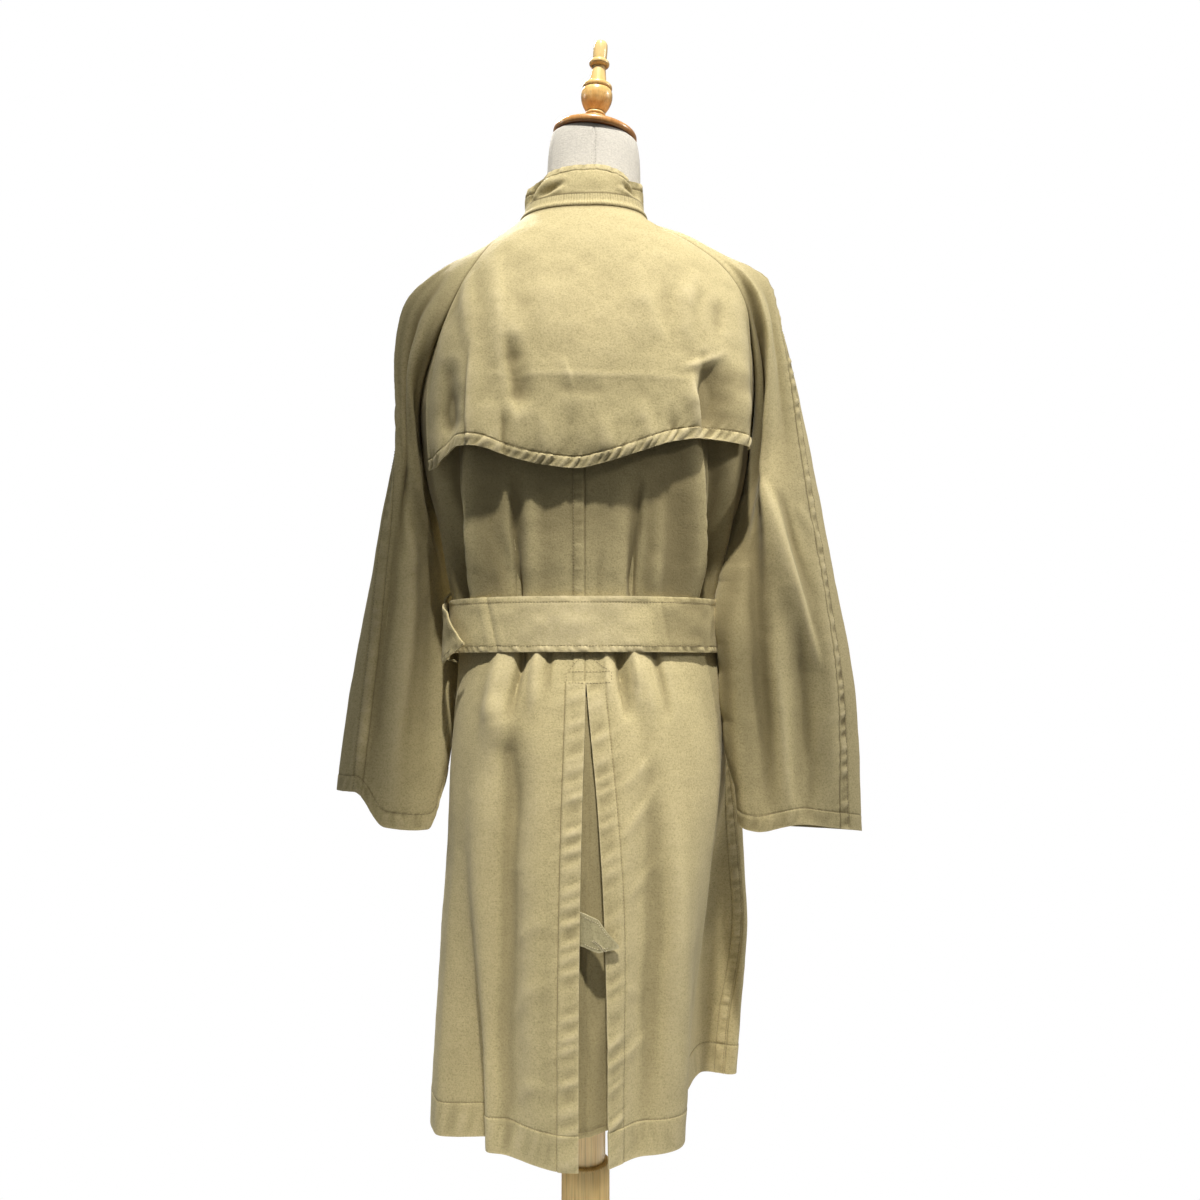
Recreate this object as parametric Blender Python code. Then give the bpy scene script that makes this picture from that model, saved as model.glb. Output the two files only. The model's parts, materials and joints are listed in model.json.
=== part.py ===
# Raglan trench coat hanging on a limbless dress form with a turned wooden
# stand. Metres, +Z up. The origin is the middle of the underside of the foot.
# The coat's front faces -Y and its back faces +Y; the wearer's left is +X.
#
# The body of the coat is one tube, given by a table of heights with the half
# width to the wearer's left and right and the depth to the back and front.
# Folds are rows of a second table. Every panel is a window cut out of that
# tube, with a wall thickness, and the sleeves are lofted from the raglan
# seams over the shoulder and down to the cuff.

import bpy
import bmesh
import math
import numpy as np
from mathutils import Vector, Matrix

for o in list(bpy.data.objects):
    bpy.data.objects.remove(o, do_unlink=True)

# ------------------------------------------------------------- driving sizes
CLOTH = 0.0016            # wall of one layer of twill with its seams
GAP = 0.0004              # clearance at a sewn seam
LAP = 0.0026              # sleeve edge lies this far outside the body panel
HEM_Z = 0.398             # height of the hem above the floor
UNDERARM_Z = 1.10         # height of the underarm point
NECK_Z = 1.419            # nominal height of the neck seam
BELT_Z = 0.9435           # middle of the belt
BELT_W = 0.060            # width of the belt
BELT_T = 0.0030           # thickness of the belt
VENT_TOP = 0.881          # top of the centre-back vent
SQUARE = 2.25             # squareness of the body sections (2 is an ellipse)
OVERLAP = 0.030           # each front passes the centre line by this much
COLLAR_BAND = 0.0185      # height of the collar stand
COLLAR_H = 0.0560         # full height of the turned-up collar
COLLAR_LEAN = (10.0, 11.0, 3.0)  # degrees the collar leans in, at the back, left and right
COLLAR_DROP = 0.0105      # the leaf is this much lower at the wearer's left
FORM_BOTTOM = 0.690       # underside of the dress form
POST_STEP = 0.340         # joint between the two posts
POST_R1 = 0.0225
POST_R2 = 0.0272
BASE_R = 0.170            # radius of the foot
BASE_H = 0.034

# Body sections: height, half width to the wearer's left and right, depth to
# the back and to the front.
BODY_COLS = ("z", "left", "right", "back", "front")
BODY = [
    (0.360, 0.174, 0.174, 0.1485, 0.167),
    (0.398, 0.173, 0.173, 0.1480, 0.166),
    (0.500, 0.169, 0.170, 0.1445, 0.160),
    (0.600, 0.164, 0.165, 0.1400, 0.152),
    (0.700, 0.157, 0.160, 0.1340, 0.142),
    (0.780, 0.154, 0.156, 0.1260, 0.130),
    (0.850, 0.151, 0.152, 0.1140, 0.115),
    (0.890, 0.148, 0.149, 0.1040, 0.104),
    (0.914, 0.147, 0.147, 0.0970, 0.0975),
    (0.944, 0.151, 0.149, 0.0950, 0.0965),
    (0.975, 0.1532, 0.1515, 0.0962, 0.0980),
    (1.010, 0.160, 0.159, 0.1015, 0.104),
    (1.060, 0.171, 0.171, 0.1095, 0.112),
    (1.110, 0.184, 0.184, 0.1180, 0.118),
    (1.150, 0.1905, 0.190, 0.1225, 0.119),
    (1.200, 0.194, 0.196, 0.1245, 0.117),
    (1.250, 0.191, 0.199, 0.1220, 0.111),
    (1.290, 0.184, 0.199, 0.1170, 0.104),
    (1.320, 0.172, 0.193, 0.1100, 0.096),
    (1.350, 0.152, 0.175, 0.1000, 0.086),
    (1.380, 0.124, 0.137, 0.0860, 0.073),
    (1.400, 0.098, 0.100, 0.0740, 0.060),
    (1.419, 0.0768, 0.0722, 0.0610, 0.050),
    (1.440, 0.067, 0.064, 0.0500, 0.040),
]

# Folds of the body: angle from the centre back (plus is the wearer's left)
# and half width in degrees where the fold starts and where it is full, its
# depth (minus is a valley), its swing in degrees (how far its cloth is pushed
# round the body), the height where it starts, where it is full, and where it
# fades out again.
FOLD_COLS = ("a0", "a1", "w0", "w1", "depth", "swing", "z0", "z1", "zf", "zg")
FOLDS = [
    # skirt
    (56, 55, 10, 13, -0.038, 0, 0.800, 0.390, 0.1, 0.0),    # left back valley
    (36, 36, 16, 32, -0.021, 0, 0.840, 0.390, 0.1, 0.0),    # and its slope
    (-26, -28, 10, 28, -0.027, 0, 0.830, 0.390, 0.1, 0.0),  # right back slope
    (-66, -72, 20, 45, -0.062, 0, 0.830, 0.340, 0.1, 0.0),  # right back, drawn in
    (-82, -88, 14, 20, -0.018, 0, 0.900, 0.640, 0.44, 0.30),  # valley at the right side
    (-92, -98, 16, 30, 0.000, -22, 0.860, 0.480, 0.1, 0.0),  # its far wall
    (-120, -124, 20, 27, 0.046, 9, 0.912, 0.830, 0.62, 0.38),  # right front roll
    (-134, -138, 28, 34, 0.036, 13, 0.640, 0.400, 0.1, 0.0),  # its fall to the hem
    (112, 114, 10, 14, -0.014, 0, 0.820, 0.420, 0.1, 0.0),
    (142, 144, 9, 13, 0.010, 0, 0.860, 0.420, 0.1, 0.0),
    (-170, -172, 8, 11, -0.008, 0, 0.840, 0.420, 0.1, 0.0),
    # above the belt
    (72, 70, 11, 8, -0.016, 0, 1.130, 0.990, 0.965, 0.915),
    (44, 43, 9, 6, -0.008, 0, 1.060, 0.985, 0.965, 0.915),
    (-30, -31, 9, 6, -0.006, 0, 1.060, 0.985, 0.965, 0.915),
    (-68, -69, 13, 8, -0.016, 0, 1.140, 0.990, 0.965, 0.915),
    (128, 128, 10, 7, -0.009, 0, 1.090, 0.985, 0.965, 0.915),
    (152, 151, 9, 6, -0.006, 0, 1.050, 0.985, 0.965, 0.915),
    (-124, -125, 10, 7, -0.010, 0, 1.100, 0.985, 0.965, 0.915),
    (-153, -152, 8, 6, -0.006, 0, 1.060, 0.985, 0.965, 0.915),
]

# Seams of the body, as angles from the centre back at a height.
RAGLAN_COLS = ("z", "left_back", "right_back", "left_front", "right_front")
RAGLAN = [
    (1.100, 94, 94, 94, 94),
    (1.150, 87, 88, 102, 101),
    (1.200, 79, 82, 109, 107),
    (1.250, 70, 77, 115, 112),
    (1.300, 63.5, 73.5, 120, 117),
    (1.345, 62.0, 71.0, 122, 120),
    (1.385, 63.5, 67.5, 119, 118),
    (1.419, 75, 74, 112, 112),
]
SIDE_COLS = ("z", "left", "right")
SIDE = [
    (0.398, 101, 119),
    (0.600, 100, 116),
    (0.760, 99, 109),
    (0.900, 97, 98),
    (1.100, 94, 94),
]
NECK_COLS = ("angle", "left", "right")
NECK = [
    (0, 1.4180, 1.4180),
    (40, 1.4182, 1.4205),
    (75, 1.4195, 1.4235),
    (95, 1.4170, 1.4210),
    (112, 1.4080, 1.4110),
    (140, 1.3890, 1.3900),
    (180, 1.3710, 1.3710),
    (210, 1.3700, 1.3700),
]
VENT_COLS = ("z", "left_x", "right_x")
VENT = [
    (0.398, 0.0050, -0.0260),
    (0.500, 0.0050, -0.0240),
    (0.642, 0.0040, -0.0205),
    (0.750, 0.0020, -0.0140),
    (0.844, -0.0006, -0.0050),
    (0.881, -0.0012, -0.0016),
]
# Storm flap: its lower edge by angle, and its side edges by height.
FLAP_EDGE_COLS = ("angle", "z")
FLAP_EDGE = [
    (-80, 1.142), (-66, 1.141), (-52, 1.143), (-40, 1.138), (-26, 1.126),
    (-10, 1.114), (4, 1.108), (20, 1.112), (34, 1.121), (46, 1.134),
    (54, 1.136), (60, 1.127), (66, 1.118), (74, 1.117),
]
FLAP_SIDE_COLS = ("z", "left", "right")
FLAP_SIDE = [
    (1.105, 70.0, 72.0),
    (1.200, 69.0, 72.5),
    (1.250, 66.0, 72.5),
    (1.300, 62.6, 72.6),
    (1.345, 61.1, 70.1),
    (1.385, 62.3, 66.3),
    (1.419, 73.2, 72.2),
]

# Sleeves: one row per station. zb is the height on the raglan seams (the
# station's place on the body), o is the overarm point, i the inner point
# below the underarm, hb and hf the bulge to the back and front, and seam the
# angle of the overarm seam round the section (0 outer edge, 180 inner edge).
SLEEVE_COLS = ("zb", "ox", "oy", "oz", "ix", "iy", "iz", "hb", "hf", "seam")
SLEEVE_LEFT = [
    (1.419, 0.0790, -0.004, 1.4180, 0, 0, 0, 0.000, 0.000, 0),
    (1.385, 0.113, -0.006, 1.3895, 0, 0, 0, 0.002, 0.002, 4),
    (1.345, 0.153, -0.006, 1.374, 0, 0, 0, 0.003, 0.004, 8),
    (1.300, 0.187, -0.004, 1.355, 0, 0, 0, 0.008, 0.010, 12),
    (1.250, 0.210, -0.002, 1.329, 0, 0, 0, 0.020, 0.024, 18),
    (1.200, 0.2150, 0.000, 1.278, 0, 0, 0, 0.033, 0.038, 26),
    (1.150, 0.2150, 0.000, 1.212, 0, 0, 0, 0.044, 0.050, 34),
    (1.100, 0.2230, -0.003, 1.145, 0, 0, 0, 0.054, 0.066, 40),
    (1.050, 0.2380, -0.012, 1.080, 0.1765, -0.048, 1.060, 0.064, 0.070, 44),
    (1.000, 0.2510, -0.016, 1.012, 0.1690, -0.066, 1.005, 0.068, 0.060, 46),
    (0.940, 0.2640, -0.014, 0.940, 0.1615, -0.064, 0.940, 0.060, 0.050, 48),
    (0.870, 0.2760, -0.008, 0.862, 0.1575, -0.040, 0.872, 0.048, 0.044, 50),
    (0.810, 0.2825, -0.001, 0.803, 0.1585, -0.016, 0.812, 0.041, 0.041, 51),
    (0.765, 0.2860, 0.002, 0.756, 0.1635, 0.000, 0.764, 0.037, 0.038, 52),
]
SLEEVE_RIGHT = [
    (1.419, 0.0745, -0.004, 1.4215, 0, 0, 0, 0.000, 0.000, 0),
    (1.385, 0.113, -0.005, 1.4075, 0, 0, 0, 0.002, 0.002, 6),
    (1.345, 0.156, -0.004, 1.383, 0, 0, 0, 0.003, 0.004, 12),
    (1.300, 0.190, -0.002, 1.369, 0, 0, 0, 0.008, 0.010, 20),
    (1.250, 0.2125, 0.000, 1.352, 0, 0, 0, 0.018, 0.022, 28),
    (1.200, 0.2225, 0.002, 1.312, 0, 0, 0, 0.030, 0.034, 34),
    (1.150, 0.2380, 0.004, 1.262, 0, 0, 0, 0.042, 0.046, 38),
    (1.100, 0.2540, 0.007, 1.190, 0, 0, 0, 0.052, 0.062, 40),
    (1.050, 0.2675, 0.010, 1.110, 0.1765, 0.006, 1.060, 0.056, 0.076, 41),
    (1.000, 0.2820, 0.012, 1.030, 0.1665, 0.030, 1.005, 0.050, 0.072, 42),
    (0.930, 0.2990, 0.014, 0.935, 0.1610, 0.042, 0.940, 0.044, 0.062, 43),
    (0.855, 0.3100, 0.015, 0.855, 0.1640, 0.036, 0.862, 0.037, 0.048, 43),
    (0.785, 0.3140, 0.014, 0.780, 0.1680, 0.030, 0.790, 0.032, 0.038, 43),
    (0.720, 0.3145, 0.012, 0.710, 0.1730, 0.026, 0.720, 0.029, 0.031, 43),
]
# Droop of the cuff edge round the section, by angle (0 outer, 180 inner).
CUFF_COLS = ("angle", "left", "right")
CUFF = [
    (-180, 0.000, 0.000), (-90, -0.010, -0.004), (0, 0.000, 0.000),
    (55, -0.001, 0.005), (90, -0.042, 0.008), (138, -0.0495, -0.005),
    (170, -0.006, -0.002), (180, 0.000, 0.000),
]

# Rows of heights at which the body panels are sampled.
ROWS = [0.398, 0.445, 0.50, 0.56, 0.62, 0.69, 0.755, 0.81, 0.848, 0.881, 0.914, 0.944,
        0.978, 1.015, 1.055, 1.10, 1.15, 1.20, 1.25, 1.30, 1.345, 1.385, 1.419]
UP_ROWS = [1.10, 1.15, 1.20, 1.25, 1.30, 1.345, 1.385, 1.419]

# Dress form sections: height, half width, depth to the back and front.
FORM_COLS = ("z", "half", "back", "front")
FORM = [
    (0.6900, 0.106, 0.072, 0.076),
    (0.6930, 0.119, 0.084, 0.088),
    (0.7040, 0.126, 0.092, 0.096),
    (0.7600, 0.131, 0.099, 0.101),
    (0.8200, 0.131, 0.098, 0.099),
    (0.8800, 0.124, 0.087, 0.088),
    (0.9440, 0.113, 0.075, 0.077),
    (1.0000, 0.116, 0.078, 0.084),
    (1.0600, 0.127, 0.086, 0.094),
    (1.1200, 0.139, 0.094, 0.100),
    (1.1800, 0.149, 0.098, 0.101),
    (1.2400, 0.156, 0.098, 0.095),
    (1.2900, 0.158, 0.094, 0.084),
    (1.3200, 0.152, 0.087, 0.073),
    (1.3450, 0.134, 0.078, 0.064),
    (1.3660, 0.104, 0.066, 0.057),
    (1.3900, 0.074, 0.056, 0.052),
    (1.4120, 0.0605, 0.0500, 0.0510),
    (1.4500, 0.0568, 0.0475, 0.0500),
    (1.4900, 0.0558, 0.0465, 0.0495),
    (1.5280, 0.0515, 0.0455, 0.0480),
    (1.5300, 0.0495, 0.0440, 0.0465),
]
FORM_LEAN = -0.0205       # sideways drift of the form per metre of height
LEAN_FROM = 1.05
CAP_TILT_X = 0.110        # slope of the cap, higher towards the wearer's left
CAP_TILT_Y = -0.060       # and lower towards the back
FINIAL_TILT_X = 0.079     # the finial leans less than the cap


# ------------------------------------------------------------------ helpers
def column(table, cols, name):
    k = cols.index(name)
    return np.array([row[k] for row in table], float)


def smooth_curve(xs, ys, x):
    """Monotone cubic through the rows of a table, held flat past its ends."""
    xs = np.asarray(xs, float)
    ys = np.asarray(ys, float)
    x = np.clip(np.asarray(x, float), xs[0], xs[-1])
    h = np.diff(xs)
    d = np.diff(ys) / h
    m = np.zeros_like(ys)
    for i in range(1, len(xs) - 1):
        if d[i - 1] * d[i] > 0:
            w1 = 2 * h[i] + h[i - 1]
            w2 = h[i] + 2 * h[i - 1]
            m[i] = (w1 + w2) / (w1 / d[i - 1] + w2 / d[i])
    m[0] = d[0]
    m[-1] = d[-1]
    k = np.clip(np.searchsorted(xs, x) - 1, 0, len(xs) - 2)
    t = (x - xs[k]) / h[k]
    t2 = t * t
    t3 = t2 * t
    return ((2 * t3 - 3 * t2 + 1) * ys[k] + (t3 - 2 * t2 + t) * h[k] * m[k]
            + (-2 * t3 + 3 * t2) * ys[k + 1] + (t3 - t2) * h[k] * m[k + 1])


def look(table, cols, name, x):
    return smooth_curve([r[0] for r in table], column(table, cols, name), x)


def smoothstep(t):
    t = np.clip(t, 0.0, 1.0)
    return t * t * (3 - 2 * t)


def wrap(a):
    return (np.asarray(a, float) + 180.0) % 360.0 - 180.0


def body_fold(ang, z):
    """How far the folds move the tube out, and how far round it in degrees."""
    out = 0.0
    turn = 0.0
    for a0, a1, w0, w1, depth, swing, z0, z1, zf, zg in FOLDS:
        t = np.clip((z - z0) / (z1 - z0), 0.0, 1.0)
        env = smoothstep(t) * (1 - smoothstep((z - zf) / (zg - zf)))
        mid = a0 + (a1 - a0) * t
        wid = w0 + (w1 - w0) * t
        x = np.clip(wrap(ang - mid) / wid, -1.0, 1.0)
        bump = env * np.cos(x * math.pi / 2) ** 2
        out = out + depth * bump
        turn = turn + swing * bump
    return out, turn


def body_radius(ang, z):
    """Radius of the tube without its folds."""
    s = np.sin(np.radians(ang))
    c = np.cos(np.radians(ang))
    left = look(BODY, BODY_COLS, "left", z)
    right = look(BODY, BODY_COLS, "right", z)
    back = look(BODY, BODY_COLS, "back", z)
    front = look(BODY, BODY_COLS, "front", z)
    a = np.where(s >= 0, left, right)
    b = np.where(c >= 0, back, front)
    return (np.abs(s / a) ** SQUARE + np.abs(c / b) ** SQUARE) ** (-1.0 / SQUARE)


def body_point(ang, z, off=0.0, folds=True):
    """A point of the body tube, moved out along its normal by off."""
    def at(a, h):
        a = wrap(a)
        h = np.asarray(h, float)
        r = body_radius(a, h)
        if folds:
            out, turn = body_fold(a, h)
            r = r + out
            a = a + turn
        ar = np.radians(a)
        return np.stack([r * np.sin(ar), r * np.cos(ar), h + 0 * r], -1)
    ang = np.asarray(ang, float)
    z = np.asarray(z, float)
    p = at(ang, z)
    da = at(ang + 0.4, z) - at(ang - 0.4, z)
    dz = at(ang, z + 0.001) - at(ang, z - 0.001)
    n = np.cross(dz, da)
    n = n / np.linalg.norm(n, axis=-1, keepdims=True)
    return p + n * np.asarray(off, float)[..., None] if np.ndim(off) else p + n * off


def neck_height(ang):
    ang = np.asarray(ang, float)
    full = np.abs(wrap(ang))
    side = np.where(wrap(ang) >= 0,
                    look(NECK, NECK_COLS, "left", full),
                    look(NECK, NECK_COLS, "right", full))
    return side


def row_height(zr, top):
    """Height of a sampling row whose column ends at the height top."""
    zr = np.asarray(zr, float)
    k = (np.asarray(top, float) - UNDERARM_Z) / (NECK_Z - UNDERARM_Z)
    return np.where(zr <= UNDERARM_Z, zr, UNDERARM_Z + (zr - UNDERARM_Z) * k)


def seam_angle(side, which, zr):
    """Angle of the raglan seam (or the side seam below) at a sampling row."""
    zr = np.asarray(zr, float)
    up = look(RAGLAN, RAGLAN_COLS, side + "_" + which, zr)
    down = look(SIDE, SIDE_COLS, side, zr)
    return np.where(zr >= UNDERARM_Z, up, down)


def gap_angle(ang, z):
    """Degrees of half a seam's clearance, measured along the folded cloth."""
    d = body_point(ang + 0.25, z) - body_point(ang - 0.25, z)
    run = float(np.linalg.norm(d)) / 0.5
    return min(max(GAP * 0.62 / run, 0.067), 0.9)


def material(name, rgb, rough, metal=0.0):
    m = bpy.data.materials.get(name)
    if m is None:
        m = bpy.data.materials.new(name)
        m.use_nodes = True
        b = m.node_tree.nodes["Principled BSDF"]
        b.inputs["Base Color"].default_value = (rgb[0], rgb[1], rgb[2], 1)
        b.inputs["Roughness"].default_value = rough
        b.inputs["Metallic"].default_value = metal
    return m


TWILL = ("twill", (0.40, 0.35, 0.20), 0.85)
LINEN = ("linen", (0.78, 0.75, 0.68), 0.9)
WOOD = ("turned_wood", (0.62, 0.33, 0.12), 0.35)
PALE = ("post_wood", (0.66, 0.47, 0.26), 0.45)
HORN = ("button_plastic", (0.16, 0.11, 0.06), 0.35)
BRASS = ("buckle_leatherette", (0.20, 0.13, 0.07), 0.5)


def add_object(name, verts, faces, mat, sharp=35.0):
    me = bpy.data.meshes.new(name)
    me.from_pydata([tuple(map(float, v)) for v in verts], [], faces)
    bm = bmesh.new()
    bm.from_mesh(me)
    bmesh.ops.recalc_face_normals(bm, faces=bm.faces)
    bm.to_mesh(me)
    bm.free()
    me.shade_smooth()
    me.set_sharp_from_angle(angle=math.radians(sharp))
    ob = bpy.data.objects.new(name, me)
    bpy.context.scene.collection.objects.link(ob)
    me.materials.append(material(*mat))
    return ob


def wall(name, mid, thick, mat, normal=None, keep=None):
    """Closed wall around a grid of mid-surface points (rows x columns).

    keep, when given, is a rows-1 x cols-1 mask of cells that exist."""
    mid = np.asarray(mid, float)
    nr, nc = mid.shape[:2]
    if normal is None:
        du = np.gradient(mid, axis=1)
        dv = np.gradient(mid, axis=0)
        normal = np.cross(dv, du)
    normal = normal / np.maximum(np.linalg.norm(normal, axis=-1, keepdims=True), 1e-12)
    out = mid + normal * thick / 2
    inn = mid - normal * thick / 2
    verts = list(out.reshape(-1, 3)) + list(inn.reshape(-1, 3))
    n = nr * nc
    faces = []

    def vid(i, j, k):
        return k * n + i * nc + j
    for i in range(nr - 1):
        for j in range(nc - 1):
            a, b, c, d = vid(i, j, 0), vid(i, j + 1, 0), vid(i + 1, j + 1, 0), vid(i + 1, j, 0)
            faces.append((a, b, c, d))
            faces.append((a + n, d + n, c + n, b + n))
    for i in range(nr - 1):
        for j, rev in ((0, False), (nc - 1, True)):
            a, b = vid(i, j, 0), vid(i + 1, j, 0)
            f = (a, b, b + n, a + n)
            faces.append(f if not rev else f[::-1])
    for j in range(nc - 1):
        for i, rev in ((0, True), (nr - 1, False)):
            a, b = vid(i, j, 0), vid(i, j + 1, 0)
            f = (a, b, b + n, a + n)
            faces.append(f if not rev else f[::-1])
    return add_object(name, verts, faces, mat)


def lathe(name, profile, segs, mat, frame=None, sharp=35.0):
    """Turned piece from (radius, height) rows, closed on its axis."""
    verts = []
    faces = []
    rings = []
    for r, h in profile:
        if r < 1e-6:
            rings.append([len(verts)])
            verts.append(Vector((0, 0, h)))
        else:
            ring = []
            for k in range(segs):
                a = 2 * math.pi * k / segs
                ring.append(len(verts))
                verts.append(Vector((r * math.cos(a), r * math.sin(a), h)))
            rings.append(ring)
    for lo, hi in zip(rings[:-1], rings[1:]):
        for k in range(segs):
            k2 = (k + 1) % segs
            if len(lo) == 1:
                faces.append((lo[0], hi[k2], hi[k]))
            elif len(hi) == 1:
                faces.append((lo[k], lo[k2], hi[0]))
            else:
                faces.append((lo[k], lo[k2], hi[k2], hi[k]))
    if frame is not None:
        verts = [frame @ v for v in verts]
    return add_object(name, verts, faces, mat, sharp)


# --------------------------------------------------------------- body panels
def back_panel(side):
    sg = 1 if side == "left" else -1
    rows = np.array(ROWS)
    cols = np.linspace(0, 1, 12)
    grid = np.zeros((len(rows), len(cols), 3))
    norm = np.zeros_like(grid)
    for i, zr in enumerate(rows):
        zs = float(row_height(zr, neck_height(0.0)))
        r0 = float(body_radius(0.0, zs))
        if zr < VENT_TOP + 1e-6:
            x = float(look(VENT, VENT_COLS, side + "_x", zr))
            a_in = sg * math.degrees(math.atan2(x, r0))
        else:
            a_in = math.degrees(GAP / 2 / r0)
        a_out = float(seam_angle(side, "back", zr))
        a_out -= gap_angle(sg * a_out, float(row_height(zr, neck_height(sg * a_out))))
        ang = a_in + (a_out - a_in) * cols
        z = row_height(zr, neck_height(sg * ang))
        if i == len(rows) - 1:
            z = z - 0.0012
        grid[i] = body_point(sg * ang, z)
        norm[i] = body_point(sg * ang, z, 0.01) - grid[i]
    wall("back_" + side, grid, CLOTH, TWILL, norm)


def front_edge(zr):
    """Degrees past the centre front of the overlapping edge."""
    return math.degrees(OVERLAP / float(look(BODY, BODY_COLS, "front", min(zr, 1.371))))


def front_panel(side):
    sg = 1 if side == "left" else -1
    rows = np.array(ROWS)
    cols = np.linspace(0, 1, 12)
    grid = np.zeros((len(rows), len(cols), 3))
    norm = np.zeros_like(grid)
    for i, zr in enumerate(rows):
        a_side = float(seam_angle(side, "front", zr))
        a_side += gap_angle(sg * a_side, float(row_height(zr, neck_height(sg * a_side))))
        a_edge = 180.0 + front_edge(zr)
        ang = a_side + (a_edge - a_side) * cols
        z = row_height(zr, neck_height(sg * ang))
        z = np.where(ang > 180, row_height(zr, 1.371), z)
        if i == len(rows) - 1:
            z = z - 0.0012
        # the right front tucks in under the left one towards its edge
        if side == "right":
            off = -0.0044 * smoothstep((ang - (a_edge - 2 * front_edge(zr) - 13)) / 11.0)
        else:
            off = 0.0 * ang
        grid[i] = body_point(sg * ang, z, off)
        norm[i] = body_point(sg * ang, z, off + 0.01) - grid[i]
    wall("front_" + side, grid, CLOTH, TWILL, norm)


def vent_underlay():
    zs = np.array([0.424, 0.50, 0.58, 0.66, 0.74, 0.81, 0.868])
    cols = np.linspace(-1, 1, 9)
    grid = np.zeros((len(zs), len(cols), 3))
    norm = np.zeros_like(grid)
    for i, z in enumerate(zs):
        r0 = float(body_radius(0.0, z))
        half = 17.0 + 3.0 * (0.868 - z) / 0.44
        ang = -3.5 + half * cols
        depth = 0.0085 + 0.010 * smoothstep((0.868 - z) / 0.40)
        off = -(CLOTH + 0.0026) - (depth - 0.0042) * (1 - np.abs(cols) ** 3)
        lift = 0.004 * cols
        grid[i] = body_point(ang, z - lift * (1 if i == 0 else 0), off)
        norm[i] = body_point(ang, z, off + 0.01) - body_point(ang, z, off)
    wall("vent_underlay", grid, CLOTH, TWILL, norm)


# ---------------------------------------------------------------- storm flap
def flap_offset(ang, z, edge):
    """How far the flap stands off the back panel."""
    drop = np.clip((1.36 - z) / (1.36 - edge), 0, 1)
    mid = 0.0032 + 0.0060 * drop ** 1.5
    wave = (0.0050 * np.cos(np.radians((ang - 49) * 9)) * np.exp(-((ang - 49) / 13.0) ** 2)
            + 0.0030 * np.exp(-((ang + 58) / 12.0) ** 2)
            - 0.0015 * np.exp(-((ang + 44) / 8.0) ** 2))
    return np.maximum(mid + wave * drop ** 2, 0.0031)


def storm_flap():
    rows = [1.0, 1.165, 1.20, 1.25, 1.30, 1.345, 1.385, 1.419]
    cols = np.linspace(-1, 1, 25)
    grid = np.zeros((len(rows), len(cols), 3))
    norm = np.zeros_like(grid)
    for i, zr in enumerate(rows):
        for j, s in enumerate(cols):
            side = "left" if s >= 0 else "right"
            ang = 0.0
            z = zr
            for _ in range(3):
                zz = max(z if i == 0 else zr, 1.105)
                lim = float(look(FLAP_SIDE, FLAP_SIDE_COLS, side, zz))
                ang = s * lim
                edge = float(look(FLAP_EDGE, FLAP_EDGE_COLS, "z", ang))
                z = edge if i == 0 else zr
            if i > 0:
                z = float(row_height(zr, neck_height(ang)))
            if i == len(rows) - 1:
                z -= 0.0012
            off = float(flap_offset(ang, z, edge))
            grid[i, j] = body_point(ang, z, off, folds=False)
            norm[i, j] = body_point(ang, z, off + 0.01, folds=False) - grid[i, j]
    wall("storm_flap", grid, CLOTH, TWILL, norm)


# ------------------------------------------------------------------- sleeves
def catmull(vals, s):
    """Catmull-Rom through equally spaced rows at parameter s."""
    vals = np.asarray(vals, float)
    n = len(vals)
    k = int(min(max(math.floor(s), 0), n - 2))
    t = s - k
    p1, p2 = vals[k], vals[k + 1]
    p0 = vals[k - 1] if k > 0 else 2 * p1 - p2
    p3 = vals[k + 2] if k + 2 < n else 2 * p2 - p1
    return 0.5 * ((2 * p1) + (-p0 + p2) * t + (2 * p0 - 5 * p1 + 4 * p2 - p3) * t * t
                  + (-p0 + 3 * p1 - 3 * p2 + p3) * t ** 3)


UNDER_ROW = 7             # station at the underarm


def sleeve_point(side, s, phi):
    """A point of the sleeve's mid surface: station s, angle phi in degrees
    (0 is the overarm, 180 the back raglan seam, -180 the front one)."""
    sg = 1 if side == "left" else -1
    table = SLEEVE_LEFT if side == "left" else SLEEVE_RIGHT
    g = {}
    for c in ("ox", "oy", "oz", "hb", "hf"):
        g[c] = float(catmull(column(table, SLEEVE_COLS, c), s))
    o = np.array([sg * g["ox"], g["oy"], g["oz"]])

    def on_body(which, st):
        zr = float(np.interp(st, range(UNDER_ROW + 1), UP_ROWS[::-1]))
        a = float(seam_angle(side, which, zr))
        z = float(row_height(zr, neck_height(sg * a)))
        return body_point(sg * a, z, LAP)
    if s <= UNDER_ROW:
        b = on_body("back", s)
        f = on_body("front", s)
    else:
        start = on_body("back", UNDER_ROW)
        pts = [2 * start - np.array([sg * table[UNDER_ROW + 1][4], table[UNDER_ROW + 1][5],
                                     table[UNDER_ROW + 1][6]]), start]
        for row in table[UNDER_ROW + 1:]:
            pts.append(np.array([sg * row[4], row[5], row[6]]))
        b = f = catmull(np.array(pts), s - UNDER_ROW + 1)
    m = (b + f) / 2
    ph = math.radians(phi)
    q = math.sin(ph / 2) ** 2
    h = g["hb"] if phi > 0 else g["hf"]
    lift = np.array([0.0, 1.0, 0.0]) * math.sin(ph) * h
    p = o + q * (m - o) + abs(math.sin(ph / 2)) * math.copysign(1, phi) * (b - f) / 2 + lift
    droop = float(look(CUFF, CUFF_COLS, side, phi))
    p = p + np.array([0, 0, droop * smoothstep((s - 10.5) / 2.5)])
    return p


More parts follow.
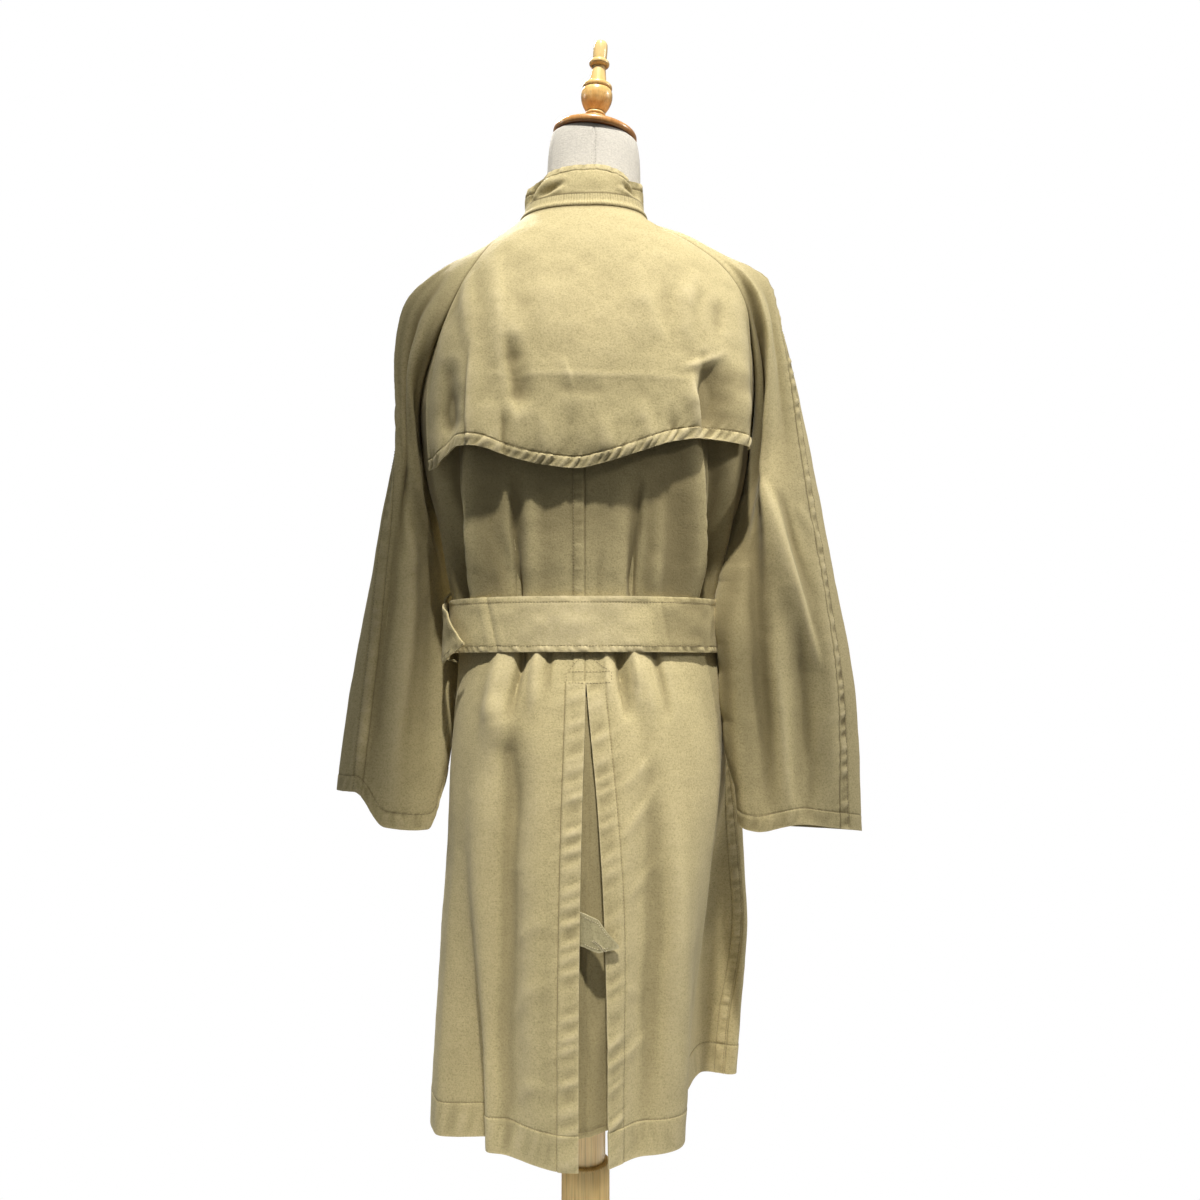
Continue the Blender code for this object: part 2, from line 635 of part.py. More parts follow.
def sleeve_half(side, which):
    sg = 1 if side == "left" else -1
    table = SLEEVE_LEFT if side == "left" else SLEEVE_RIGHT
    stations = [0.03] + list(range(1, len(table)))
    seam = column(table, SLEEVE_COLS, "seam")
    nc = 9
    grid = np.zeros((len(stations), nc, 3))
    norm = np.zeros_like(grid)
    for i, s in enumerate(stations):
        c = float(catmull(seam, s))
        size = 0.05
        g = math.degrees(GAP / 2 / size)
        lo, hi = (c + g, 180.0) if which == "back" else (-180.0, c - g)
        if s > UNDER_ROW:
            if which == "back":
                hi = 180.0 - g
            else:
                lo = -180.0 + g
        elif s == UNDER_ROW:
            if which == "back":
                hi = 179.6
            else:
                lo = -179.6
        for j, phi in enumerate(np.linspace(lo, hi, nc)):
            p = sleeve_point(side, s, phi)
            e = 1.5
            du = sleeve_point(side, s, min(phi + e, 180)) - sleeve_point(side, s, max(phi - e, -180))
            s0, s1 = max(s - 0.05, 0), min(s + 0.05, len(table) - 1)
            dv = sleeve_point(side, s1, phi) - sleeve_point(side, s0, phi)
            n = np.cross(du, dv) * sg
            grid[i, j] = p
            norm[i, j] = n
    wall("sleeve_%s_%s" % (side, which), grid, CLOTH, TWILL, norm)


# -------------------------------------------------------------------- collar
def collar_lean(ang):
    lo = COLLAR_LEAN[0]
    hi = COLLAR_LEAN[1] if math.sin(math.radians(ang)) >= 0 else COLLAR_LEAN[2]
    return math.radians(lo + (hi - lo) * math.sin(math.radians(ang)) ** 2)


def collar_height(ang):
    return COLLAR_H - COLLAR_DROP * float(smoothstep((ang - 35.0) / 40.0))


def collar_point(ang, t, off=0.0):
    """Point of the collar at height t above the neck seam."""
    ang = float(ang)
    z0 = float(neck_height(ang)) if abs(wrap(ang)) < 179.9 else 1.371
    p = body_point(ang, z0, 0.0, folds=False)
    a = math.radians(ang)
    rad = np.array([math.sin(a), math.cos(a), 0.0])
    lean = collar_lean(ang)
    bulge = 0.0016 * math.sin(math.pi * min(max((t - COLLAR_BAND) / (COLLAR_H - COLLAR_BAND), 0), 1))
    return (p + np.array([0, 0, 1.0]) * t * math.cos(lean)
            + rad * (-t * math.sin(lean) + off + bulge))


def collar_piece(name, t0, t1, rows, thick, end):
    cols = np.linspace(-end, end, 29)
    grid = np.zeros((rows, len(cols), 3))
    norm = np.zeros_like(grid)
    for i, k in enumerate(np.linspace(0, 1, rows)):
        for j, a in enumerate(cols):
            top = t1 if t1 < COLLAR_H else collar_height(a)
            t = t0 + k * (top - t0)
            grid[i, j] = collar_point(a, t)
            ar = math.radians(a)
            lean = collar_lean(a)
            norm[i, j] = (math.sin(ar) * math.cos(lean), math.cos(ar) * math.cos(lean), math.sin(lean))
    wall(name, grid, thick, TWILL, norm)


# ---------------------------------------------------------------------- belt
BELT_IN = 0.0066          # mid surface of the belt's first turn off the body
BELT_STEP = 0.0048        # extra for the second turn at the wearer's left


def belt_centre(run):
    """Belt path by swept angle: 0 is the centre front, under the buckle;
    it passes the wearer's left side, the back and the right side, comes
    back to the front at 360 and ends at the wearer's left."""
    ang = 180.0 - run
    lay = BELT_IN + BELT_STEP * smoothstep((run - 338.0) / 16.0)
    z = BELT_Z
    peel = smoothstep((run - 446.0) / 34.0)
    p = body_point(ang, BELT_Z, lay + 0.0080 * math.exp(-((run - 360.0) / 7.0) ** 2), folds=False)
    if peel > 0:
        p = p + np.array([0.010 * peel, 0.004 * peel, -0.020 * peel])
    return p


def belt():
    runs = [3.0] + list(np.arange(12.0, 346.0, 11.15)) + [346, 350, 354, 357, 360, 363, 366, 370] \
        + list(np.arange(380.0, 470.0, 10.0)) + [474.0, 480.0]
    n = len(runs)
    grid = np.zeros((3, n, 3))
    norm = np.zeros((3, n, 3))
    tip = np.linalg.norm(belt_centre(480.0) - belt_centre(469.0))
    for j, r in enumerate(runs):
        c = belt_centre(r)
        t = belt_centre(r + 0.5) - belt_centre(r - 0.5)
        nrm = np.cross(t, np.array([0, 0, 1.0]))
        # the tilt of the free end follows its droop
        up = np.cross(nrm, t)
        up = up / np.linalg.norm(up)
        if up[2] < 0:
            up = -up
        for i, w in enumerate((-0.5, 0.0, 0.5)):
            half = BELT_W
            if r > 466.0 and w != 0:
                half = BELT_W * max(0.05, 1 - (r - 466.0) / 14.0)
            grid[i, j] = c + up * w * half
            norm[i, j] = -nrm
    wall("belt", grid, BELT_T, TWILL, norm)


def loop(name, run, lay):
    """Belt loop: a strip that stands off the body over the belt."""
    ang0 = 180.0 - run
    half_w = math.degrees(0.006 / 0.155)
    path = [(-0.0405, 0.0016), (-0.0375, lay * 0.72), (-0.0325, lay), (0.0, lay + 0.0003),
            (0.0325, lay), (0.0375, lay * 0.72), (0.0405, 0.0016)]
    path = [(dz, max(o, 0.0028)) for dz, o in path]
    grid = np.zeros((len(path), 3, 3))
    norm = np.zeros_like(grid)
    for j, k in enumerate((-1, 0, 1)):
        for i, (dz, o) in enumerate(path):
            base = body_point(ang0 + k * half_w, BELT_Z, 0.0, folds=False)
            skin = body_point(ang0 + k * half_w, BELT_Z + dz, 0.0)
            a = math.radians(ang0)
            rad = np.array([math.sin(a), math.cos(a), 0.0])
            far = base @ rad + o
            if i in (0, len(path) - 1):
                far = skin @ rad + 0.0028
            elif i in (1, len(path) - 2):
                far = max(far, skin @ rad + 0.0028)
            flat = base - rad * (base @ rad)
            grid[i, j] = np.array([flat[0], flat[1], BELT_Z + dz]) + rad * far
    dv = np.gradient(grid, axis=0)
    du = np.gradient(grid, axis=1)
    norm = np.cross(dv, du)
    wall(name, grid, 0.0020, TWILL, norm)


def rounded_frame(name, w, h, bar, depth, y, z, x0, mat):
    """Rectangular buckle frame with a centre bar, in a plane facing front."""
    bm = bmesh.new()
    outer = []
    seg = 5
    rad = 0.009

    def ring(hw, hh, r):
        pts = []
        for cx, cz, a0 in ((hw - r, hh - r, 0), (-hw + r, hh - r, 90),
                           (-hw + r, -hh + r, 180), (hw - r, -hh + r, 270)):
            for k in range(seg):
                a = math.radians(a0 + 90.0 * k / (seg - 1))
                pts.append((cx + r * math.cos(a), cz + r * math.sin(a)))
        return pts
    out = ring(w / 2, h / 2, rad)
    # two windows, one each side of the centre bar
    hw = (w / 2 - bar) / 2 - bar / 4
    cx = bar / 2 + hw

    def window(sign):
        pts = []
        for px, pz in ring(hw, h / 2 - bar, 0.003):
            pts.append((sign * cx + px, pz))
        return pts
    wins = [window(1), window(-1)]
    verts = []
    loops = []
    for pts in [out] + wins:
        ids = []
        for px, pz in pts:
            ids.append(bm.verts.new((px, -depth / 2, pz)))
        loops.append(ids)
    edges = []
    for ids in loops:
        for k in range(len(ids)):
            edges.append(bm.edges.new((ids[k], ids[(k + 1) % len(ids)])))
    res = bmesh.ops.triangle_fill(bm, use_beauty=True, use_dissolve=False, edges=edges)
    faces = [f for f in res["geom"] if isinstance(f, bmesh.types.BMFace)]
    bmesh.ops.recalc_face_normals(bm, faces=faces)
    ext = bmesh.ops.extrude_face_region(bm, geom=faces)
    moved = [v for v in ext["geom"] if isinstance(v, bmesh.types.BMVert)]
    bmesh.ops.translate(bm, verts=moved, vec=(0, depth, 0))
    bmesh.ops.recalc_face_normals(bm, faces=bm.faces)
    me = bpy.data.meshes.new(name)
    bm.to_mesh(me)
    bm.free()
    me.shade_smooth()
    me.set_sharp_from_angle(angle=math.radians(30))
    ob = bpy.data.objects.new(name, me)
    ob.location = (x0, y, z)
    bpy.context.scene.collection.objects.link(ob)
    me.materials.append(material(*mat))
    return ob


def vent_tab():
    """Small pointed tab from under the left vent edge, over the right one."""
    # distance along the tab: half width, drop of its middle, height off the body
    rows = [(0.000, 0.0165, 0.000, -0.0036), (0.006, 0.0165, -0.001, -0.0032),
            (0.012, 0.0168, -0.002, 0.0010), (0.020, 0.0170, -0.004, 0.0052),
            (0.028, 0.0150, -0.007, 0.0074), (0.036, 0.0080, -0.010, 0.0084),
            (0.043, 0.0015, -0.012, 0.0088)]
    x_root = 0.0110
    z_root = 0.6330
    grid = np.zeros((len(rows), 3, 3))
    norm = np.zeros_like(grid)
    for i, (d, hw, drop, off) in enumerate(rows):
        for j, w in enumerate((-1, 0, 1)):
            z = z_root + drop + hw * w
            x = x_root - d
            r0 = float(body_radius(0.0, z))
            ang = math.degrees(math.atan2(x, r0))
            grid[i, j] = body_point(ang, z, off)
            norm[i, j] = body_point(ang, z, off + 0.01) - grid[i, j]
    wall("vent_tab", grid, 0.0022, TWILL, norm)


def button(name, z):
    y0 = -float(look(BODY, BODY_COLS, "front", z))
    p = body_point(180.0, z, CLOTH / 2 + 0.0007)
    n = body_point(180.0, z, 0.02) - body_point(180.0, z, 0.0)
    n = Vector(n).normalized()
    x = Vector((1, 0, 0))
    y = n.cross(x).normalized()
    fr = Matrix(((x.x, y.x, n.x, p[0]), (x.y, y.y, n.y, p[1]), (x.z, y.z, n.z, p[2]), (0, 0, 0, 1)))
    prof = [(0, 0), (0.0108, 0), (0.0115, 0.0012), (0.0112, 0.0036),
            (0.0090, 0.0040), (0.0080, 0.0031), (0, 0.0030)]
    lathe(name, prof, 14, HORN, fr)


# ---------------------------------------------------------------- dress form
def lean(z):
    return FORM_LEAN * max(z - LEAN_FROM, 0.0)


def dress_form():
    seg = 28
    verts = []
    faces = []
    zs = [row[0] for row in FORM]
    for z, half, back, front in FORM:
        f = float(smoothstep((z - 1.42) / 0.11))
        for k in range(seg):
            a = 2 * math.pi * k / seg
            s, c = math.sin(a), math.cos(a)
            b = back if c >= 0 else front
            p = 2.15 if z < 1.39 else 2.0
            r = (abs(s / half) ** p + abs(c / b) ** p) ** (-1 / p)
            x, y = r * s, r * c
            zz = z + f * (CAP_TILT_X * x + CAP_TILT_Y * y)
            verts.append((x + lean(z), y, zz))
    n = len(FORM)
    for i in range(n - 1):
        for k in range(seg):
            k2 = (k + 1) % seg
            faces.append((i * seg + k, i * seg + k2, (i + 1) * seg + k2, (i + 1) * seg + k))
    faces.append(tuple(range(seg))[::-1])
    faces.append(tuple((n - 1) * seg + k for k in range(seg)))
    add_object("form_torso", verts, faces, LINEN, 40)


def cap_frame(height, tilt=None):
    """Axis of the cap: the normal of the tilted top of the neck."""
    n = Vector((-CAP_TILT_X, -CAP_TILT_Y, 1)).normalized()
    top = FORM[-1][0]
    p = Vector((lean(top), 0, top)) + n * height
    if tilt is not None:
        n = Vector((-tilt, -CAP_TILT_Y, 1)).normalized()
        p = p + n * 0.0016 + Vector((0.0022, 0, 0))
    x = Vector((1, 0, tilt if tilt is not None else CAP_TILT_X)).normalized()
    y = n.cross(x).normalized()
    return Matrix(((x.x, y.x, n.x, p.x), (x.y, y.y, n.y, p.y), (x.z, y.z, n.z, p.z), (0, 0, 0, 1)))


CAP_TOP = 0.0225


def neck_cap():
    prof = [(0, 0), (0.0480, 0), (0.0500, 0.0016), (0.0506, 0.0045), (0.0496, 0.0072),
            (0.0460, 0.0094), (0.0390, 0.0124), (0.0300, 0.0154), (0.0200, 0.0178),
            (0.0182, 0.0184), (0.0176, CAP_TOP - 0.0012), (0.0164, CAP_TOP), (0, CAP_TOP)]
    lathe("neck_cap", prof, 32, WOOD, cap_frame(0.0004), 40)


def finial():
    prof = [(0, 0), (0.0120, 0), (0.0128, 0.0014), (0.0128, 0.0030), (0.0104, 0.0040),
            (0.0104, 0.0052), (0.0122, 0.0070), (0.0158, 0.0125), (0.0182, 0.0180),
            (0.0190, 0.0225), (0.0186, 0.0275), (0.0172, 0.0310), (0.0176, 0.0330),
            (0.0176, 0.0368), (0.0160, 0.0384), (0.0108, 0.0388), (0.0094, 0.0440),
            (0.0080, 0.0520), (0.0076, 0.0560), (0.0108, 0.0580), (0.0122, 0.0610),
            (0.0120, 0.0650), (0.0098, 0.0680), (0.0070, 0.0692), (0.0074, 0.0720),
            (0.0086, 0.0780), (0.0088, 0.0830), (0.0078, 0.0890), (0.0050, 0.0932),
            (0, 0.0950)]
    lathe("finial", prof, 18, WOOD, cap_frame(0.0004 + CAP_TOP, FINIAL_TILT_X), 40)


def post():
    prof = [(0, POST_STEP + 0.0004), (POST_R1 - 0.002, POST_STEP + 0.0004),
            (POST_R1, POST_STEP + 0.0024), (POST_R1, FORM_BOTTOM - 0.0004), (0, FORM_BOTTOM - 0.0004)]
    lathe("post_upper", prof, 24, PALE)
    r = POST_R2
    prof = [(0, BASE_H + 0.0004), (0.040, BASE_H + 0.0004), (0.0425, BASE_H + 0.004),
            (0.0425, BASE_H + 0.010), (0.039, BASE_H + 0.016), (0.0315, BASE_H + 0.020),
            (0.0295, BASE_H + 0.026), (0.0320, BASE_H + 0.032), (0.0320, BASE_H + 0.038),
            (0.0285, BASE_H + 0.044), (r, BASE_H + 0.060), (r, POST_STEP - 0.003),
            (r - 0.003, POST_STEP), (0, POST_STEP)]
    lathe("post_lower", prof, 24, PALE)
    prof = [(0, 0), (BASE_R - 0.004, 0), (BASE_R, 0.004), (BASE_R, 0.012), (BASE_R - 0.004, 0.018),
            (BASE_R - 0.014, 0.0215), (BASE_R - 0.018, 0.0215), (BASE_R - 0.026, 0.0260),
            (BASE_R - 0.060, 0.0310), (0.060, BASE_H), (0, BASE_H)]
    lathe("stand_base", prof, 36, PALE)


# --------------------------------------------------------------------- build
dress_form()
neck_cap()
finial()
post()
for side_name in ("left", "right"):
    back_panel(side_name)
    front_panel(side_name)
    sleeve_half(side_name, "back")
    sleeve_half(side_name, "front")
vent_underlay()
storm_flap()
collar_piece("collar_stand", 0.0005, COLLAR_BAND, 3, 0.0024, 171.0)
collar_piece("collar_fall", COLLAR_BAND + GAP, COLLAR_H, 5, 0.0024, 171.0)
belt()
loop("belt_loop_right", 274.0, BELT_IN + BELT_T / 2 + 0.0006 + 0.0018)
loop("belt_loop_left", 88.0, BELT_IN + BELT_STEP + BELT_T / 2 + 0.0006 + 0.001)
front_y = -float(look(BODY, BODY_COLS, "front", BELT_Z))
rounded_frame("belt_buckle", 0.082, 0.078, 0.0060, 0.0034,
              front_y - BELT_IN - BELT_STEP - 0.0036, BELT_Z, 0.0, BRASS)
vent_tab()
for k, z in enumerate((1.330, 1.205, 1.080, 0.800), 1):
    button("front_button_%d" % k, z)
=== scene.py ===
# Trench coat on a dress form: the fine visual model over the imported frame.
# Every cloth piece is a thin shell on the form of its CAD solid, with its
# creases, seams and stitches; the stand is turned again with a finer surface.
import json
import math
import bpy
import bmesh
import numpy as np
from mathutils import Vector, Matrix

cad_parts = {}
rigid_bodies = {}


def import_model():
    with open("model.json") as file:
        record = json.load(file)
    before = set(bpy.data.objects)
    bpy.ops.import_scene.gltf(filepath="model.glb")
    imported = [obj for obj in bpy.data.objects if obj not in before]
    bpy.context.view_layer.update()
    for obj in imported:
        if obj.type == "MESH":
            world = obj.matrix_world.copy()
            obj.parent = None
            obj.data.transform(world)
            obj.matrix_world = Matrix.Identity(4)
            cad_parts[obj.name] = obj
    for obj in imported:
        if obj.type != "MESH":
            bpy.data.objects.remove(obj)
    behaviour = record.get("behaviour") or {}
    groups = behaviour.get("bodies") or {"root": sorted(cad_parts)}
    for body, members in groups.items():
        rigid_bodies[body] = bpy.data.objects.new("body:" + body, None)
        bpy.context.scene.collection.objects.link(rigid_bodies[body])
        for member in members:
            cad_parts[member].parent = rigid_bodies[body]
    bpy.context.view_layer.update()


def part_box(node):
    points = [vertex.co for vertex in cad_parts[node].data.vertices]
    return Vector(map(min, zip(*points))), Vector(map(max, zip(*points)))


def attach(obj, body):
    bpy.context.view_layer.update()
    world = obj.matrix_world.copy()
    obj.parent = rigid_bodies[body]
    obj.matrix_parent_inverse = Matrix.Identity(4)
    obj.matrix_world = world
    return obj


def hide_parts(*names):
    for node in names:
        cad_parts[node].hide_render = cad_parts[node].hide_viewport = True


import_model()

# ------------------------------------------------------------- driving sizes
CLOTH = 0.0016            # wall of one layer of twill with its seams
GAP = 0.0004              # clearance at a sewn seam
LAP = 0.0026              # sleeve edge lies this far outside the body panel
HEM_Z = 0.398             # height of the hem above the floor
UNDERARM_Z = 1.10         # height of the underarm point
NECK_Z = 1.419            # nominal height of the neck seam
BELT_Z = 0.9435           # middle of the belt
BELT_W = 0.060            # width of the belt
BELT_T = 0.0030           # thickness of the belt
VENT_TOP = 0.881          # top of the centre-back vent
SQUARE = 2.25             # squareness of the body sections (2 is an ellipse)
OVERLAP = 0.030           # each front passes the centre line by this much
COLLAR_BAND = 0.0185      # height of the collar stand
COLLAR_H = 0.0560         # full height of the turned-up collar
COLLAR_LEAN = (10.0, 11.0, 3.0)  # degrees the collar leans in, at the back, left and right
COLLAR_DROP = 0.0105      # the leaf is this much lower at the wearer's left
FORM_BOTTOM = 0.690       # underside of the dress form
POST_STEP = 0.340         # joint between the two posts
POST_R1 = 0.0225
POST_R2 = 0.0272
BASE_R = 0.170            # radius of the foot
BASE_H = 0.034

# Body sections: height, half width to the wearer's left and right, depth to
# the back and to the front.
BODY_COLS = ("z", "left", "right", "back", "front")
BODY = [
    (0.360, 0.174, 0.174, 0.1485, 0.167),
    (0.398, 0.173, 0.173, 0.1480, 0.166),
    (0.500, 0.169, 0.170, 0.1445, 0.160),
    (0.600, 0.164, 0.165, 0.1400, 0.152),
    (0.700, 0.157, 0.160, 0.1340, 0.142),
    (0.780, 0.154, 0.156, 0.1260, 0.130),
    (0.850, 0.151, 0.152, 0.1140, 0.115),
    (0.890, 0.148, 0.149, 0.1040, 0.104),
    (0.914, 0.147, 0.147, 0.0970, 0.0975),
    (0.944, 0.151, 0.149, 0.0950, 0.0965),
    (0.975, 0.1532, 0.1515, 0.0962, 0.0980),
    (1.010, 0.160, 0.159, 0.1015, 0.104),
    (1.060, 0.171, 0.171, 0.1095, 0.112),
    (1.110, 0.184, 0.184, 0.1180, 0.118),
    (1.150, 0.1905, 0.190, 0.1225, 0.119),
    (1.200, 0.194, 0.196, 0.1245, 0.117),
    (1.250, 0.191, 0.199, 0.1220, 0.111),
    (1.290, 0.184, 0.199, 0.1170, 0.104),
    (1.320, 0.172, 0.193, 0.1100, 0.096),
    (1.350, 0.152, 0.175, 0.1000, 0.086),
    (1.380, 0.124, 0.137, 0.0860, 0.073),
    (1.400, 0.098, 0.100, 0.0740, 0.060),
    (1.419, 0.0768, 0.0722, 0.0610, 0.050),
    (1.440, 0.067, 0.064, 0.0500, 0.040),
]

# Folds of the body: angle from the centre back (plus is the wearer's left)
# and half width in degrees where the fold starts and where it is full, its
# depth (minus is a valley), its swing in degrees (how far its cloth is pushed
# round the body), the height where it starts, where it is full, and where it
# fades out again.
FOLD_COLS = ("a0", "a1", "w0", "w1", "depth", "swing", "z0", "z1", "zf", "zg")
FOLDS = [
    # skirt
    (56, 55, 10, 13, -0.038, 0, 0.800, 0.390, 0.1, 0.0),    # left back valley
    (36, 36, 16, 32, -0.021, 0, 0.840, 0.390, 0.1, 0.0),    # and its slope
    (-26, -28, 10, 28, -0.027, 0, 0.830, 0.390, 0.1, 0.0),  # right back slope
    (-66, -72, 20, 45, -0.062, 0, 0.830, 0.340, 0.1, 0.0),  # right back, drawn in
    (-82, -88, 14, 20, -0.018, 0, 0.900, 0.640, 0.44, 0.30),  # valley at the right side
    (-92, -98, 16, 30, 0.000, -22, 0.860, 0.480, 0.1, 0.0),  # its far wall
    (-120, -124, 20, 27, 0.046, 9, 0.912, 0.830, 0.62, 0.38),  # right front roll
    (-134, -138, 28, 34, 0.036, 13, 0.640, 0.400, 0.1, 0.0),  # its fall to the hem
    (112, 114, 10, 14, -0.014, 0, 0.820, 0.420, 0.1, 0.0),
    (142, 144, 9, 13, 0.010, 0, 0.860, 0.420, 0.1, 0.0),
    (-170, -172, 8, 11, -0.008, 0, 0.840, 0.420, 0.1, 0.0),
    # above the belt
    (72, 70, 11, 8, -0.016, 0, 1.130, 0.990, 0.965, 0.915),
    (44, 43, 9, 6, -0.008, 0, 1.060, 0.985, 0.965, 0.915),
    (-30, -31, 9, 6, -0.006, 0, 1.060, 0.985, 0.965, 0.915),
    (-68, -69, 13, 8, -0.016, 0, 1.140, 0.990, 0.965, 0.915),
    (128, 128, 10, 7, -0.009, 0, 1.090, 0.985, 0.965, 0.915),
    (152, 151, 9, 6, -0.006, 0, 1.050, 0.985, 0.965, 0.915),
    (-124, -125, 10, 7, -0.010, 0, 1.100, 0.985, 0.965, 0.915),
    (-153, -152, 8, 6, -0.006, 0, 1.060, 0.985, 0.965, 0.915),
]

# Seams of the body, as angles from the centre back at a height.
RAGLAN_COLS = ("z", "left_back", "right_back", "left_front", "right_front")
RAGLAN = [
    (1.100, 94, 94, 94, 94),
    (1.150, 87, 88, 102, 101),
    (1.200, 79, 82, 109, 107),
    (1.250, 70, 77, 115, 112),
    (1.300, 63.5, 73.5, 120, 117),
    (1.345, 62.0, 71.0, 122, 120),
    (1.385, 63.5, 67.5, 119, 118),
    (1.419, 75, 74, 112, 112),
]
SIDE_COLS = ("z", "left", "right")
SIDE = [
    (0.398, 101, 119),
    (0.600, 100, 116),
    (0.760, 99, 109),
    (0.900, 97, 98),
    (1.100, 94, 94),
]
NECK_COLS = ("angle", "left", "right")
NECK = [
    (0, 1.4180, 1.4180),
    (40, 1.4182, 1.4205),
    (75, 1.4195, 1.4235),
    (95, 1.4170, 1.4210),
    (112, 1.4080, 1.4110),
    (140, 1.3890, 1.3900),
    (180, 1.3710, 1.3710),
    (210, 1.3700, 1.3700),
]
VENT_COLS = ("z", "left_x", "right_x")
VENT = [
    (0.398, 0.0050, -0.0260),
    (0.500, 0.0050, -0.0240),
    (0.642, 0.0040, -0.0205),
    (0.750, 0.0020, -0.0140),
    (0.844, -0.0006, -0.0050),
    (0.881, -0.0012, -0.0016),
]
# Storm flap: its lower edge by angle, and its side edges by height.
FLAP_EDGE_COLS = ("angle", "z")
FLAP_EDGE = [
    (-80, 1.142), (-66, 1.141), (-52, 1.143), (-40, 1.138), (-26, 1.126),
    (-10, 1.114), (4, 1.108), (20, 1.112), (34, 1.121), (46, 1.134),
    (54, 1.136), (60, 1.127), (66, 1.118), (74, 1.117),
]
FLAP_SIDE_COLS = ("z", "left", "right")
FLAP_SIDE = [
    (1.105, 70.0, 72.0),
    (1.200, 69.0, 72.5),
    (1.250, 66.0, 72.5),
    (1.300, 62.6, 72.6),
    (1.345, 61.1, 70.1),
    (1.385, 62.3, 66.3),
    (1.419, 73.2, 72.2),
]

# Sleeves: one row per station. zb is the height on the raglan seams (the
# station's place on the body), o is the overarm point, i the inner point
# below the underarm, hb and hf the bulge to the back and front, and seam the
# angle of the overarm seam round the section (0 outer edge, 180 inner edge).
SLEEVE_COLS = ("zb", "ox", "oy", "oz", "ix", "iy", "iz", "hb", "hf", "seam")
SLEEVE_LEFT = [
    (1.419, 0.0790, -0.004, 1.4180, 0, 0, 0, 0.000, 0.000, 0),
    (1.385, 0.113, -0.006, 1.3895, 0, 0, 0, 0.002, 0.002, 4),
    (1.345, 0.153, -0.006, 1.374, 0, 0, 0, 0.003, 0.004, 8),
    (1.300, 0.187, -0.004, 1.355, 0, 0, 0, 0.008, 0.010, 12),
    (1.250, 0.210, -0.002, 1.329, 0, 0, 0, 0.020, 0.024, 18),
    (1.200, 0.2150, 0.000, 1.278, 0, 0, 0, 0.033, 0.038, 26),
    (1.150, 0.2150, 0.000, 1.212, 0, 0, 0, 0.044, 0.050, 34),
    (1.100, 0.2230, -0.003, 1.145, 0, 0, 0, 0.054, 0.066, 40),
    (1.050, 0.2380, -0.012, 1.080, 0.1765, -0.048, 1.060, 0.064, 0.070, 44),
    (1.000, 0.2510, -0.016, 1.012, 0.1690, -0.066, 1.005, 0.068, 0.060, 46),
    (0.940, 0.2640, -0.014, 0.940, 0.1615, -0.064, 0.940, 0.060, 0.050, 48),
    (0.870, 0.2760, -0.008, 0.862, 0.1575, -0.040, 0.872, 0.048, 0.044, 50),
    (0.810, 0.2825, -0.001, 0.803, 0.1585, -0.016, 0.812, 0.041, 0.041, 51),
    (0.765, 0.2860, 0.002, 0.756, 0.1635, 0.000, 0.764, 0.037, 0.038, 52),
]
SLEEVE_RIGHT = [
    (1.419, 0.0745, -0.004, 1.4215, 0, 0, 0, 0.000, 0.000, 0),
    (1.385, 0.113, -0.005, 1.4075, 0, 0, 0, 0.002, 0.002, 6),
    (1.345, 0.156, -0.004, 1.383, 0, 0, 0, 0.003, 0.004, 12),
    (1.300, 0.190, -0.002, 1.369, 0, 0, 0, 0.008, 0.010, 20),
    (1.250, 0.2125, 0.000, 1.352, 0, 0, 0, 0.018, 0.022, 28),
    (1.200, 0.2225, 0.002, 1.312, 0, 0, 0, 0.030, 0.034, 34),
    (1.150, 0.2380, 0.004, 1.262, 0, 0, 0, 0.042, 0.046, 38),
    (1.100, 0.2540, 0.007, 1.190, 0, 0, 0, 0.052, 0.062, 40),
    (1.050, 0.2675, 0.010, 1.110, 0.1765, 0.006, 1.060, 0.056, 0.076, 41),
    (1.000, 0.2820, 0.012, 1.030, 0.1665, 0.030, 1.005, 0.050, 0.072, 42),
    (0.930, 0.2990, 0.014, 0.935, 0.1610, 0.042, 0.940, 0.044, 0.062, 43),
    (0.855, 0.3100, 0.015, 0.855, 0.1640, 0.036, 0.862, 0.037, 0.048, 43),
    (0.785, 0.3140, 0.014, 0.780, 0.1680, 0.030, 0.790, 0.032, 0.038, 43),
    (0.720, 0.3145, 0.012, 0.710, 0.1730, 0.026, 0.720, 0.029, 0.031, 43),
]
# Droop of the cuff edge round the section, by angle (0 outer, 180 inner).
CUFF_COLS = ("angle", "left", "right")
CUFF = [
    (-180, 0.000, 0.000), (-90, -0.010, -0.004), (0, 0.000, 0.000),
    (55, -0.001, 0.005), (90, -0.042, 0.008), (138, -0.0495, -0.005),
    (170, -0.006, -0.002), (180, 0.000, 0.000),
]

# Rows of heights at which the body panels are sampled.
ROWS = [0.398, 0.445, 0.50, 0.56, 0.62, 0.69, 0.755, 0.81, 0.848, 0.881, 0.914, 0.944,
        0.978, 1.015, 1.055, 1.10, 1.15, 1.20, 1.25, 1.30, 1.345, 1.385, 1.419]
UP_ROWS = [1.10, 1.15, 1.20, 1.25, 1.30, 1.345, 1.385, 1.419]

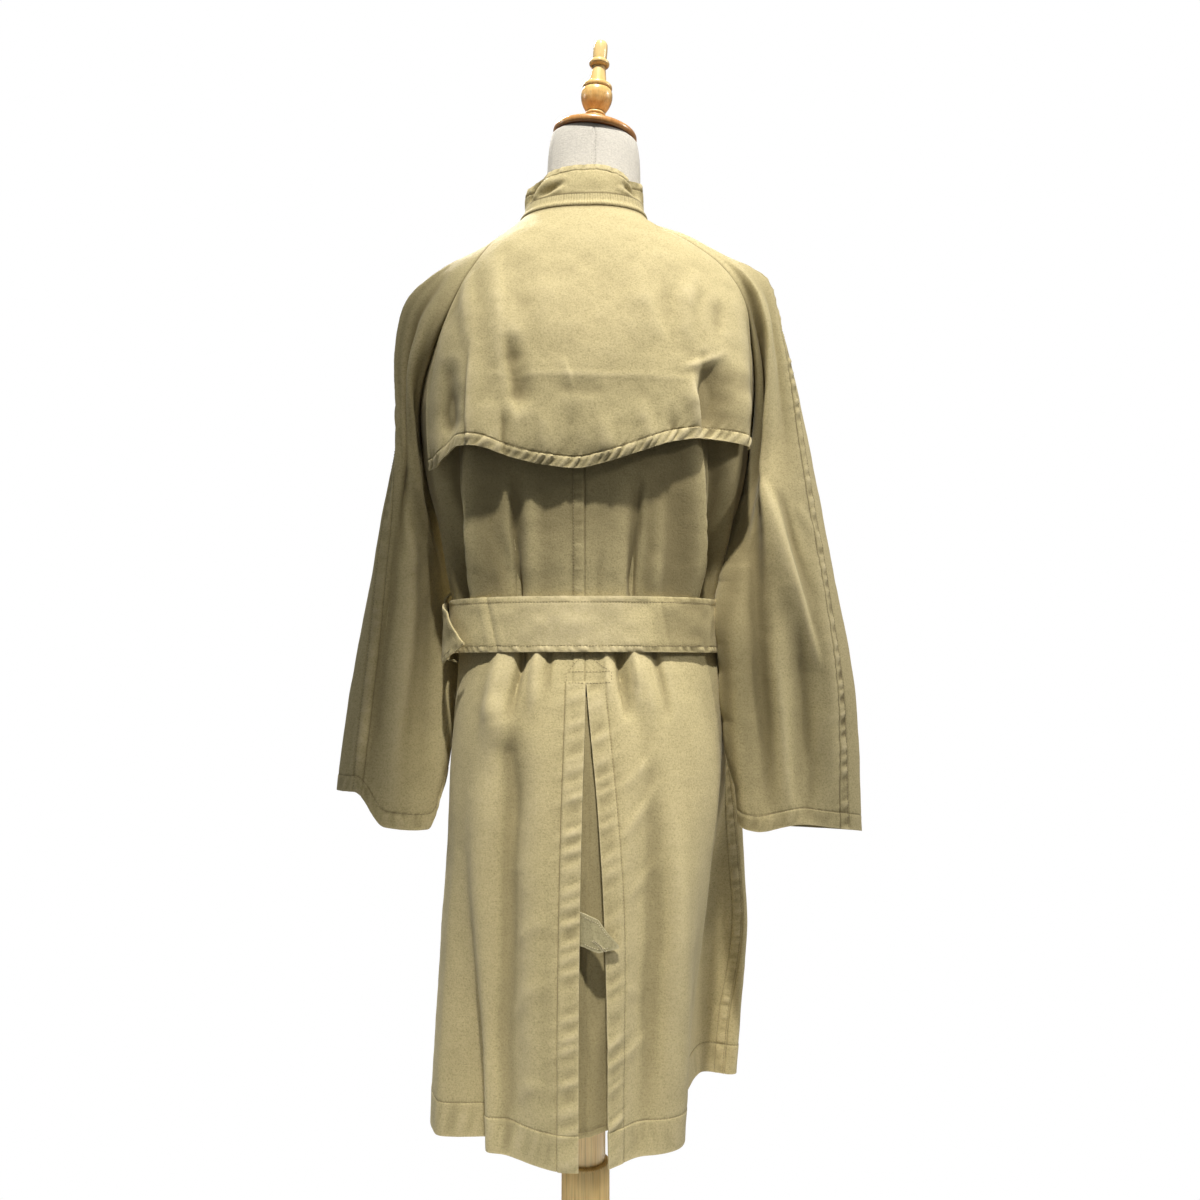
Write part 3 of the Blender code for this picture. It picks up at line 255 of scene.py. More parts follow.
# Dress form sections: height, half width, depth to the back and front.
FORM_COLS = ("z", "half", "back", "front")
FORM = [
    (0.6900, 0.106, 0.072, 0.076),
    (0.6930, 0.119, 0.084, 0.088),
    (0.7040, 0.126, 0.092, 0.096),
    (0.7600, 0.131, 0.099, 0.101),
    (0.8200, 0.131, 0.098, 0.099),
    (0.8800, 0.124, 0.087, 0.088),
    (0.9440, 0.113, 0.075, 0.077),
    (1.0000, 0.116, 0.078, 0.084),
    (1.0600, 0.127, 0.086, 0.094),
    (1.1200, 0.139, 0.094, 0.100),
    (1.1800, 0.149, 0.098, 0.101),
    (1.2400, 0.156, 0.098, 0.095),
    (1.2900, 0.158, 0.094, 0.084),
    (1.3200, 0.152, 0.087, 0.073),
    (1.3450, 0.134, 0.078, 0.064),
    (1.3660, 0.104, 0.066, 0.057),
    (1.3900, 0.074, 0.056, 0.052),
    (1.4120, 0.0605, 0.0500, 0.0510),
    (1.4500, 0.0568, 0.0475, 0.0500),
    (1.4900, 0.0558, 0.0465, 0.0495),
    (1.5280, 0.0515, 0.0455, 0.0480),
    (1.5300, 0.0495, 0.0440, 0.0465),
]
FORM_LEAN = -0.0205       # sideways drift of the form per metre of height
LEAN_FROM = 1.05
CAP_TILT_X = 0.110        # slope of the cap, higher towards the wearer's left
CAP_TILT_Y = -0.060       # and lower towards the back
FINIAL_TILT_X = 0.079     # the finial leans less than the cap


# ------------------------------------------------------------------ helpers
def column(table, cols, name):
    k = cols.index(name)
    return np.array([row[k] for row in table], float)


def smooth_curve(xs, ys, x):
    """Monotone cubic through the rows of a table, held flat past its ends."""
    xs = np.asarray(xs, float)
    ys = np.asarray(ys, float)
    x = np.clip(np.asarray(x, float), xs[0], xs[-1])
    h = np.diff(xs)
    d = np.diff(ys) / h
    m = np.zeros_like(ys)
    for i in range(1, len(xs) - 1):
        if d[i - 1] * d[i] > 0:
            w1 = 2 * h[i] + h[i - 1]
            w2 = h[i] + 2 * h[i - 1]
            m[i] = (w1 + w2) / (w1 / d[i - 1] + w2 / d[i])
    m[0] = d[0]
    m[-1] = d[-1]
    k = np.clip(np.searchsorted(xs, x) - 1, 0, len(xs) - 2)
    t = (x - xs[k]) / h[k]
    t2 = t * t
    t3 = t2 * t
    return ((2 * t3 - 3 * t2 + 1) * ys[k] + (t3 - 2 * t2 + t) * h[k] * m[k]
            + (-2 * t3 + 3 * t2) * ys[k + 1] + (t3 - t2) * h[k] * m[k + 1])


def look(table, cols, name, x):
    return smooth_curve([r[0] for r in table], column(table, cols, name), x)


def smoothstep(t):
    t = np.clip(t, 0.0, 1.0)
    return t * t * (3 - 2 * t)


def wrap(a):
    return (np.asarray(a, float) + 180.0) % 360.0 - 180.0


def body_fold(ang, z):
    """How far the folds move the tube out, and how far round it in degrees."""
    out = 0.0
    turn = 0.0
    for a0, a1, w0, w1, depth, swing, z0, z1, zf, zg in FOLDS:
        t = np.clip((z - z0) / (z1 - z0), 0.0, 1.0)
        env = smoothstep(t) * (1 - smoothstep((z - zf) / (zg - zf)))
        mid = a0 + (a1 - a0) * t
        wid = w0 + (w1 - w0) * t
        x = np.clip(wrap(ang - mid) / wid, -1.0, 1.0)
        bump = env * np.cos(x * math.pi / 2) ** 2
        out = out + depth * bump
        turn = turn + swing * bump
    return out, turn


def body_radius(ang, z):
    """Radius of the tube without its folds."""
    s = np.sin(np.radians(ang))
    c = np.cos(np.radians(ang))
    left = look(BODY, BODY_COLS, "left", z)
    right = look(BODY, BODY_COLS, "right", z)
    back = look(BODY, BODY_COLS, "back", z)
    front = look(BODY, BODY_COLS, "front", z)
    a = np.where(s >= 0, left, right)
    b = np.where(c >= 0, back, front)
    return (np.abs(s / a) ** SQUARE + np.abs(c / b) ** SQUARE) ** (-1.0 / SQUARE)


def body_point(ang, z, off=0.0, folds=True):
    """A point of the body tube, moved out along its normal by off."""
    def at(a, h):
        a = wrap(a)
        h = np.asarray(h, float)
        r = body_radius(a, h)
        if folds:
            out, turn = body_fold(a, h)
            r = r + out
            a = a + turn
        ar = np.radians(a)
        return np.stack([r * np.sin(ar), r * np.cos(ar), h + 0 * r], -1)
    ang = np.asarray(ang, float)
    z = np.asarray(z, float)
    p = at(ang, z)
    da = at(ang + 0.4, z) - at(ang - 0.4, z)
    dz = at(ang, z + 0.001) - at(ang, z - 0.001)
    n = np.cross(dz, da)
    n = n / np.linalg.norm(n, axis=-1, keepdims=True)
    return p + n * np.asarray(off, float)[..., None] if np.ndim(off) else p + n * off


def neck_height(ang):
    ang = np.asarray(ang, float)
    full = np.abs(wrap(ang))
    side = np.where(wrap(ang) >= 0,
                    look(NECK, NECK_COLS, "left", full),
                    look(NECK, NECK_COLS, "right", full))
    return side


def row_height(zr, top):
    """Height of a sampling row whose column ends at the height top."""
    zr = np.asarray(zr, float)
    k = (np.asarray(top, float) - UNDERARM_Z) / (NECK_Z - UNDERARM_Z)
    return np.where(zr <= UNDERARM_Z, zr, UNDERARM_Z + (zr - UNDERARM_Z) * k)


def seam_angle(side, which, zr):
    """Angle of the raglan seam (or the side seam below) at a sampling row."""
    zr = np.asarray(zr, float)
    up = look(RAGLAN, RAGLAN_COLS, side + "_" + which, zr)
    down = look(SIDE, SIDE_COLS, side, zr)
    return np.where(zr >= UNDERARM_Z, up, down)


def gap_angle(ang, z):
    """Degrees of half a seam's clearance, measured along the folded cloth."""
    d = body_point(ang + 0.25, z) - body_point(ang - 0.25, z)
    run = float(np.linalg.norm(d)) / 0.5
    return min(max(GAP * 0.62 / run, 0.067), 0.9)



def front_edge(zr):
    """Degrees past the centre front of the overlapping edge."""
    return math.degrees(OVERLAP / float(look(BODY, BODY_COLS, "front", min(zr, 1.371))))



def flap_offset(ang, z, edge):
    """How far the flap stands off the back panel."""
    drop = np.clip((1.36 - z) / (1.36 - edge), 0, 1)
    mid = 0.0032 + 0.0060 * drop ** 1.5
    wave = (0.0050 * np.cos(np.radians((ang - 49) * 9)) * np.exp(-((ang - 49) / 13.0) ** 2)
            + 0.0030 * np.exp(-((ang + 58) / 12.0) ** 2)
            - 0.0015 * np.exp(-((ang + 44) / 8.0) ** 2))
    return np.maximum(mid + wave * drop ** 2, 0.0031)



UNDER_ROW = 7

def collar_lean(ang):
    lo = COLLAR_LEAN[0]
    hi = COLLAR_LEAN[1] if math.sin(math.radians(ang)) >= 0 else COLLAR_LEAN[2]
    return math.radians(lo + (hi - lo) * math.sin(math.radians(ang)) ** 2)


def collar_height(ang):
    return COLLAR_H - COLLAR_DROP * float(smoothstep((ang - 35.0) / 40.0))



BELT_IN = 0.0066          # mid surface of the belt's first turn off the body
BELT_STEP = 0.0048        # extra for the second turn at the wearer's left



def lean(z):
    return FORM_LEAN * max(z - LEAN_FROM, 0.0)



def cap_frame(height, tilt=None):
    """Axis of the cap: the normal of the tilted top of the neck."""
    n = Vector((-CAP_TILT_X, -CAP_TILT_Y, 1)).normalized()
    top = FORM[-1][0]
    p = Vector((lean(top), 0, top)) + n * height
    if tilt is not None:
        n = Vector((-tilt, -CAP_TILT_Y, 1)).normalized()
        p = p + n * 0.0016 + Vector((0.0022, 0, 0))
    x = Vector((1, 0, tilt if tilt is not None else CAP_TILT_X)).normalized()
    y = n.cross(x).normalized()
    return Matrix(((x.x, y.x, n.x, p.x), (x.y, y.y, n.y, p.y), (x.z, y.z, n.z, p.z), (0, 0, 0, 1)))


CAP_TOP = 0.0225



# ================================================================ fine detail
ROOT = "root"


def lattice(i, j, k, seed):
    """Repeatable numbers from 0 to 1 on a lattice."""
    n = (i * 374761393 + j * 668265263 + k * 2147483647 + seed * 974634777) & 0xFFFFFFFF
    n = ((n ^ (n >> 13)) * 1274126177) & 0xFFFFFFFF
    n = (n ^ (n >> 16)) & 0xFFFFFF
    return n / float(0xFFFFFF)


def noise3(p, size, seed):
    """Smooth noise from -1 to 1 at the points p, with cells of this size."""
    q = np.asarray(p, float) / np.asarray(size, float)
    f = np.floor(q)
    t = q - f
    t = t * t * t * (t * (t * 6 - 15) + 10)
    i = f.astype(np.int64)
    out = 0.0
    for a in (0, 1):
        wa = t[..., 0] if a else 1 - t[..., 0]
        for b in (0, 1):
            wb = t[..., 1] if b else 1 - t[..., 1]
            for c in (0, 1):
                wc = t[..., 2] if c else 1 - t[..., 2]
                out = out + wa * wb * wc * lattice(i[..., 0] + a, i[..., 1] + b, i[..., 2] + c, seed)
    return out * 2 - 1


def noise1(x, size, seed):
    x = np.asarray(x, float)
    p = np.stack([x, 0 * x + 0.37 * size, 0 * x + 0.61 * size], -1)
    return noise3(p, size, seed)


def noise2(x, y, sx, sy, seed):
    x = np.asarray(x, float)
    y = np.asarray(y, float)
    x, y = np.broadcast_arrays(x, y)
    return noise3(np.stack([x / sx, y / sy, 0 * x + 0.5], -1), 1.0, seed)


def ridges(x, pitch, seed, jitter=0.35):
    """Uneven row of soft swellings along x, each with its own place, width
    and height: 0 in the pinches, 1 on the fullest."""
    x = np.asarray(x, float)
    cell = np.floor(x / pitch).astype(np.int64)
    out = 0.0 * x
    for k in (-1, 0, 1):
        i = cell + k
        at = (i + 0.5 + jitter * 1.5 * (lattice(i, i * 0 + 1, i * 0 + 2, seed) - 0.5)) * pitch
        wide = pitch * (0.24 + 0.24 * lattice(i, i * 0 + 3, i * 0 + 4, seed))
        high = 0.25 + 0.75 * lattice(i, i * 0 + 5, i * 0 + 6, seed)
        out = out + high * np.exp(-((x - at) / wide) ** 2)
    return np.minimum(out, 1.0)


def soften(p, weight, rounds):
    """Evens a grid of points out along its columns where weight is above 0."""
    for _ in range(rounds):
        q = p.copy()
        q[1:-1] = p[1:-1] + 0.5 * weight[1:-1, :, None] * ((p[:-2] + p[2:]) / 2 - p[1:-1])
        p = q
    return p


def relief(d, rounds=36):
    """How far each point of a grid of displacements stands out of its
    neighbourhood, from -1 in a sharp pinch to 1 on a sharp fold."""
    b = d.copy()
    for _ in range(rounds):
        q = np.pad(b, 1, mode="edge")
        b = (q[:-2, 1:-1] + q[2:, 1:-1] + q[1:-1, :-2] + q[1:-1, 2:] + 4 * b) / 8
    return np.clip((d - b) / 0.0015, -1, 1)


def gauss(x, w):
    return np.exp(-(np.asarray(x, float) / w) ** 2)


def two_sided(x, wl, wr):
    """Crease profile that is steeper on one side than on the other."""
    x = np.asarray(x, float)
    return np.exp(-np.where(x < 0, (x / wl) ** 2, (x / wr) ** 2))


def line_crease(x, y, rows, seed=0):
    """Sum of creases in a plane. Each row: start x, start y, end x, end y,
    bow to the side, half width before and after the line, height."""
    out = 0.0
    for k, (x0, y0, x1, y1, bow, wl, wr, high) in enumerate(rows):
        dx, dy = x1 - x0, y1 - y0
        run = math.hypot(dx, dy)
        tx, ty = dx / run, dy / run
        t = ((x - x0) * tx + (y - y0) * ty) / run
        d = -(x - x0) * ty + (y - y0) * tx
        tc = np.clip(t, 0, 1)
        d = d - bow * 4 * tc * (1 - tc) - 0.10 * run * 0.12 * noise1(t * 6.0 + k * 3.1, 1.0, seed + k)
        ends = np.sin(np.pi * np.clip((t + 0.12) / 1.24, 0, 1)) ** 1.2
        grow = 0.75 + 0.25 * noise1(t * 5.0 + k, 1.0, seed + 40 + k)
        out = out + high * ends * grow * two_sided(d, wl, wr)
    return out


# ------------------------------------------------------------------ materials
def nodes_of(name):
    m = bpy.data.materials.new(name)
    m.use_nodes = True
    nt = m.node_tree
    b = nt.nodes["Principled BSDF"]
    return m, nt, b


def add(nt, kind, **kw):
    n = nt.nodes.new(kind)
    for k, v in kw.items():
        if k.startswith("i_"):
            key = k[2:]
            key = int(key) if key.isdigit() else key
            n.inputs[key].default_value = v
        else:
            setattr(n, k, v)
    return n


def ramp(nt, src, stops):
    r = nt.nodes.new("ShaderNodeValToRGB")
    el = r.color_ramp.elements
    while len(el) < len(stops):
        el.new(0.5)
    for e, (p, c) in zip(el, stops):
        e.position = p
        e.color = (c, c, c, 1) if isinstance(c, float) else (c[0], c[1], c[2], 1)
    nt.links.new(src, r.inputs[0])
    return r.outputs[0]


def mixrgb(nt, kind, fac, a, b):
    n = nt.nodes.new("ShaderNodeMix")
    n.data_type = "RGBA"
    n.blend_type = kind
    for sock, v in ((n.inputs[0], fac), (n.inputs[6], a), (n.inputs[7], b)):
        if isinstance(v, (int, float)):
            sock.default_value = v
        elif isinstance(v, tuple):
            sock.default_value = (v[0], v[1], v[2], 1)
        else:
            nt.links.new(v, sock)
    return n.outputs[2]


def mathn(nt, op, a, b=0.0, c=None):
    n = nt.nodes.new("ShaderNodeMath")
    n.operation = op
    for sock, v in zip(n.inputs, (a, b) if c is None else (a, b, c)):
        if isinstance(v, (int, float)):
            sock.default_value = v
        else:
            nt.links.new(v, sock)
    return n.outputs[0]


TWILL_BASE = (0.452, 0.381, 0.194)


def twill_material(name, tint=1.0, warm=0.0, slub=1.0):
    """Washed cotton twill: fine diagonal ribs, speckled yarns, faded ridges and
    darker pinches, with painted shade and painted light from the mesh's values."""
    m, nt, b = nodes_of(name)
    uv = add(nt, "ShaderNodeUVMap", uv_map="cloth")
    tc = add(nt, "ShaderNodeTexCoord")
    sep = add(nt, "ShaderNodeSeparateXYZ")
    nt.links.new(uv.outputs[0], sep.inputs[0])
    # twill ribs run at about 60 degrees to the weft, 0.9 mm apart
    diag = mathn(nt, "MULTIPLY_ADD", sep.outputs[0], 1.0, 0.0)
    diag = mathn(nt, "ADD", mathn(nt, "MULTIPLY", sep.outputs[0], 0.86),
                 mathn(nt, "MULTIPLY", sep.outputs[1], 0.5))
    rib = mathn(nt, "SINE", mathn(nt, "MULTIPLY", diag, 2 * math.pi / 0.00095))
    # weft yarns break the ribs up
    weft = mathn(nt, "SINE", mathn(nt, "MULTIPLY", sep.outputs[1], 2 * math.pi / 0.00062))
    ribs = mathn(nt, "ADD", mathn(nt, "MULTIPLY", rib, 0.7), mathn(nt, "MULTIPLY", weft, 0.3))
    yarn = add(nt, "ShaderNodeTexNoise", i_Scale=620.0, i_Detail=3.0, i_Roughness=0.62)
    nt.links.new(tc.outputs["Object"], yarn.inputs["Vector"])
    speck = add(nt, "ShaderNodeTexNoise", i_Scale=430.0, i_Detail=2.0, i_Roughness=0.6)
    nt.links.new(tc.outputs["Object"], speck.inputs["Vector"])
    cloud = add(nt, "ShaderNodeTexNoise", i_Scale=16.0, i_Detail=4.0, i_Roughness=0.6)
    nt.links.new(tc.outputs["Object"], cloud.inputs["Vector"])
    broad = add(nt, "ShaderNodeTexNoise", i_Scale=4.5, i_Detail=2.0, i_Roughness=0.5)
    nt.links.new(tc.outputs["Object"], broad.inputs["Vector"])
    # slubs drawn along the weft
    mp = add(nt, "ShaderNodeMapping")
    mp.inputs["Scale"].default_value = (60.0, 1500.0, 1.0)
    nt.links.new(uv.outputs[0], mp.inputs["Vector"])
    slubn = add(nt, "ShaderNodeTexNoise", i_Scale=1.0, i_Detail=2.0, i_Roughness=0.5)
    nt.links.new(mp.outputs[0], slubn.inputs["Vector"])
    wear_and_painted_light = add(nt, "ShaderNodeAttribute", attribute_name="wear_and_painted_light")
    base = tuple(c * tint for c in TWILL_BASE)
    base = (base[0] * (1 + 0.03 * warm), base[1], base[2] * (1 - 0.04 * warm))
    dark = tuple(c * k for c, k in zip(base, (0.78, 0.775, 0.745)))
    pale = tuple(min(1.0, c * k) for c, k in zip(base, (1.30, 1.31, 1.38)))
    col = mixrgb(nt, "MIX", ramp(nt, yarn.outputs[0], [(0.30, 0.0), (0.70, 1.0)]), dark, pale)
    col = mixrgb(nt, "MIX", ramp(nt, speck.outputs[0], [(0.42, 0.0), (0.62, 0.80)]), col,
                 tuple(min(1.0, c * k) for c, k in zip(base, (1.20, 1.20, 1.28))))
    col = mixrgb(nt, "MULTIPLY", 1.0, col, ramp(nt, cloud.outputs[0], [(0.30, 0.975), (0.70, 1.02)]))
    col = mixrgb(nt, "MULTIPLY", 1.0, col, ramp(nt, broad.outputs[0], [(0.34, (0.975, 0.98, 0.97)), (0.66, (1.015, 1.012, 1.015))]))
    col = mixrgb(nt, "MULTIPLY", 1.0, col, ramp(nt, slubn.outputs[0], [(0.40, 0.96), (0.62, 1.035)]))
    ribc = mathn(nt, "MULTIPLY_ADD", ribs, 0.045, 1.0)
    comb = add(nt, "ShaderNodeCombineColor")
    for k in range(3):
        nt.links.new(ribc, comb.inputs[k])
    col = mixrgb(nt, "MULTIPLY", 1.0, col, comb.outputs[0])
    # faded tops and darker pinches of the washed cloth; the same values also carry painted shade (darker) and painted
    # light (paler)
    up = mathn(nt, "MAXIMUM", mathn(nt, "SUBTRACT", wear_and_painted_light.outputs["Fac"], 0.5), 0.0)
    dn = mathn(nt, "MAXIMUM", mathn(nt, "SUBTRACT", 0.5, wear_and_painted_light.outputs["Fac"]), 0.0)
    worn = add(nt, "ShaderNodeTexNoise", i_Scale=170.0, i_Detail=3.0, i_Roughness=0.7)
    nt.links.new(tc.outputs["Object"], worn.inputs["Vector"])
    fray = mathn(nt, "MULTIPLY", mathn(nt, "MULTIPLY", up, 1.55),
                 ramp(nt, worn.outputs[0], [(0.34, 0.35), (0.66, 1.0)]))
    col = mixrgb(nt, "MIX", fray, col, tuple(min(1.0, c * k) for c, k in zip(base, (1.42, 1.44, 1.72))))
    col = mixrgb(nt, "MIX", mathn(nt, "MULTIPLY", dn, 1.5), col, tuple(c * k for c, k in zip(base, (0.34, 0.31, 0.25))))
    nt.links.new(col, b.inputs["Base Color"])
    rough = mathn(nt, "MULTIPLY_ADD", cloud.outputs[0], 0.16, 0.72)
    nt.links.new(rough, b.inputs["Roughness"])
    b.inputs["Specular IOR Level"].default_value = 0.28
    b.inputs["Sheen Weight"].default_value = 0.16
    b.inputs["Sheen Roughness"].default_value = 0.55
    b.inputs["Sheen Tint"].default_value = (0.95, 0.90, 0.74, 1)
    # bump: ribs, yarn speckle and a soft crumple
    crum = add(nt, "ShaderNodeTexNoise", i_Scale=95.0, i_Detail=3.0, i_Roughness=0.6)
    nt.links.new(tc.outputs["Object"], crum.inputs["Vector"])
    high = mathn(nt, "ADD", mathn(nt, "MULTIPLY", ribs, 0.05),
                 mathn(nt, "ADD", mathn(nt, "MULTIPLY", yarn.outputs[0], 0.35 * slub),
                       mathn(nt, "ADD", mathn(nt, "MULTIPLY", speck.outputs[0], 0.55 * slub),
                             mathn(nt, "MULTIPLY", crum.outputs[0], 0.55))))
    bump = add(nt, "ShaderNodeBump", i_Strength=0.55, i_Distance=0.0009)
    nt.links.new(high, bump.inputs["Height"])
    nt.links.new(bump.outputs[0], b.inputs["Normal"])
    return m


def thread_material(name, rgb):
    m, nt, b = nodes_of(name)
    tc = add(nt, "ShaderNodeTexCoord")
    n = add(nt, "ShaderNodeTexNoise", i_Scale=900.0, i_Detail=2.0)
    nt.links.new(tc.outputs["Object"], n.inputs["Vector"])
    col = mixrgb(nt, "MULTIPLY", 1.0, rgb, ramp(nt, n.outputs[0], [(0.3, 0.78), (0.7, 1.12)]))
    nt.links.new(col, b.inputs["Base Color"])
    b.inputs["Roughness"].default_value = 0.6
    b.inputs["Sheen Weight"].default_value = 0.2
    return m


def linen_material(name):
    """Off-white slubby linen: plain weave with thick and thin yarns."""
    m, nt, b = nodes_of(name)
    tc = add(nt, "ShaderNodeTexCoord")
    uv = add(nt, "ShaderNodeUVMap", uv_map="cloth")

    def yarns(sx, sy):
        mp = add(nt, "ShaderNodeMapping")
        mp.inputs["Scale"].default_value = (sx, sy, 1.0)
        nt.links.new(uv.outputs[0], mp.inputs["Vector"])
        n = add(nt, "ShaderNodeTexNoise", i_Scale=1.0, i_Detail=3.0, i_Roughness=0.6)
        nt.links.new(mp.outputs[0], n.inputs["Vector"])
        return n.outputs[0]
    a = yarns(45.0, 900.0)
    c = yarns(900.0, 45.0)
    fine = add(nt, "ShaderNodeTexNoise", i_Scale=420.0, i_Detail=3.0)
    nt.links.new(tc.outputs["Object"], fine.inputs["Vector"])
    cloud = add(nt, "ShaderNodeTexNoise", i_Scale=22.0, i_Detail=3.0)
    nt.links.new(tc.outputs["Object"], cloud.inputs["Vector"])
    both = mathn(nt, "ADD", a, c)
    col = mixrgb(nt, "MIX", ramp(nt, both, [(0.40, 0.0), (0.62, 1.0)]),
                 (0.47, 0.44, 0.385), (0.70, 0.665, 0.600))
    col = mixrgb(nt, "MULTIPLY", 1.0, col, ramp(nt, fine.outputs[0], [(0.32, 0.90), (0.68, 1.06)]))
    col = mixrgb(nt, "MULTIPLY", 1.0, col, ramp(nt, cloud.outputs[0], [(0.3, 0.95), (0.7, 1.03)]))
    nt.links.new(col, b.inputs["Base Color"])
    b.inputs["Roughness"].default_value = 0.85
    b.inputs["Specular IOR Level"].default_value = 0.25
    b.inputs["Sheen Weight"].default_value = 0.12
    high = mathn(nt, "ADD", both, mathn(nt, "MULTIPLY", fine.outputs[0], 0.6))
    bump = add(nt, "ShaderNodeBump", i_Strength=0.6, i_Distance=0.0008)
    nt.links.new(high, bump.inputs["Height"])
    nt.links.new(bump.outputs[0], b.inputs["Normal"])
    return m


def wood_material(name, light, dark, grain=1.0, rough=0.32, coat=0.5, stretch=0.12, pores=0.5, flat=False):
    """Turned wood: growth rings drawn out along the axis, pores and polish."""
    m, nt, b = nodes_of(name)
    tc = add(nt, "ShaderNodeTexCoord")
    mp = add(nt, "ShaderNodeMapping")
    mp.inputs["Scale"].default_value = (stretch, 1.0, 1.0) if flat else (1.0, 1.0, stretch)
    mp.inputs["Rotation"].default_value = (0.05, 0.09, 0.0)
    nt.links.new(tc.outputs["Object"], mp.inputs["Vector"])
    warp = add(nt, "ShaderNodeTexNoise", i_Scale=26.0, i_Detail=2.0)
    nt.links.new(mp.outputs[0], warp.inputs["Vector"])
    ring = add(nt, "ShaderNodeTexNoise", i_Scale=150.0 * grain, i_Detail=4.0, i_Roughness=0.55, i_Distortion=0.6)
    nt.links.new(mp.outputs[0], ring.inputs["Vector"])
    mp2 = add(nt, "ShaderNodeMapping")
    mp2.inputs["Scale"].default_value = (stretch * 0.35, 1.0, 1.0) if flat else (1.0, 1.0, stretch * 0.35)
    nt.links.new(tc.outputs["Object"], mp2.inputs["Vector"])
    pore = add(nt, "ShaderNodeTexNoise", i_Scale=900.0, i_Detail=2.0)
    nt.links.new(mp2.outputs[0], pore.inputs["Vector"])
    wear_and_painted_light = add(nt, "ShaderNodeAttribute", attribute_name="wear_and_painted_light")
    f = mathn(nt, "ADD", mathn(nt, "MULTIPLY", ring.outputs[0], 0.7), mathn(nt, "MULTIPLY", warp.outputs[0], 0.3))
    col = mixrgb(nt, "MIX", ramp(nt, f, [(0.36, 0.0), (0.60, 1.0)]), dark, light)
    col = mixrgb(nt, "MULTIPLY", 1.0, col, ramp(nt, pore.outputs[0], [(0.30, 1.0 - 0.30 * pores), (0.50, 1.0)]))
    # varnish gathers darker in the turned grooves
    dn = mathn(nt, "MAXIMUM", mathn(nt, "SUBTRACT", 0.5, wear_and_painted_light.outputs["Fac"]), 0.0)
    col = mixrgb(nt, "MIX", mathn(nt, "MULTIPLY", dn, 1.7), col, tuple(c * k for c, k in zip(dark, (0.42, 0.32, 0.25))))
    # paler where the mesh's values are above 0.5: a painted highlight on the finial's upper part, and a band on its
    # lower bead
    up = mathn(nt, "MAXIMUM", mathn(nt, "SUBTRACT", wear_and_painted_light.outputs["Fac"], 0.5), 0.0)
    col = mixrgb(nt, "MIX", mathn(nt, "MULTIPLY", up, 1.6), col, (0.92, 0.74, 0.36))
    nt.links.new(col, b.inputs["Base Color"])
    r = mathn(nt, "MULTIPLY_ADD", ring.outputs[0], 0.18, rough - 0.06)
    nt.links.new(r, b.inputs["Roughness"])
    b.inputs["Coat Weight"].default_value = coat
    b.inputs["Coat Roughness"].default_value = 0.14
    bump = add(nt, "ShaderNodeBump", i_Strength=0.25, i_Distance=0.0005)
    nt.links.new(mathn(nt, "ADD", pore.outputs[0], ring.outputs[0]), bump.inputs["Height"])
    nt.links.new(bump.outputs[0], b.inputs["Normal"])
    return m


def horn_material(name):
    m, nt, b = nodes_of(name)
    tc = add(nt, "ShaderNodeTexCoord")
    n = add(nt, "ShaderNodeTexNoise", i_Scale=90.0, i_Detail=4.0, i_Distortion=1.6)
    nt.links.new(tc.outputs["Object"], n.inputs["Vector"])
    col = mixrgb(nt, "MIX", ramp(nt, n.outputs[0], [(0.38, 0.0), (0.66, 1.0)]), (0.045, 0.026, 0.014), (0.22, 0.13, 0.06))
    nt.links.new(col, b.inputs["Base Color"])
    b.inputs["Roughness"].default_value = 0.24
    b.inputs["Coat Weight"].default_value = 0.3
    bump = add(nt, "ShaderNodeBump", i_Strength=0.15, i_Distance=0.0003)
    nt.links.new(n.outputs[0], bump.inputs["Height"])
    nt.links.new(bump.outputs[0], b.inputs["Normal"])
    return m


def leather_material(name):
    m, nt, b = nodes_of(name)
    tc = add(nt, "ShaderNodeTexCoord")
    v = add(nt, "ShaderNodeTexVoronoi", i_Scale=900.0)
    nt.links.new(tc.outputs["Object"], v.inputs["Vector"])
    n = add(nt, "ShaderNodeTexNoise", i_Scale=120.0, i_Detail=4.0)
    nt.links.new(tc.outputs["Object"], n.inputs["Vector"])
    wear_and_painted_light = add(nt, "ShaderNodeAttribute", attribute_name="wear_and_painted_light")
    col = mixrgb(nt, "MIX", ramp(nt, n.outputs[0], [(0.35, 0.0), (0.68, 1.0)]), (0.075, 0.040, 0.020), (0.17, 0.095, 0.05))
    up = mathn(nt, "MAXIMUM", mathn(nt, "SUBTRACT", wear_and_painted_light.outputs["Fac"], 0.5), 0.0)
    col = mixrgb(nt, "MIX", up, col, (0.34, 0.22, 0.12))
    nt.links.new(col, b.inputs["Base Color"])
    b.inputs["Roughness"].default_value = 0.42
    bump = add(nt, "ShaderNodeBump", i_Strength=0.4, i_Distance=0.0004)
    nt.links.new(mathn(nt, "ADD", v.outputs["Distance"], n.outputs[0]), bump.inputs["Height"])
    nt.links.new(bump.outputs[0], b.inputs["Normal"])
    return m


M_TWILL = twill_material("twill_cloth")
# the belt's copy of the twill is made lighter: painted light
M_BELT = twill_material("twill_belt", tint=1.10)
M_FLAP = twill_material("twill_flap", tint=0.98)
# the tab's copy of the twill is made darker and greener: painted shade
M_TAB = twill_material("twill_tab", tint=0.84, warm=-1.5, slub=0.5)
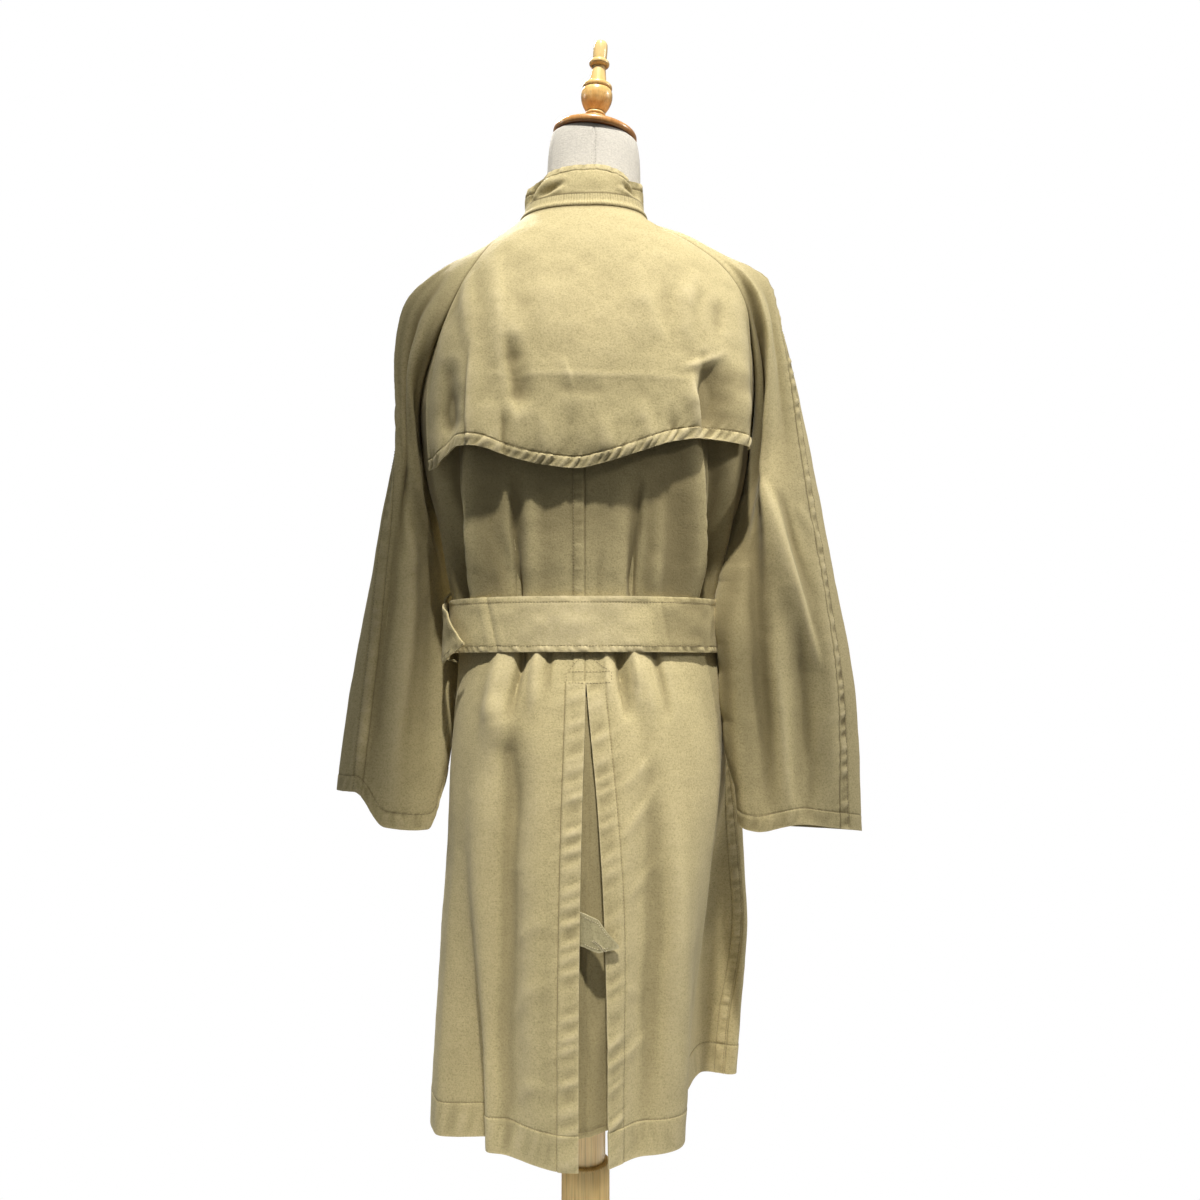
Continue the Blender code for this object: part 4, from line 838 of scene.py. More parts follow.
# the stitching thread is given a dark brown that stands for the shadow along each stitch: painted shade
M_THREAD = thread_material("thread_dark_painted_shade", (0.300, 0.240, 0.120))
M_THREAD_L = thread_material("thread_pale", (0.62, 0.55, 0.36))
M_LINEN = linen_material("linen_slub")
M_WOOD = wood_material("turned_wood_honey", (0.95, 0.65, 0.260), (0.76, 0.44, 0.130), rough=0.30, coat=0.6)
M_CAP = wood_material("turned_wood_amber", (0.72, 0.36, 0.115), (0.47, 0.20, 0.055), rough=0.32, coat=0.6)
M_POST = wood_material("post_oak", (0.96, 0.72, 0.330), (0.80, 0.54, 0.200), grain=1.3, rough=0.42, coat=0.25, stretch=0.05, pores=1.0)
M_BASE = wood_material("base_oak", (0.93, 0.68, 0.320), (0.76, 0.50, 0.195), grain=0.5, rough=0.40, coat=0.3, stretch=0.05, pores=0.8, flat=True)
M_HORN = horn_material("horn_button")
M_LEATHER = leather_material("leather_buckle")


# ------------------------------------------------------------------- builders
def unit(v):
    return v / np.maximum(np.linalg.norm(v, axis=-1, keepdims=True), 1e-12)


def grid_normals(p, sign=1.0):
    du = np.gradient(p, axis=1)
    dv = np.gradient(p, axis=0)
    return unit(np.cross(du, dv)) * sign


def make_mesh(name, verts, quads, mat, slot, uv=None, wear_and_painted_light=None, sharp=55.0, tris=None):
    me = bpy.data.meshes.new(name)
    verts = np.asarray(verts, float)
    quads = np.asarray(quads, np.int64)
    nq = len(quads)
    nt_ = 0 if tris is None else len(tris)
    loops = quads.reshape(-1)
    start = np.arange(nq) * 4
    total = np.full(nq, 4)
    if nt_:
        tris = np.asarray(tris, np.int64)
        start = np.concatenate([start, nq * 4 + np.arange(nt_) * 3])
        total = np.concatenate([total, np.full(nt_, 3)])
        loops = np.concatenate([loops, tris.reshape(-1)])
    me.vertices.add(len(verts))
    me.vertices.foreach_set("co", verts.astype(np.float32).reshape(-1))
    me.loops.add(len(loops))
    me.loops.foreach_set("vertex_index", loops.astype(np.int32))
    me.polygons.add(len(start))
    me.polygons.foreach_set("loop_start", start.astype(np.int32))
    me.update(calc_edges=True)
    me.validate()
    if uv is not None:
        layer = me.uv_layers.new(name="cloth")
        idx = np.zeros(len(me.loops), np.int32)
        me.loops.foreach_get("vertex_index", idx)
        layer.data.foreach_set("uv", np.asarray(uv, np.float32)[idx].reshape(-1))
    if wear_and_painted_light is not None:
        at = me.attributes.new("wear_and_painted_light", "FLOAT", "POINT")
        at.data.foreach_set("value", np.clip(np.asarray(wear_and_painted_light, np.float32), 0, 1).reshape(-1))
    me.shade_smooth()
    me.set_sharp_from_angle(angle=math.radians(sharp))
    me.materials.append(mat)
    ob = bpy.data.objects.new(name, me)
    bpy.context.scene.collection.objects.link(ob)
    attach(ob, ROOT)
    return ob


def coarse(n):
    c = list(range(0, n, 2))
    if c[-1] != n - 1:
        c.append(n - 1)
    return c


def shell(name, mid, nrm, thick, mat, slot="twill", uv=None, wear_and_painted_light=None, replaces=()):
    """Thin closed shell around a grid of mid-surface points; its inner layer
    has half as many rows and columns as the outer one."""
    nr, nc = mid.shape[:2]
    t = np.broadcast_to(np.asarray(thick, float), (nr, nc))[..., None]
    n = nr * nc
    ids = np.arange(n).reshape(nr, nc)
    ci, cj = coarse(nr), coarse(nc)
    inner = (mid - nrm * t / 2)[np.ix_(ci, cj)]
    verts = np.concatenate([(mid + nrm * t / 2).reshape(-1, 3), inner.reshape(-1, 3)])
    low = n + np.arange(len(ci) * len(cj)).reshape(len(ci), len(cj))
    a, b, c, d = ids[:-1, :-1], ids[:-1, 1:], ids[1:, 1:], ids[1:, :-1]
    quads = [np.stack([a, b, c, d], -1).reshape(-1, 4)]
    a, b, c, d = low[:-1, :-1], low[:-1, 1:], low[1:, 1:], low[1:, :-1]
    quads.append(np.stack([a, d, c, b], -1).reshape(-1, 4))
    tris, rim = [], []
    for fine, rough, step, rev in ((ids[0, :], low[0, :], cj, False), (ids[-1, :], low[-1, :], cj, True),
                                   (ids[:, 0], low[:, 0], ci, True), (ids[:, -1], low[:, -1], ci, False)):
        for k in range(len(step) - 1):
            i, j = step[k], step[k + 1]
            p, q = rough[k], rough[k + 1]
            if j - i == 1:
                f = (fine[j], fine[i], p, q)
                rim.append(f if not rev else f[::-1])
            else:
                m = fine[i + 1]
                for f in ((m, fine[i], p), (fine[j], m, q), (m, p, q)):
                    tris.append(f if not rev else f[::-1])
    quads = np.concatenate(quads + ([np.array(rim)] if rim else []))
    tris = np.array(tris) if tris else None
    mid_r, mid_c = nr // 2, nc // 2
    p0 = mid[mid_r, mid_c]
    e1 = mid[mid_r, min(mid_c + 1, nc - 1)] - p0
    e2 = mid[min(mid_r + 1, nr - 1), mid_c] - p0
    if np.dot(np.cross(e1, e2), nrm[mid_r, mid_c]) < 0:
        quads = quads[:, ::-1]
        tris = tris[:, ::-1] if tris is not None else None
    if uv is None:
        u = np.concatenate([np.zeros((nr, 1)), np.cumsum(np.linalg.norm(np.diff(mid, axis=1), axis=-1), 1)], 1)
        v = np.concatenate([np.zeros((1, nc)), np.cumsum(np.linalg.norm(np.diff(mid, axis=0), axis=-1), 0)], 0)
        uv = np.stack([u, v], -1)
    uv2 = np.concatenate([uv.reshape(-1, 2), uv[np.ix_(ci, cj)].reshape(-1, 2)])
    w = np.full((nr, nc), 0.5) if wear_and_painted_light is None else wear_and_painted_light
    w2 = np.concatenate([w.reshape(-1), np.full(low.size, 0.5)])
    ob = make_mesh(name, verts, quads, mat, slot, uv2, w2, tris=tris)
    for r in replaces:
        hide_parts(r)
    return ob


def arcs(p):
    """Running lengths of a grid along its rows and columns, from both ends."""
    du = np.linalg.norm(np.diff(p, axis=1), axis=-1)
    dv = np.linalg.norm(np.diff(p, axis=0), axis=-1)
    u = np.concatenate([np.zeros((p.shape[0], 1)), np.cumsum(du, 1)], 1)
    v = np.concatenate([np.zeros((1, p.shape[1])), np.cumsum(dv, 0)], 0)
    return u, u[:, -1:] - u, v, v[-1:, :] - v


def iso_line(p, nrm, field, level, axis):
    """Polyline where field crosses level, one point per row (axis 1) or column (axis 0)."""
    if axis == 0:
        p, nrm, field = np.swapaxes(p, 0, 1), np.swapaxes(nrm, 0, 1), field.T
    pts, ns = [], []
    for i in range(p.shape[0]):
        f = field[i] - level
        k = np.nonzero((f[:-1] <= 0) & (f[1:] > 0) | (f[:-1] >= 0) & (f[1:] < 0))[0]
        if len(k) == 0:
            continue
        k = k[0]
        t = f[k] / (f[k] - f[k + 1]) if f[k] != f[k + 1] else 0.0
        pts.append(p[i, k] * (1 - t) + p[i, k + 1] * t)
        ns.append(nrm[i, k] * (1 - t) + nrm[i, k + 1] * t)
    return np.array(pts), unit(np.array(ns)) if len(ns) else np.array(ns)


def stitch_row(pts, nrm, pitch=0.0034, fill=0.72, r=0.00036, lift=0.00012, seed=1, skip=None):
    """Capsule stitches laid along a polyline on the cloth: arrays of points and quads."""
    if len(pts) < 2:
        return None
    seg = np.linalg.norm(np.diff(pts, axis=0), axis=1)
    s = np.concatenate([[0], np.cumsum(seg)])
    n = int(s[-1] / pitch)
    if n < 1:
        return None
    k = np.arange(n)
    j = 0.12 * pitch * (lattice(k, k * 0 + 3, k * 0 + 5, seed) - 0.5)
    s0 = (k + 0.5) * pitch - fill * pitch / 2 + j
    frac = np.array([0.0, 0.22, 0.78, 1.0])
    rad = np.array([0.40, 1.0, 1.0, 0.40]) * r
    up = np.array([-0.9, 0.35, 0.35, -0.9]) * r + lift
    ss = s0[:, None] + frac[None, :] * fill * pitch
    c = np.stack([np.interp(ss, s, pts[:, a]) for a in range(3)], -1)
    nn = unit(np.stack([np.interp(ss, s, nrm[:, a]) for a in range(3)], -1))
    t = unit(c[:, -1:] - c[:, :1])
    side = unit(np.cross(nn, np.broadcast_to(t, nn.shape)))
    nn = unit(np.cross(np.broadcast_to(t, side.shape), side))
    c = c + nn * up[None, :, None]
    ring = []
    for a in (45, 135, 225, 315):
        ca, sa = math.cos(math.radians(a)), math.sin(math.radians(a))
        ring.append(c + (side * ca + nn * sa) * rad[None, :, None])
    v = np.stack(ring, 2)
    m = 4
    ids = np.arange(n * 4 * m).reshape(n, 4, m)
    q = []
    for a in range(m):
        b = (a + 1) % m
        q.append(np.stack([ids[:, :-1, a], ids[:, :-1, b], ids[:, 1:, b], ids[:, 1:, a]], -1).reshape(-1, 4))
    tri = []
    for ring_id, rev in ((0, True), (3, False)):
        for a in range(1, m - 1):
            f = np.stack([ids[:, ring_id, 0], ids[:, ring_id, a], ids[:, ring_id, a + 1]], -1)
            tri.append(f[:, ::-1] if rev else f)
    return v.reshape(-1, 3), np.concatenate(q), np.concatenate(tri)


def stitches(name, rows, mat=None):
    """One object from several stitched lines."""
    vs, qs, ts, base = [], [], [], 0
    for row in rows:
        if row is None:
            continue
        v, q, t = row
        vs.append(v)
        qs.append(q + base)
        ts.append(t + base)
        base += len(v)
    if not vs:
        return None
    v = np.concatenate(vs)
    uv = np.zeros((len(v), 2))
    return make_mesh(name, v, np.concatenate(qs), mat or M_THREAD, "twill", uv, np.full(len(v), 0.5), 80.0, np.concatenate(ts))


# ----------------------------------------------------- the body's own creases
# In metres round the body (plus to the wearer's left) and up:
# start, end, bow, half width on either side, height.
BACK_CREASES = [
    # between the storm flap and the belt; each row runs downward, its first
    # width is on the wearer's right of the line and its second on the left
    (0.1300, 1.168, 0.1700, 0.942, 0.002, 0.024, 0.0030, 0.0115),
    (0.1500, 1.168, 0.1940, 0.942, -0.001, 0.0060, 0.013, -0.0185),
    (0.1780, 1.160, 0.2220, 0.960, 0.000, 0.009, 0.010, 0.0045),
    (0.1900, 1.040, 0.1720, 1.026, 0.000, 0.004, 0.006, 0.0025),
    (0.0960, 1.090, 0.1130, 0.940, 0.001, 0.016, 0.0030, -0.0090),
    (0.0740, 1.100, 0.0860, 0.945, 0.000, 0.014, 0.010, 0.0044),
    (-0.0760, 1.085, -0.0850, 0.940, 0.001, 0.0030, 0.016, -0.0088),
    (-0.1000, 1.080, -0.1120, 0.945, 0.000, 0.010, 0.010, 0.0048),
    (-0.1260, 1.168, -0.1760, 0.942, -0.002, 0.0030, 0.022, 0.0115),
    (-0.1440, 1.168, -0.1960, 0.942, -0.001, 0.013, 0.0060, -0.0185),
    (-0.1760, 1.160, -0.2180, 0.960, 0.000, 0.009, 0.009, 0.0040),
    (0.0150, 1.030, 0.0230, 0.955, 0.000, 0.008, 0.006, -0.0018),
    (-0.0250, 1.020, -0.0200, 0.955, 0.000, 0.006, 0.007, -0.0016),
    # gathered just below the belt
    (0.1240, 0.935, 0.1200, 0.800, 0.001, 0.014, 0.012, 0.0110),
    (0.0960, 0.940, 0.1000, 0.850, 0.001, 0.008, 0.005, -0.0145),
    (0.0760, 0.938, 0.0740, 0.850, 0.000, 0.010, 0.006, 0.0085),
    (0.0560, 0.938, 0.0530, 0.875, 0.001, 0.005, 0.006, -0.0048),
    (-0.0520, 0.940, -0.0560, 0.850, 0.001, 0.011, 0.005, -0.0135),
    (-0.0350, 0.938, -0.0350, 0.862, 0.000, 0.006, 0.006, 0.0052),
    (-0.0760, 0.938, -0.0740, 0.855, 0.000, 0.006, 0.006, 0.0070),
    (-0.0860, 0.935, -0.0900, 0.840, 0.001, 0.008, 0.012, 0.0060),
    (-0.1080, 0.940, -0.1120, 0.850, 0.001, 0.006, 0.006, -0.0075),
    # the swell below the belt at the left, the hollow under it
    (0.1160, 0.862, 0.1020, 0.812, 0.000, 0.013, 0.014, 0.0080),
    (0.0960, 0.822, 0.0860, 0.700, -0.003, 0.020, 0.012, -0.0105),
    # long soft hollows and rolls of the skirt
    (0.1230, 0.830, 0.1300, 0.480, 0.005, 0.016, 0.022, 0.0095),
    (0.0980, 0.840, 0.0960, 0.405, -0.004, 0.017, 0.013, -0.0140),
    (0.0600, 0.820, 0.0560, 0.430, 0.004, 0.020, 0.014, 0.0038),
    (0.0400, 0.700, 0.0420, 0.470, 0.002, 0.010, 0.012, -0.0014),
    (-0.0500, 0.820, -0.0500, 0.430, 0.003, 0.014, 0.018, 0.0042),
    (-0.0800, 0.820, -0.0760, 0.440, -0.003, 0.016, 0.012, -0.0076),
    (-0.1080, 0.760, -0.0990, 0.480, -0.002, 0.012, 0.016, 0.0034),
    (-0.2500, 0.950, -0.2560, 0.690, 0.000, 0.040, 0.050, 0.0185),
    # slanting pulls
    (-0.0400, 0.720, -0.0900, 0.780, 0.004, 0.005, 0.008, 0.0025),
    (-0.0420, 0.770, -0.0880, 0.812, 0.003, 0.005, 0.008, 0.0023),
    (-0.0460, 0.660, -0.0880, 0.700, 0.003, 0.006, 0.009, 0.0019),
    (0.0420, 0.580, 0.0900, 0.530, 0.003, 0.008, 0.010, 0.0024),
    (0.0400, 0.640, 0.0780, 0.615, 0.002, 0.006, 0.009, 0.0019),
    (0.0420, 0.480, 0.0800, 0.455, 0.003, 0.007, 0.009, 0.0021),
    (-0.0380, 0.500, -0.0760, 0.520, 0.003, 0.006, 0.009, 0.0019),
    (-0.0400, 0.580, -0.0700, 0.560, 0.002, 0.006, 0.007, 0.0012),
]
FRONT_CREASES = [
    # measured from the centre front, plus to the wearer's left
    (0.0700, 1.090, 0.0800, 0.950, 0.001, 0.011, 0.004, -0.0060),
    (0.0480, 1.060, 0.0520, 0.955, 0.001, 0.009, 0.010, 0.0030),
    (-0.0520, 1.080, -0.0600, 0.950, 0.001, 0.004, 0.011, -0.0050),
    (-0.0960, 1.120, -0.1060, 0.950, 0.002, 0.004, 0.014, 0.0060),
    (0.1140, 1.140, 0.1220, 0.950, 0.002, 0.013, 0.004, 0.0065),
    (0.1300, 1.140, 0.1340, 0.950, 0.000, 0.005, 0.012, -0.0090),
    (-0.1140, 1.130, -0.1220, 0.950, 0.001, 0.012, 0.005, -0.0080),
    (0.0820, 0.935, 0.0870, 0.858, 0.001, 0.007, 0.006, -0.0046),
    (0.0560, 0.935, 0.0520, 0.868, 0.000, 0.008, 0.007, 0.0032),
    (-0.0420, 0.935, -0.0470, 0.868, 0.001, 0.006, 0.007, -0.0040),
    (-0.0780, 0.935, -0.0740, 0.856, 0.000, 0.009, 0.007, 0.0036),
    (0.0980, 0.850, 0.1060, 0.480, 0.004, 0.016, 0.020, 0.0050),
    (0.0560, 0.820, 0.0520, 0.430, 0.003, 0.016, 0.014, -0.0042),
    (-0.0620, 0.830, -0.0640, 0.430, 0.004, 0.014, 0.018, 0.0044),
    (-0.0960, 0.800, -0.0900, 0.440, 0.003, 0.016, 0.014, -0.0040),
    (0.0400, 1.320, 0.0760, 1.200, 0.004, 0.012, 0.016, 0.0022),
    (-0.0600, 1.300, -0.0880, 1.190, -0.004, 0.012, 0.016, 0.0024),
    (0.0900, 1.250, 0.0700, 1.130, 0.003, 0.014, 0.014, -0.0022),
]


def body_detail(ang, z, p):
    """Displacement of the coat's body along its normal."""
    x = np.radians(wrap(ang)) * 0.150
    xf = np.radians(wrap(np.asarray(ang) - 180.0)) * 0.150
    d = line_crease(x, z, BACK_CREASES, 11)
    d = d + line_crease(-xf * -1.0, z, FRONT_CREASES, 61)
    # soft crumple of washed cotton; creases and crumple fade out at the neck seam and ease off at the belt
    low = 0.0012 * noise3(p, (0.050, 0.050, 0.110), 5) + 0.00040 * noise3(p, (0.020, 0.020, 0.034), 8)
    low = low + 0.00016 * noise3(p, (0.008, 0.008, 0.011), 9)
    calm = smoothstep((1.415 - z) / 0.05)
    at_belt = 1 - 0.80 * gauss((z - BELT_Z) / 0.030, 1.0) ** 2
    return (d + low) * calm * at_belt


def spread(P, A, outer, inner, middle):
    """Positions along each row of dense points P: fixed distances from both
    ends and an even spacing between them. Returns the angles there."""
    R = len(P)
    out = np.zeros((R, len(outer) + middle + len(inner)))
    f = np.arange(1, middle + 1) / (middle + 1.0)
    for i in range(R):
        s = np.concatenate([[0], np.cumsum(np.linalg.norm(np.diff(P[i], axis=0), axis=1))])
        W = s[-1]
        k = min(1.0, 0.45 * W / max(outer[-1], inner[-1]))
        L = np.array(outer) * k
        Rr = W - np.array(inner)[::-1] * k
        out[i] = np.interp(np.concatenate([L, L[-1] + (Rr[0] - L[-1]) * f, Rr]), s, A[i])
    return out


def panel_grid(side, heights, left, right, middle, edge_fn):
    """Rows and columns of a body panel. Columns keep fixed distances from
    both edges, so that stitched lines run true; returns angles and heights."""
    sg = 1 if side == "left" else -1
    dense, zz, fns = [], [], []
    for i, zr in enumerate(heights):
        a0, a1, zf = edge_fn(i, zr)
        dense.append(np.linspace(a0, a1, 150))
        zz.append(zf(dense[-1]))
        fns.append(zf)
    dense, zz = np.array(dense), np.array(zz)
    A = spread(body_point(sg * dense, zz), dense, left, right, middle)
    Z = np.array([fns[i](A[i]) for i in range(len(heights))])
    return sg * A, Z


def gap_curve(side, which, heights):
    """Clearance angle of a seam at each height, from a few that are measured."""
    sg = 1 if side == "left" else -1
    some = np.linspace(heights[0], heights[-1], 90)
    vals = []
    for zr in some:
        a = float(seam_angle(side, which, zr))
        vals.append(gap_side(sg, a, zr))
    return np.interp(heights, some, vals)


HEM_ROWS = [0.0, 0.0006, 0.003, 0.008, 0.014, 0.020, 0.026, 0.0310, 0.0330, 0.0342, 0.0350, 0.0358, 0.0370, 0.0395, 0.043]
SEAM_COLS = [0.0, 0.0005, 0.0013, 0.0028, 0.005, 0.0075, 0.0100, 0.0116, 0.0124, 0.0132, 0.0150, 0.018]
FACING = 0.0215


def heights_for(top, step):
    up = np.array(HEM_ROWS) + HEM_Z
    rest = np.arange(up[-1] + step, top, step)
    return np.concatenate([up, rest, [top]])


def gap_side(sg, a, zr):
    return gap_angle(sg * a, float(row_height(zr, neck_height(sg * a))))


def back_panel_fine(side):
    sg = 1 if side == "left" else -1

    def edges(i, zr):
        zs = float(row_height(zr, neck_height(0.0)))
        r0 = float(body_radius(0.0, zs))
        if zr <= VENT_TOP:
            a_in = sg * math.degrees(math.atan2(float(look(VENT, VENT_COLS, side + "_x", zr)), r0))
        else:
            a_in = math.degrees(GAP / 2 / r0)
        a_out = float(seam_angle(side, "back", zr)) - gaps[i]
        last = 0.0012 * smoothstep((zr - 1.400) / 0.019)
        return a_in, a_out, lambda a: row_height(zr, neck_height(sg * a)) - last
    inner = [0.0, 0.0005, 0.0018, 0.0045, 0.008, 0.0108, 0.0120, 0.0135, 0.0165, 0.0192, 0.0206, 0.0215, 0.0224, 0.0240, 0.027]
    H = heights_for(NECK_Z, 0.0025)
    H = np.sort(np.unique(np.concatenate([H[np.abs(H - VENT_TOP) > 0.0012], [VENT_TOP, VENT_TOP + 0.0006]])))
    gaps = gap_curve(side, "back", H)
    A, Z = panel_grid(side, H, inner, SEAM_COLS, 74, edges)
    p0 = body_point(A, Z)
    n0 = unit(body_point(A, Z, 0.01) - p0)
    U, U2, V, V2 = arcs(p0)
    zr = H[:, None] + 0 * A
    d = body_detail(A, Z, p0)
    wear_and_painted_light = 0.5 + 0 * d
    below = smoothstep((VENT_TOP + 0.002 - zr) / 0.004)
    above = 1 - below
    # the vent facing: cushions pinched between the edge and its stitching
    fac = FACING - (0.0015 if side == "right" else 0.0)
    t = np.clip(U / fac, 0, 1)
    slant = V + (0.35 if side == "left" else -0.45) * U
    puff = ridges(slant, 0.0155, 21 + sg, 0.42)
    env = np.sin(np.pi * np.clip(t * 0.86 + 0.14, 0, 1)) ** 0.7 * (t < 1)
    amp = 0.0034 * (0.66 + 0.34 * noise1(V, 0.06, 33 + sg))
    pd = amp * (puff - 0.45) * env * below
    d = d + pd
    wear_and_painted_light = wear_and_painted_light + (0.40 * (puff - 0.42) * env + 0.05 * (t < 1)) * below
    groove = gauss(U - fac, 0.0007) * below
    d = d - 0.0007 * groove
    wear_and_painted_light = wear_and_painted_light - 0.30 * groove
    out_f = np.exp(-np.maximum(U - fac, 0) / 0.008) * (U > fac) * below
    d = d + 0.0007 * (puff - 0.5) * out_f
    wear_and_painted_light = wear_and_painted_light + 0.18 * (puff - 0.5) * out_f
    # the facing's second layer lifts the cloth up to its stitching
    d = d + 0.0006 * smoothstep((fac - U) / 0.0012) * below
    # centre-back seam above the belt: one welt with topstitching on the left
    if side == "left":
        seam = above * smoothstep((0.0128 - U) / 0.0010) * 0.0006
        d = d + seam
        g2 = above * gauss(U - 0.0116, 0.0006)
        d = d - 0.0005 * g2
        rip = ridges(V, 0.0075, 71, 0.4)
        band = above * np.sin(np.pi * np.clip(U / 0.0125, 0, 1))
        d = d + 0.00060 * (rip - 0.5) * band
        wear_and_painted_light = wear_and_painted_light - 0.24 * g2 + 0.30 * (rip - 0.5) * band
    g3 = above * gauss(U, 0.0008)
    d = d - 0.0006 * g3
    wear_and_painted_light = wear_and_painted_light - 0.22 * g3
    # hem
    hs = gauss(V - 0.0350, 0.0007)
    d = d - 0.0004 * hs + 0.0002 * smoothstep((0.0352 - V) / 0.0020)
    hr = ridges(U + 0.25 * V, 0.0125, 51 + sg, 0.45)
    hb = np.sin(np.pi * np.clip(V / 0.035, 0, 1)) ** 0.8 * (V < 0.035)
    away = smoothstep((U - 0.024) / 0.006)
    d = d + 0.00075 * (hr - 0.5) * hb * away
    near = np.exp(-np.abs(V - 0.035) / 0.004) * away
    nr = ridges(U - 0.2 * V, 0.0066, 57 + sg, 0.45)
    d = d + 0.00050 * (nr - 0.5) * near
    wear_and_painted_light = wear_and_painted_light - 0.18 * hs + 0.24 * (hr - 0.5) * hb * away + 0.22 * (nr - 0.5) * near
    wear_and_painted_light = wear_and_painted_light + 0.22 * gauss(V, 0.0016)
    # free vent edges are faded
    wear_and_painted_light = wear_and_painted_light + 0.24 * gauss(U, 0.0014) * below
    # felled side seam below the armhole, raglan seam above it
    down = smoothstep((1.11 - zr) / 0.02)
    sr = ridges(V, 0.0105, 81 + sg, 0.4)
    sb = np.sin(np.pi * np.clip(U2 / 0.0125, 0, 1)) * (U2 < 0.0125)
    d = d + 0.0024 * (sr - 0.4) * sb * down
    wear_and_painted_light = wear_and_painted_light + 0.34 * (sr - 0.45) * sb * down
    for lev in (0.0016, 0.0124):
        g = gauss(U2 - lev, 0.0006)
        d = d - 0.00045 * g * down
        wear_and_painted_light = wear_and_painted_light - 0.20 * g * down
    d = d + 0.0005 * smoothstep((0.0130 - U2) / 0.001) * down
    # faded ridges of the washed cloth, and painted shade in its hollows
    wear_and_painted_light = wear_and_painted_light + 0.26 * relief(d)
    # painted shadow of the storm flap over the back down to the belt, deeper towards the wearer's right in the right
    # sleeve's painted shadow, with a painted lit patch at the centre just above the belt
    painted_flap_shadow = smoothstep((p0[..., 2] - 0.950) / 0.030) * smoothstep((1.205 - p0[..., 2]) / 0.020)
    pale = smoothstep((1.067 - p0[..., 2]) / 0.080) * gauss(p0[..., 0] - 0.002, 0.046)
    wear_and_painted_light = wear_and_painted_light - (0.31 + 0.13 * smoothstep((-p0[..., 0] - 0.04) / 0.03)) * painted_flap_shadow * (1 - 0.9 * pale)
    p = p0 + n0 * d[..., None]
    n = grid_normals(p)
    if np.mean(np.sum(n * n0, -1)) < 0:
        n = -n
    thick = 0.0011 + 0.0006 * smoothstep((0.0352 - V) / 0.001) + 0.0004 * below * smoothstep((fac - U) / 0.001)
    ob = shell("cloth_back_" + side, p, n, thick, M_TWILL, uv=np.stack([U, V], -1), wear_and_painted_light=wear_and_painted_light, replaces=["back_" + side])
    out = p + n * thick[..., None] / 2
    rows = []
    vent = np.nonzero(H <= VENT_TOP - 0.006)[0][-1]
    a, b = iso_line(out[:vent], n[:vent], U[:vent], fac, 1)
    rows.append(stitch_row(a, b, seed=3))
    a, b = iso_line(out[:, 12:-6], n[:, 12:-6], V[:, 12:-6], 0.0350, 0)
    rows.append(stitch_row(a, b, seed=4))
    top = np.nonzero(H <= 1.095)[0][-1]
    for lev in (0.0016, 0.0124):
        a, b = iso_line(out[:top], n[:top], U2[:top], lev, 1)
        rows.append(stitch_row(a, b, seed=5))
    if side == "left":
        up = np.nonzero(H >= 0.90)[0][0]
        a, b = iso_line(out[up:], n[up:], U[up:], 0.0116, 1)
        rows.append(stitch_row(a, b, seed=6))
    # stitched box and arrow head over the top of the vent
    def on_panel(x, zq):
        r0 = float(body_radius(0.0, zq))
        ang = math.degrees(math.atan2(x, r0))
        i = int(np.argmin(np.abs(H - zq)))
        j = int(np.argmin(np.abs(A[i] - ang)))
        return i, j

    def trace(x0, z0, x1, z1, m=24):
        pts, ns = [], []
        for k in range(m):
            x = x0 + (x1 - x0) * k / (m - 1.0)
            zq = z0 + (z1 - z0) * k / (m - 1.0)
            if sg * x < 0.0006:
                continue
            ang = math.degrees(math.atan2(x, float(body_radius(0.0, zq))))
            i = int(np.clip(np.searchsorted(H, zq) - 1, 0, len(H) - 2))
            f = (zq - H[i]) / (H[i + 1] - H[i])
            row = out[i] * (1 - f) + out[i + 1] * f
            rn = n[i] * (1 - f) + n[i + 1] * f
            ra = A[i] * (1 - f) + A[i + 1] * f
            o = np.argsort(ra)
            pts.append([np.interp(ang, ra[o], row[o, c]) for c in range(3)])
            ns.append([np.interp(ang, ra[o], rn[o, c]) for c in range(3)])
        return np.array(pts), unit(np.array(ns)) if len(ns) else np.array(ns)
    xs = 0.0195 if side == "left" else -0.0285
    for seg in ((0.0, 0.8925, xs, 0.8925), (0.0, 0.8805, xs, 0.8805), (xs, 0.8925, xs, 0.8805),
                (0.0, 0.9130, 0.0180 if side == "left" else -0.0265, 0.8925)):
        a, b = trace(*seg)
        if len(a) > 2:
            rows.append(stitch_row(a, b, seed=7))
    st = stitches("stitch_back_" + side, rows)
    return ob, st


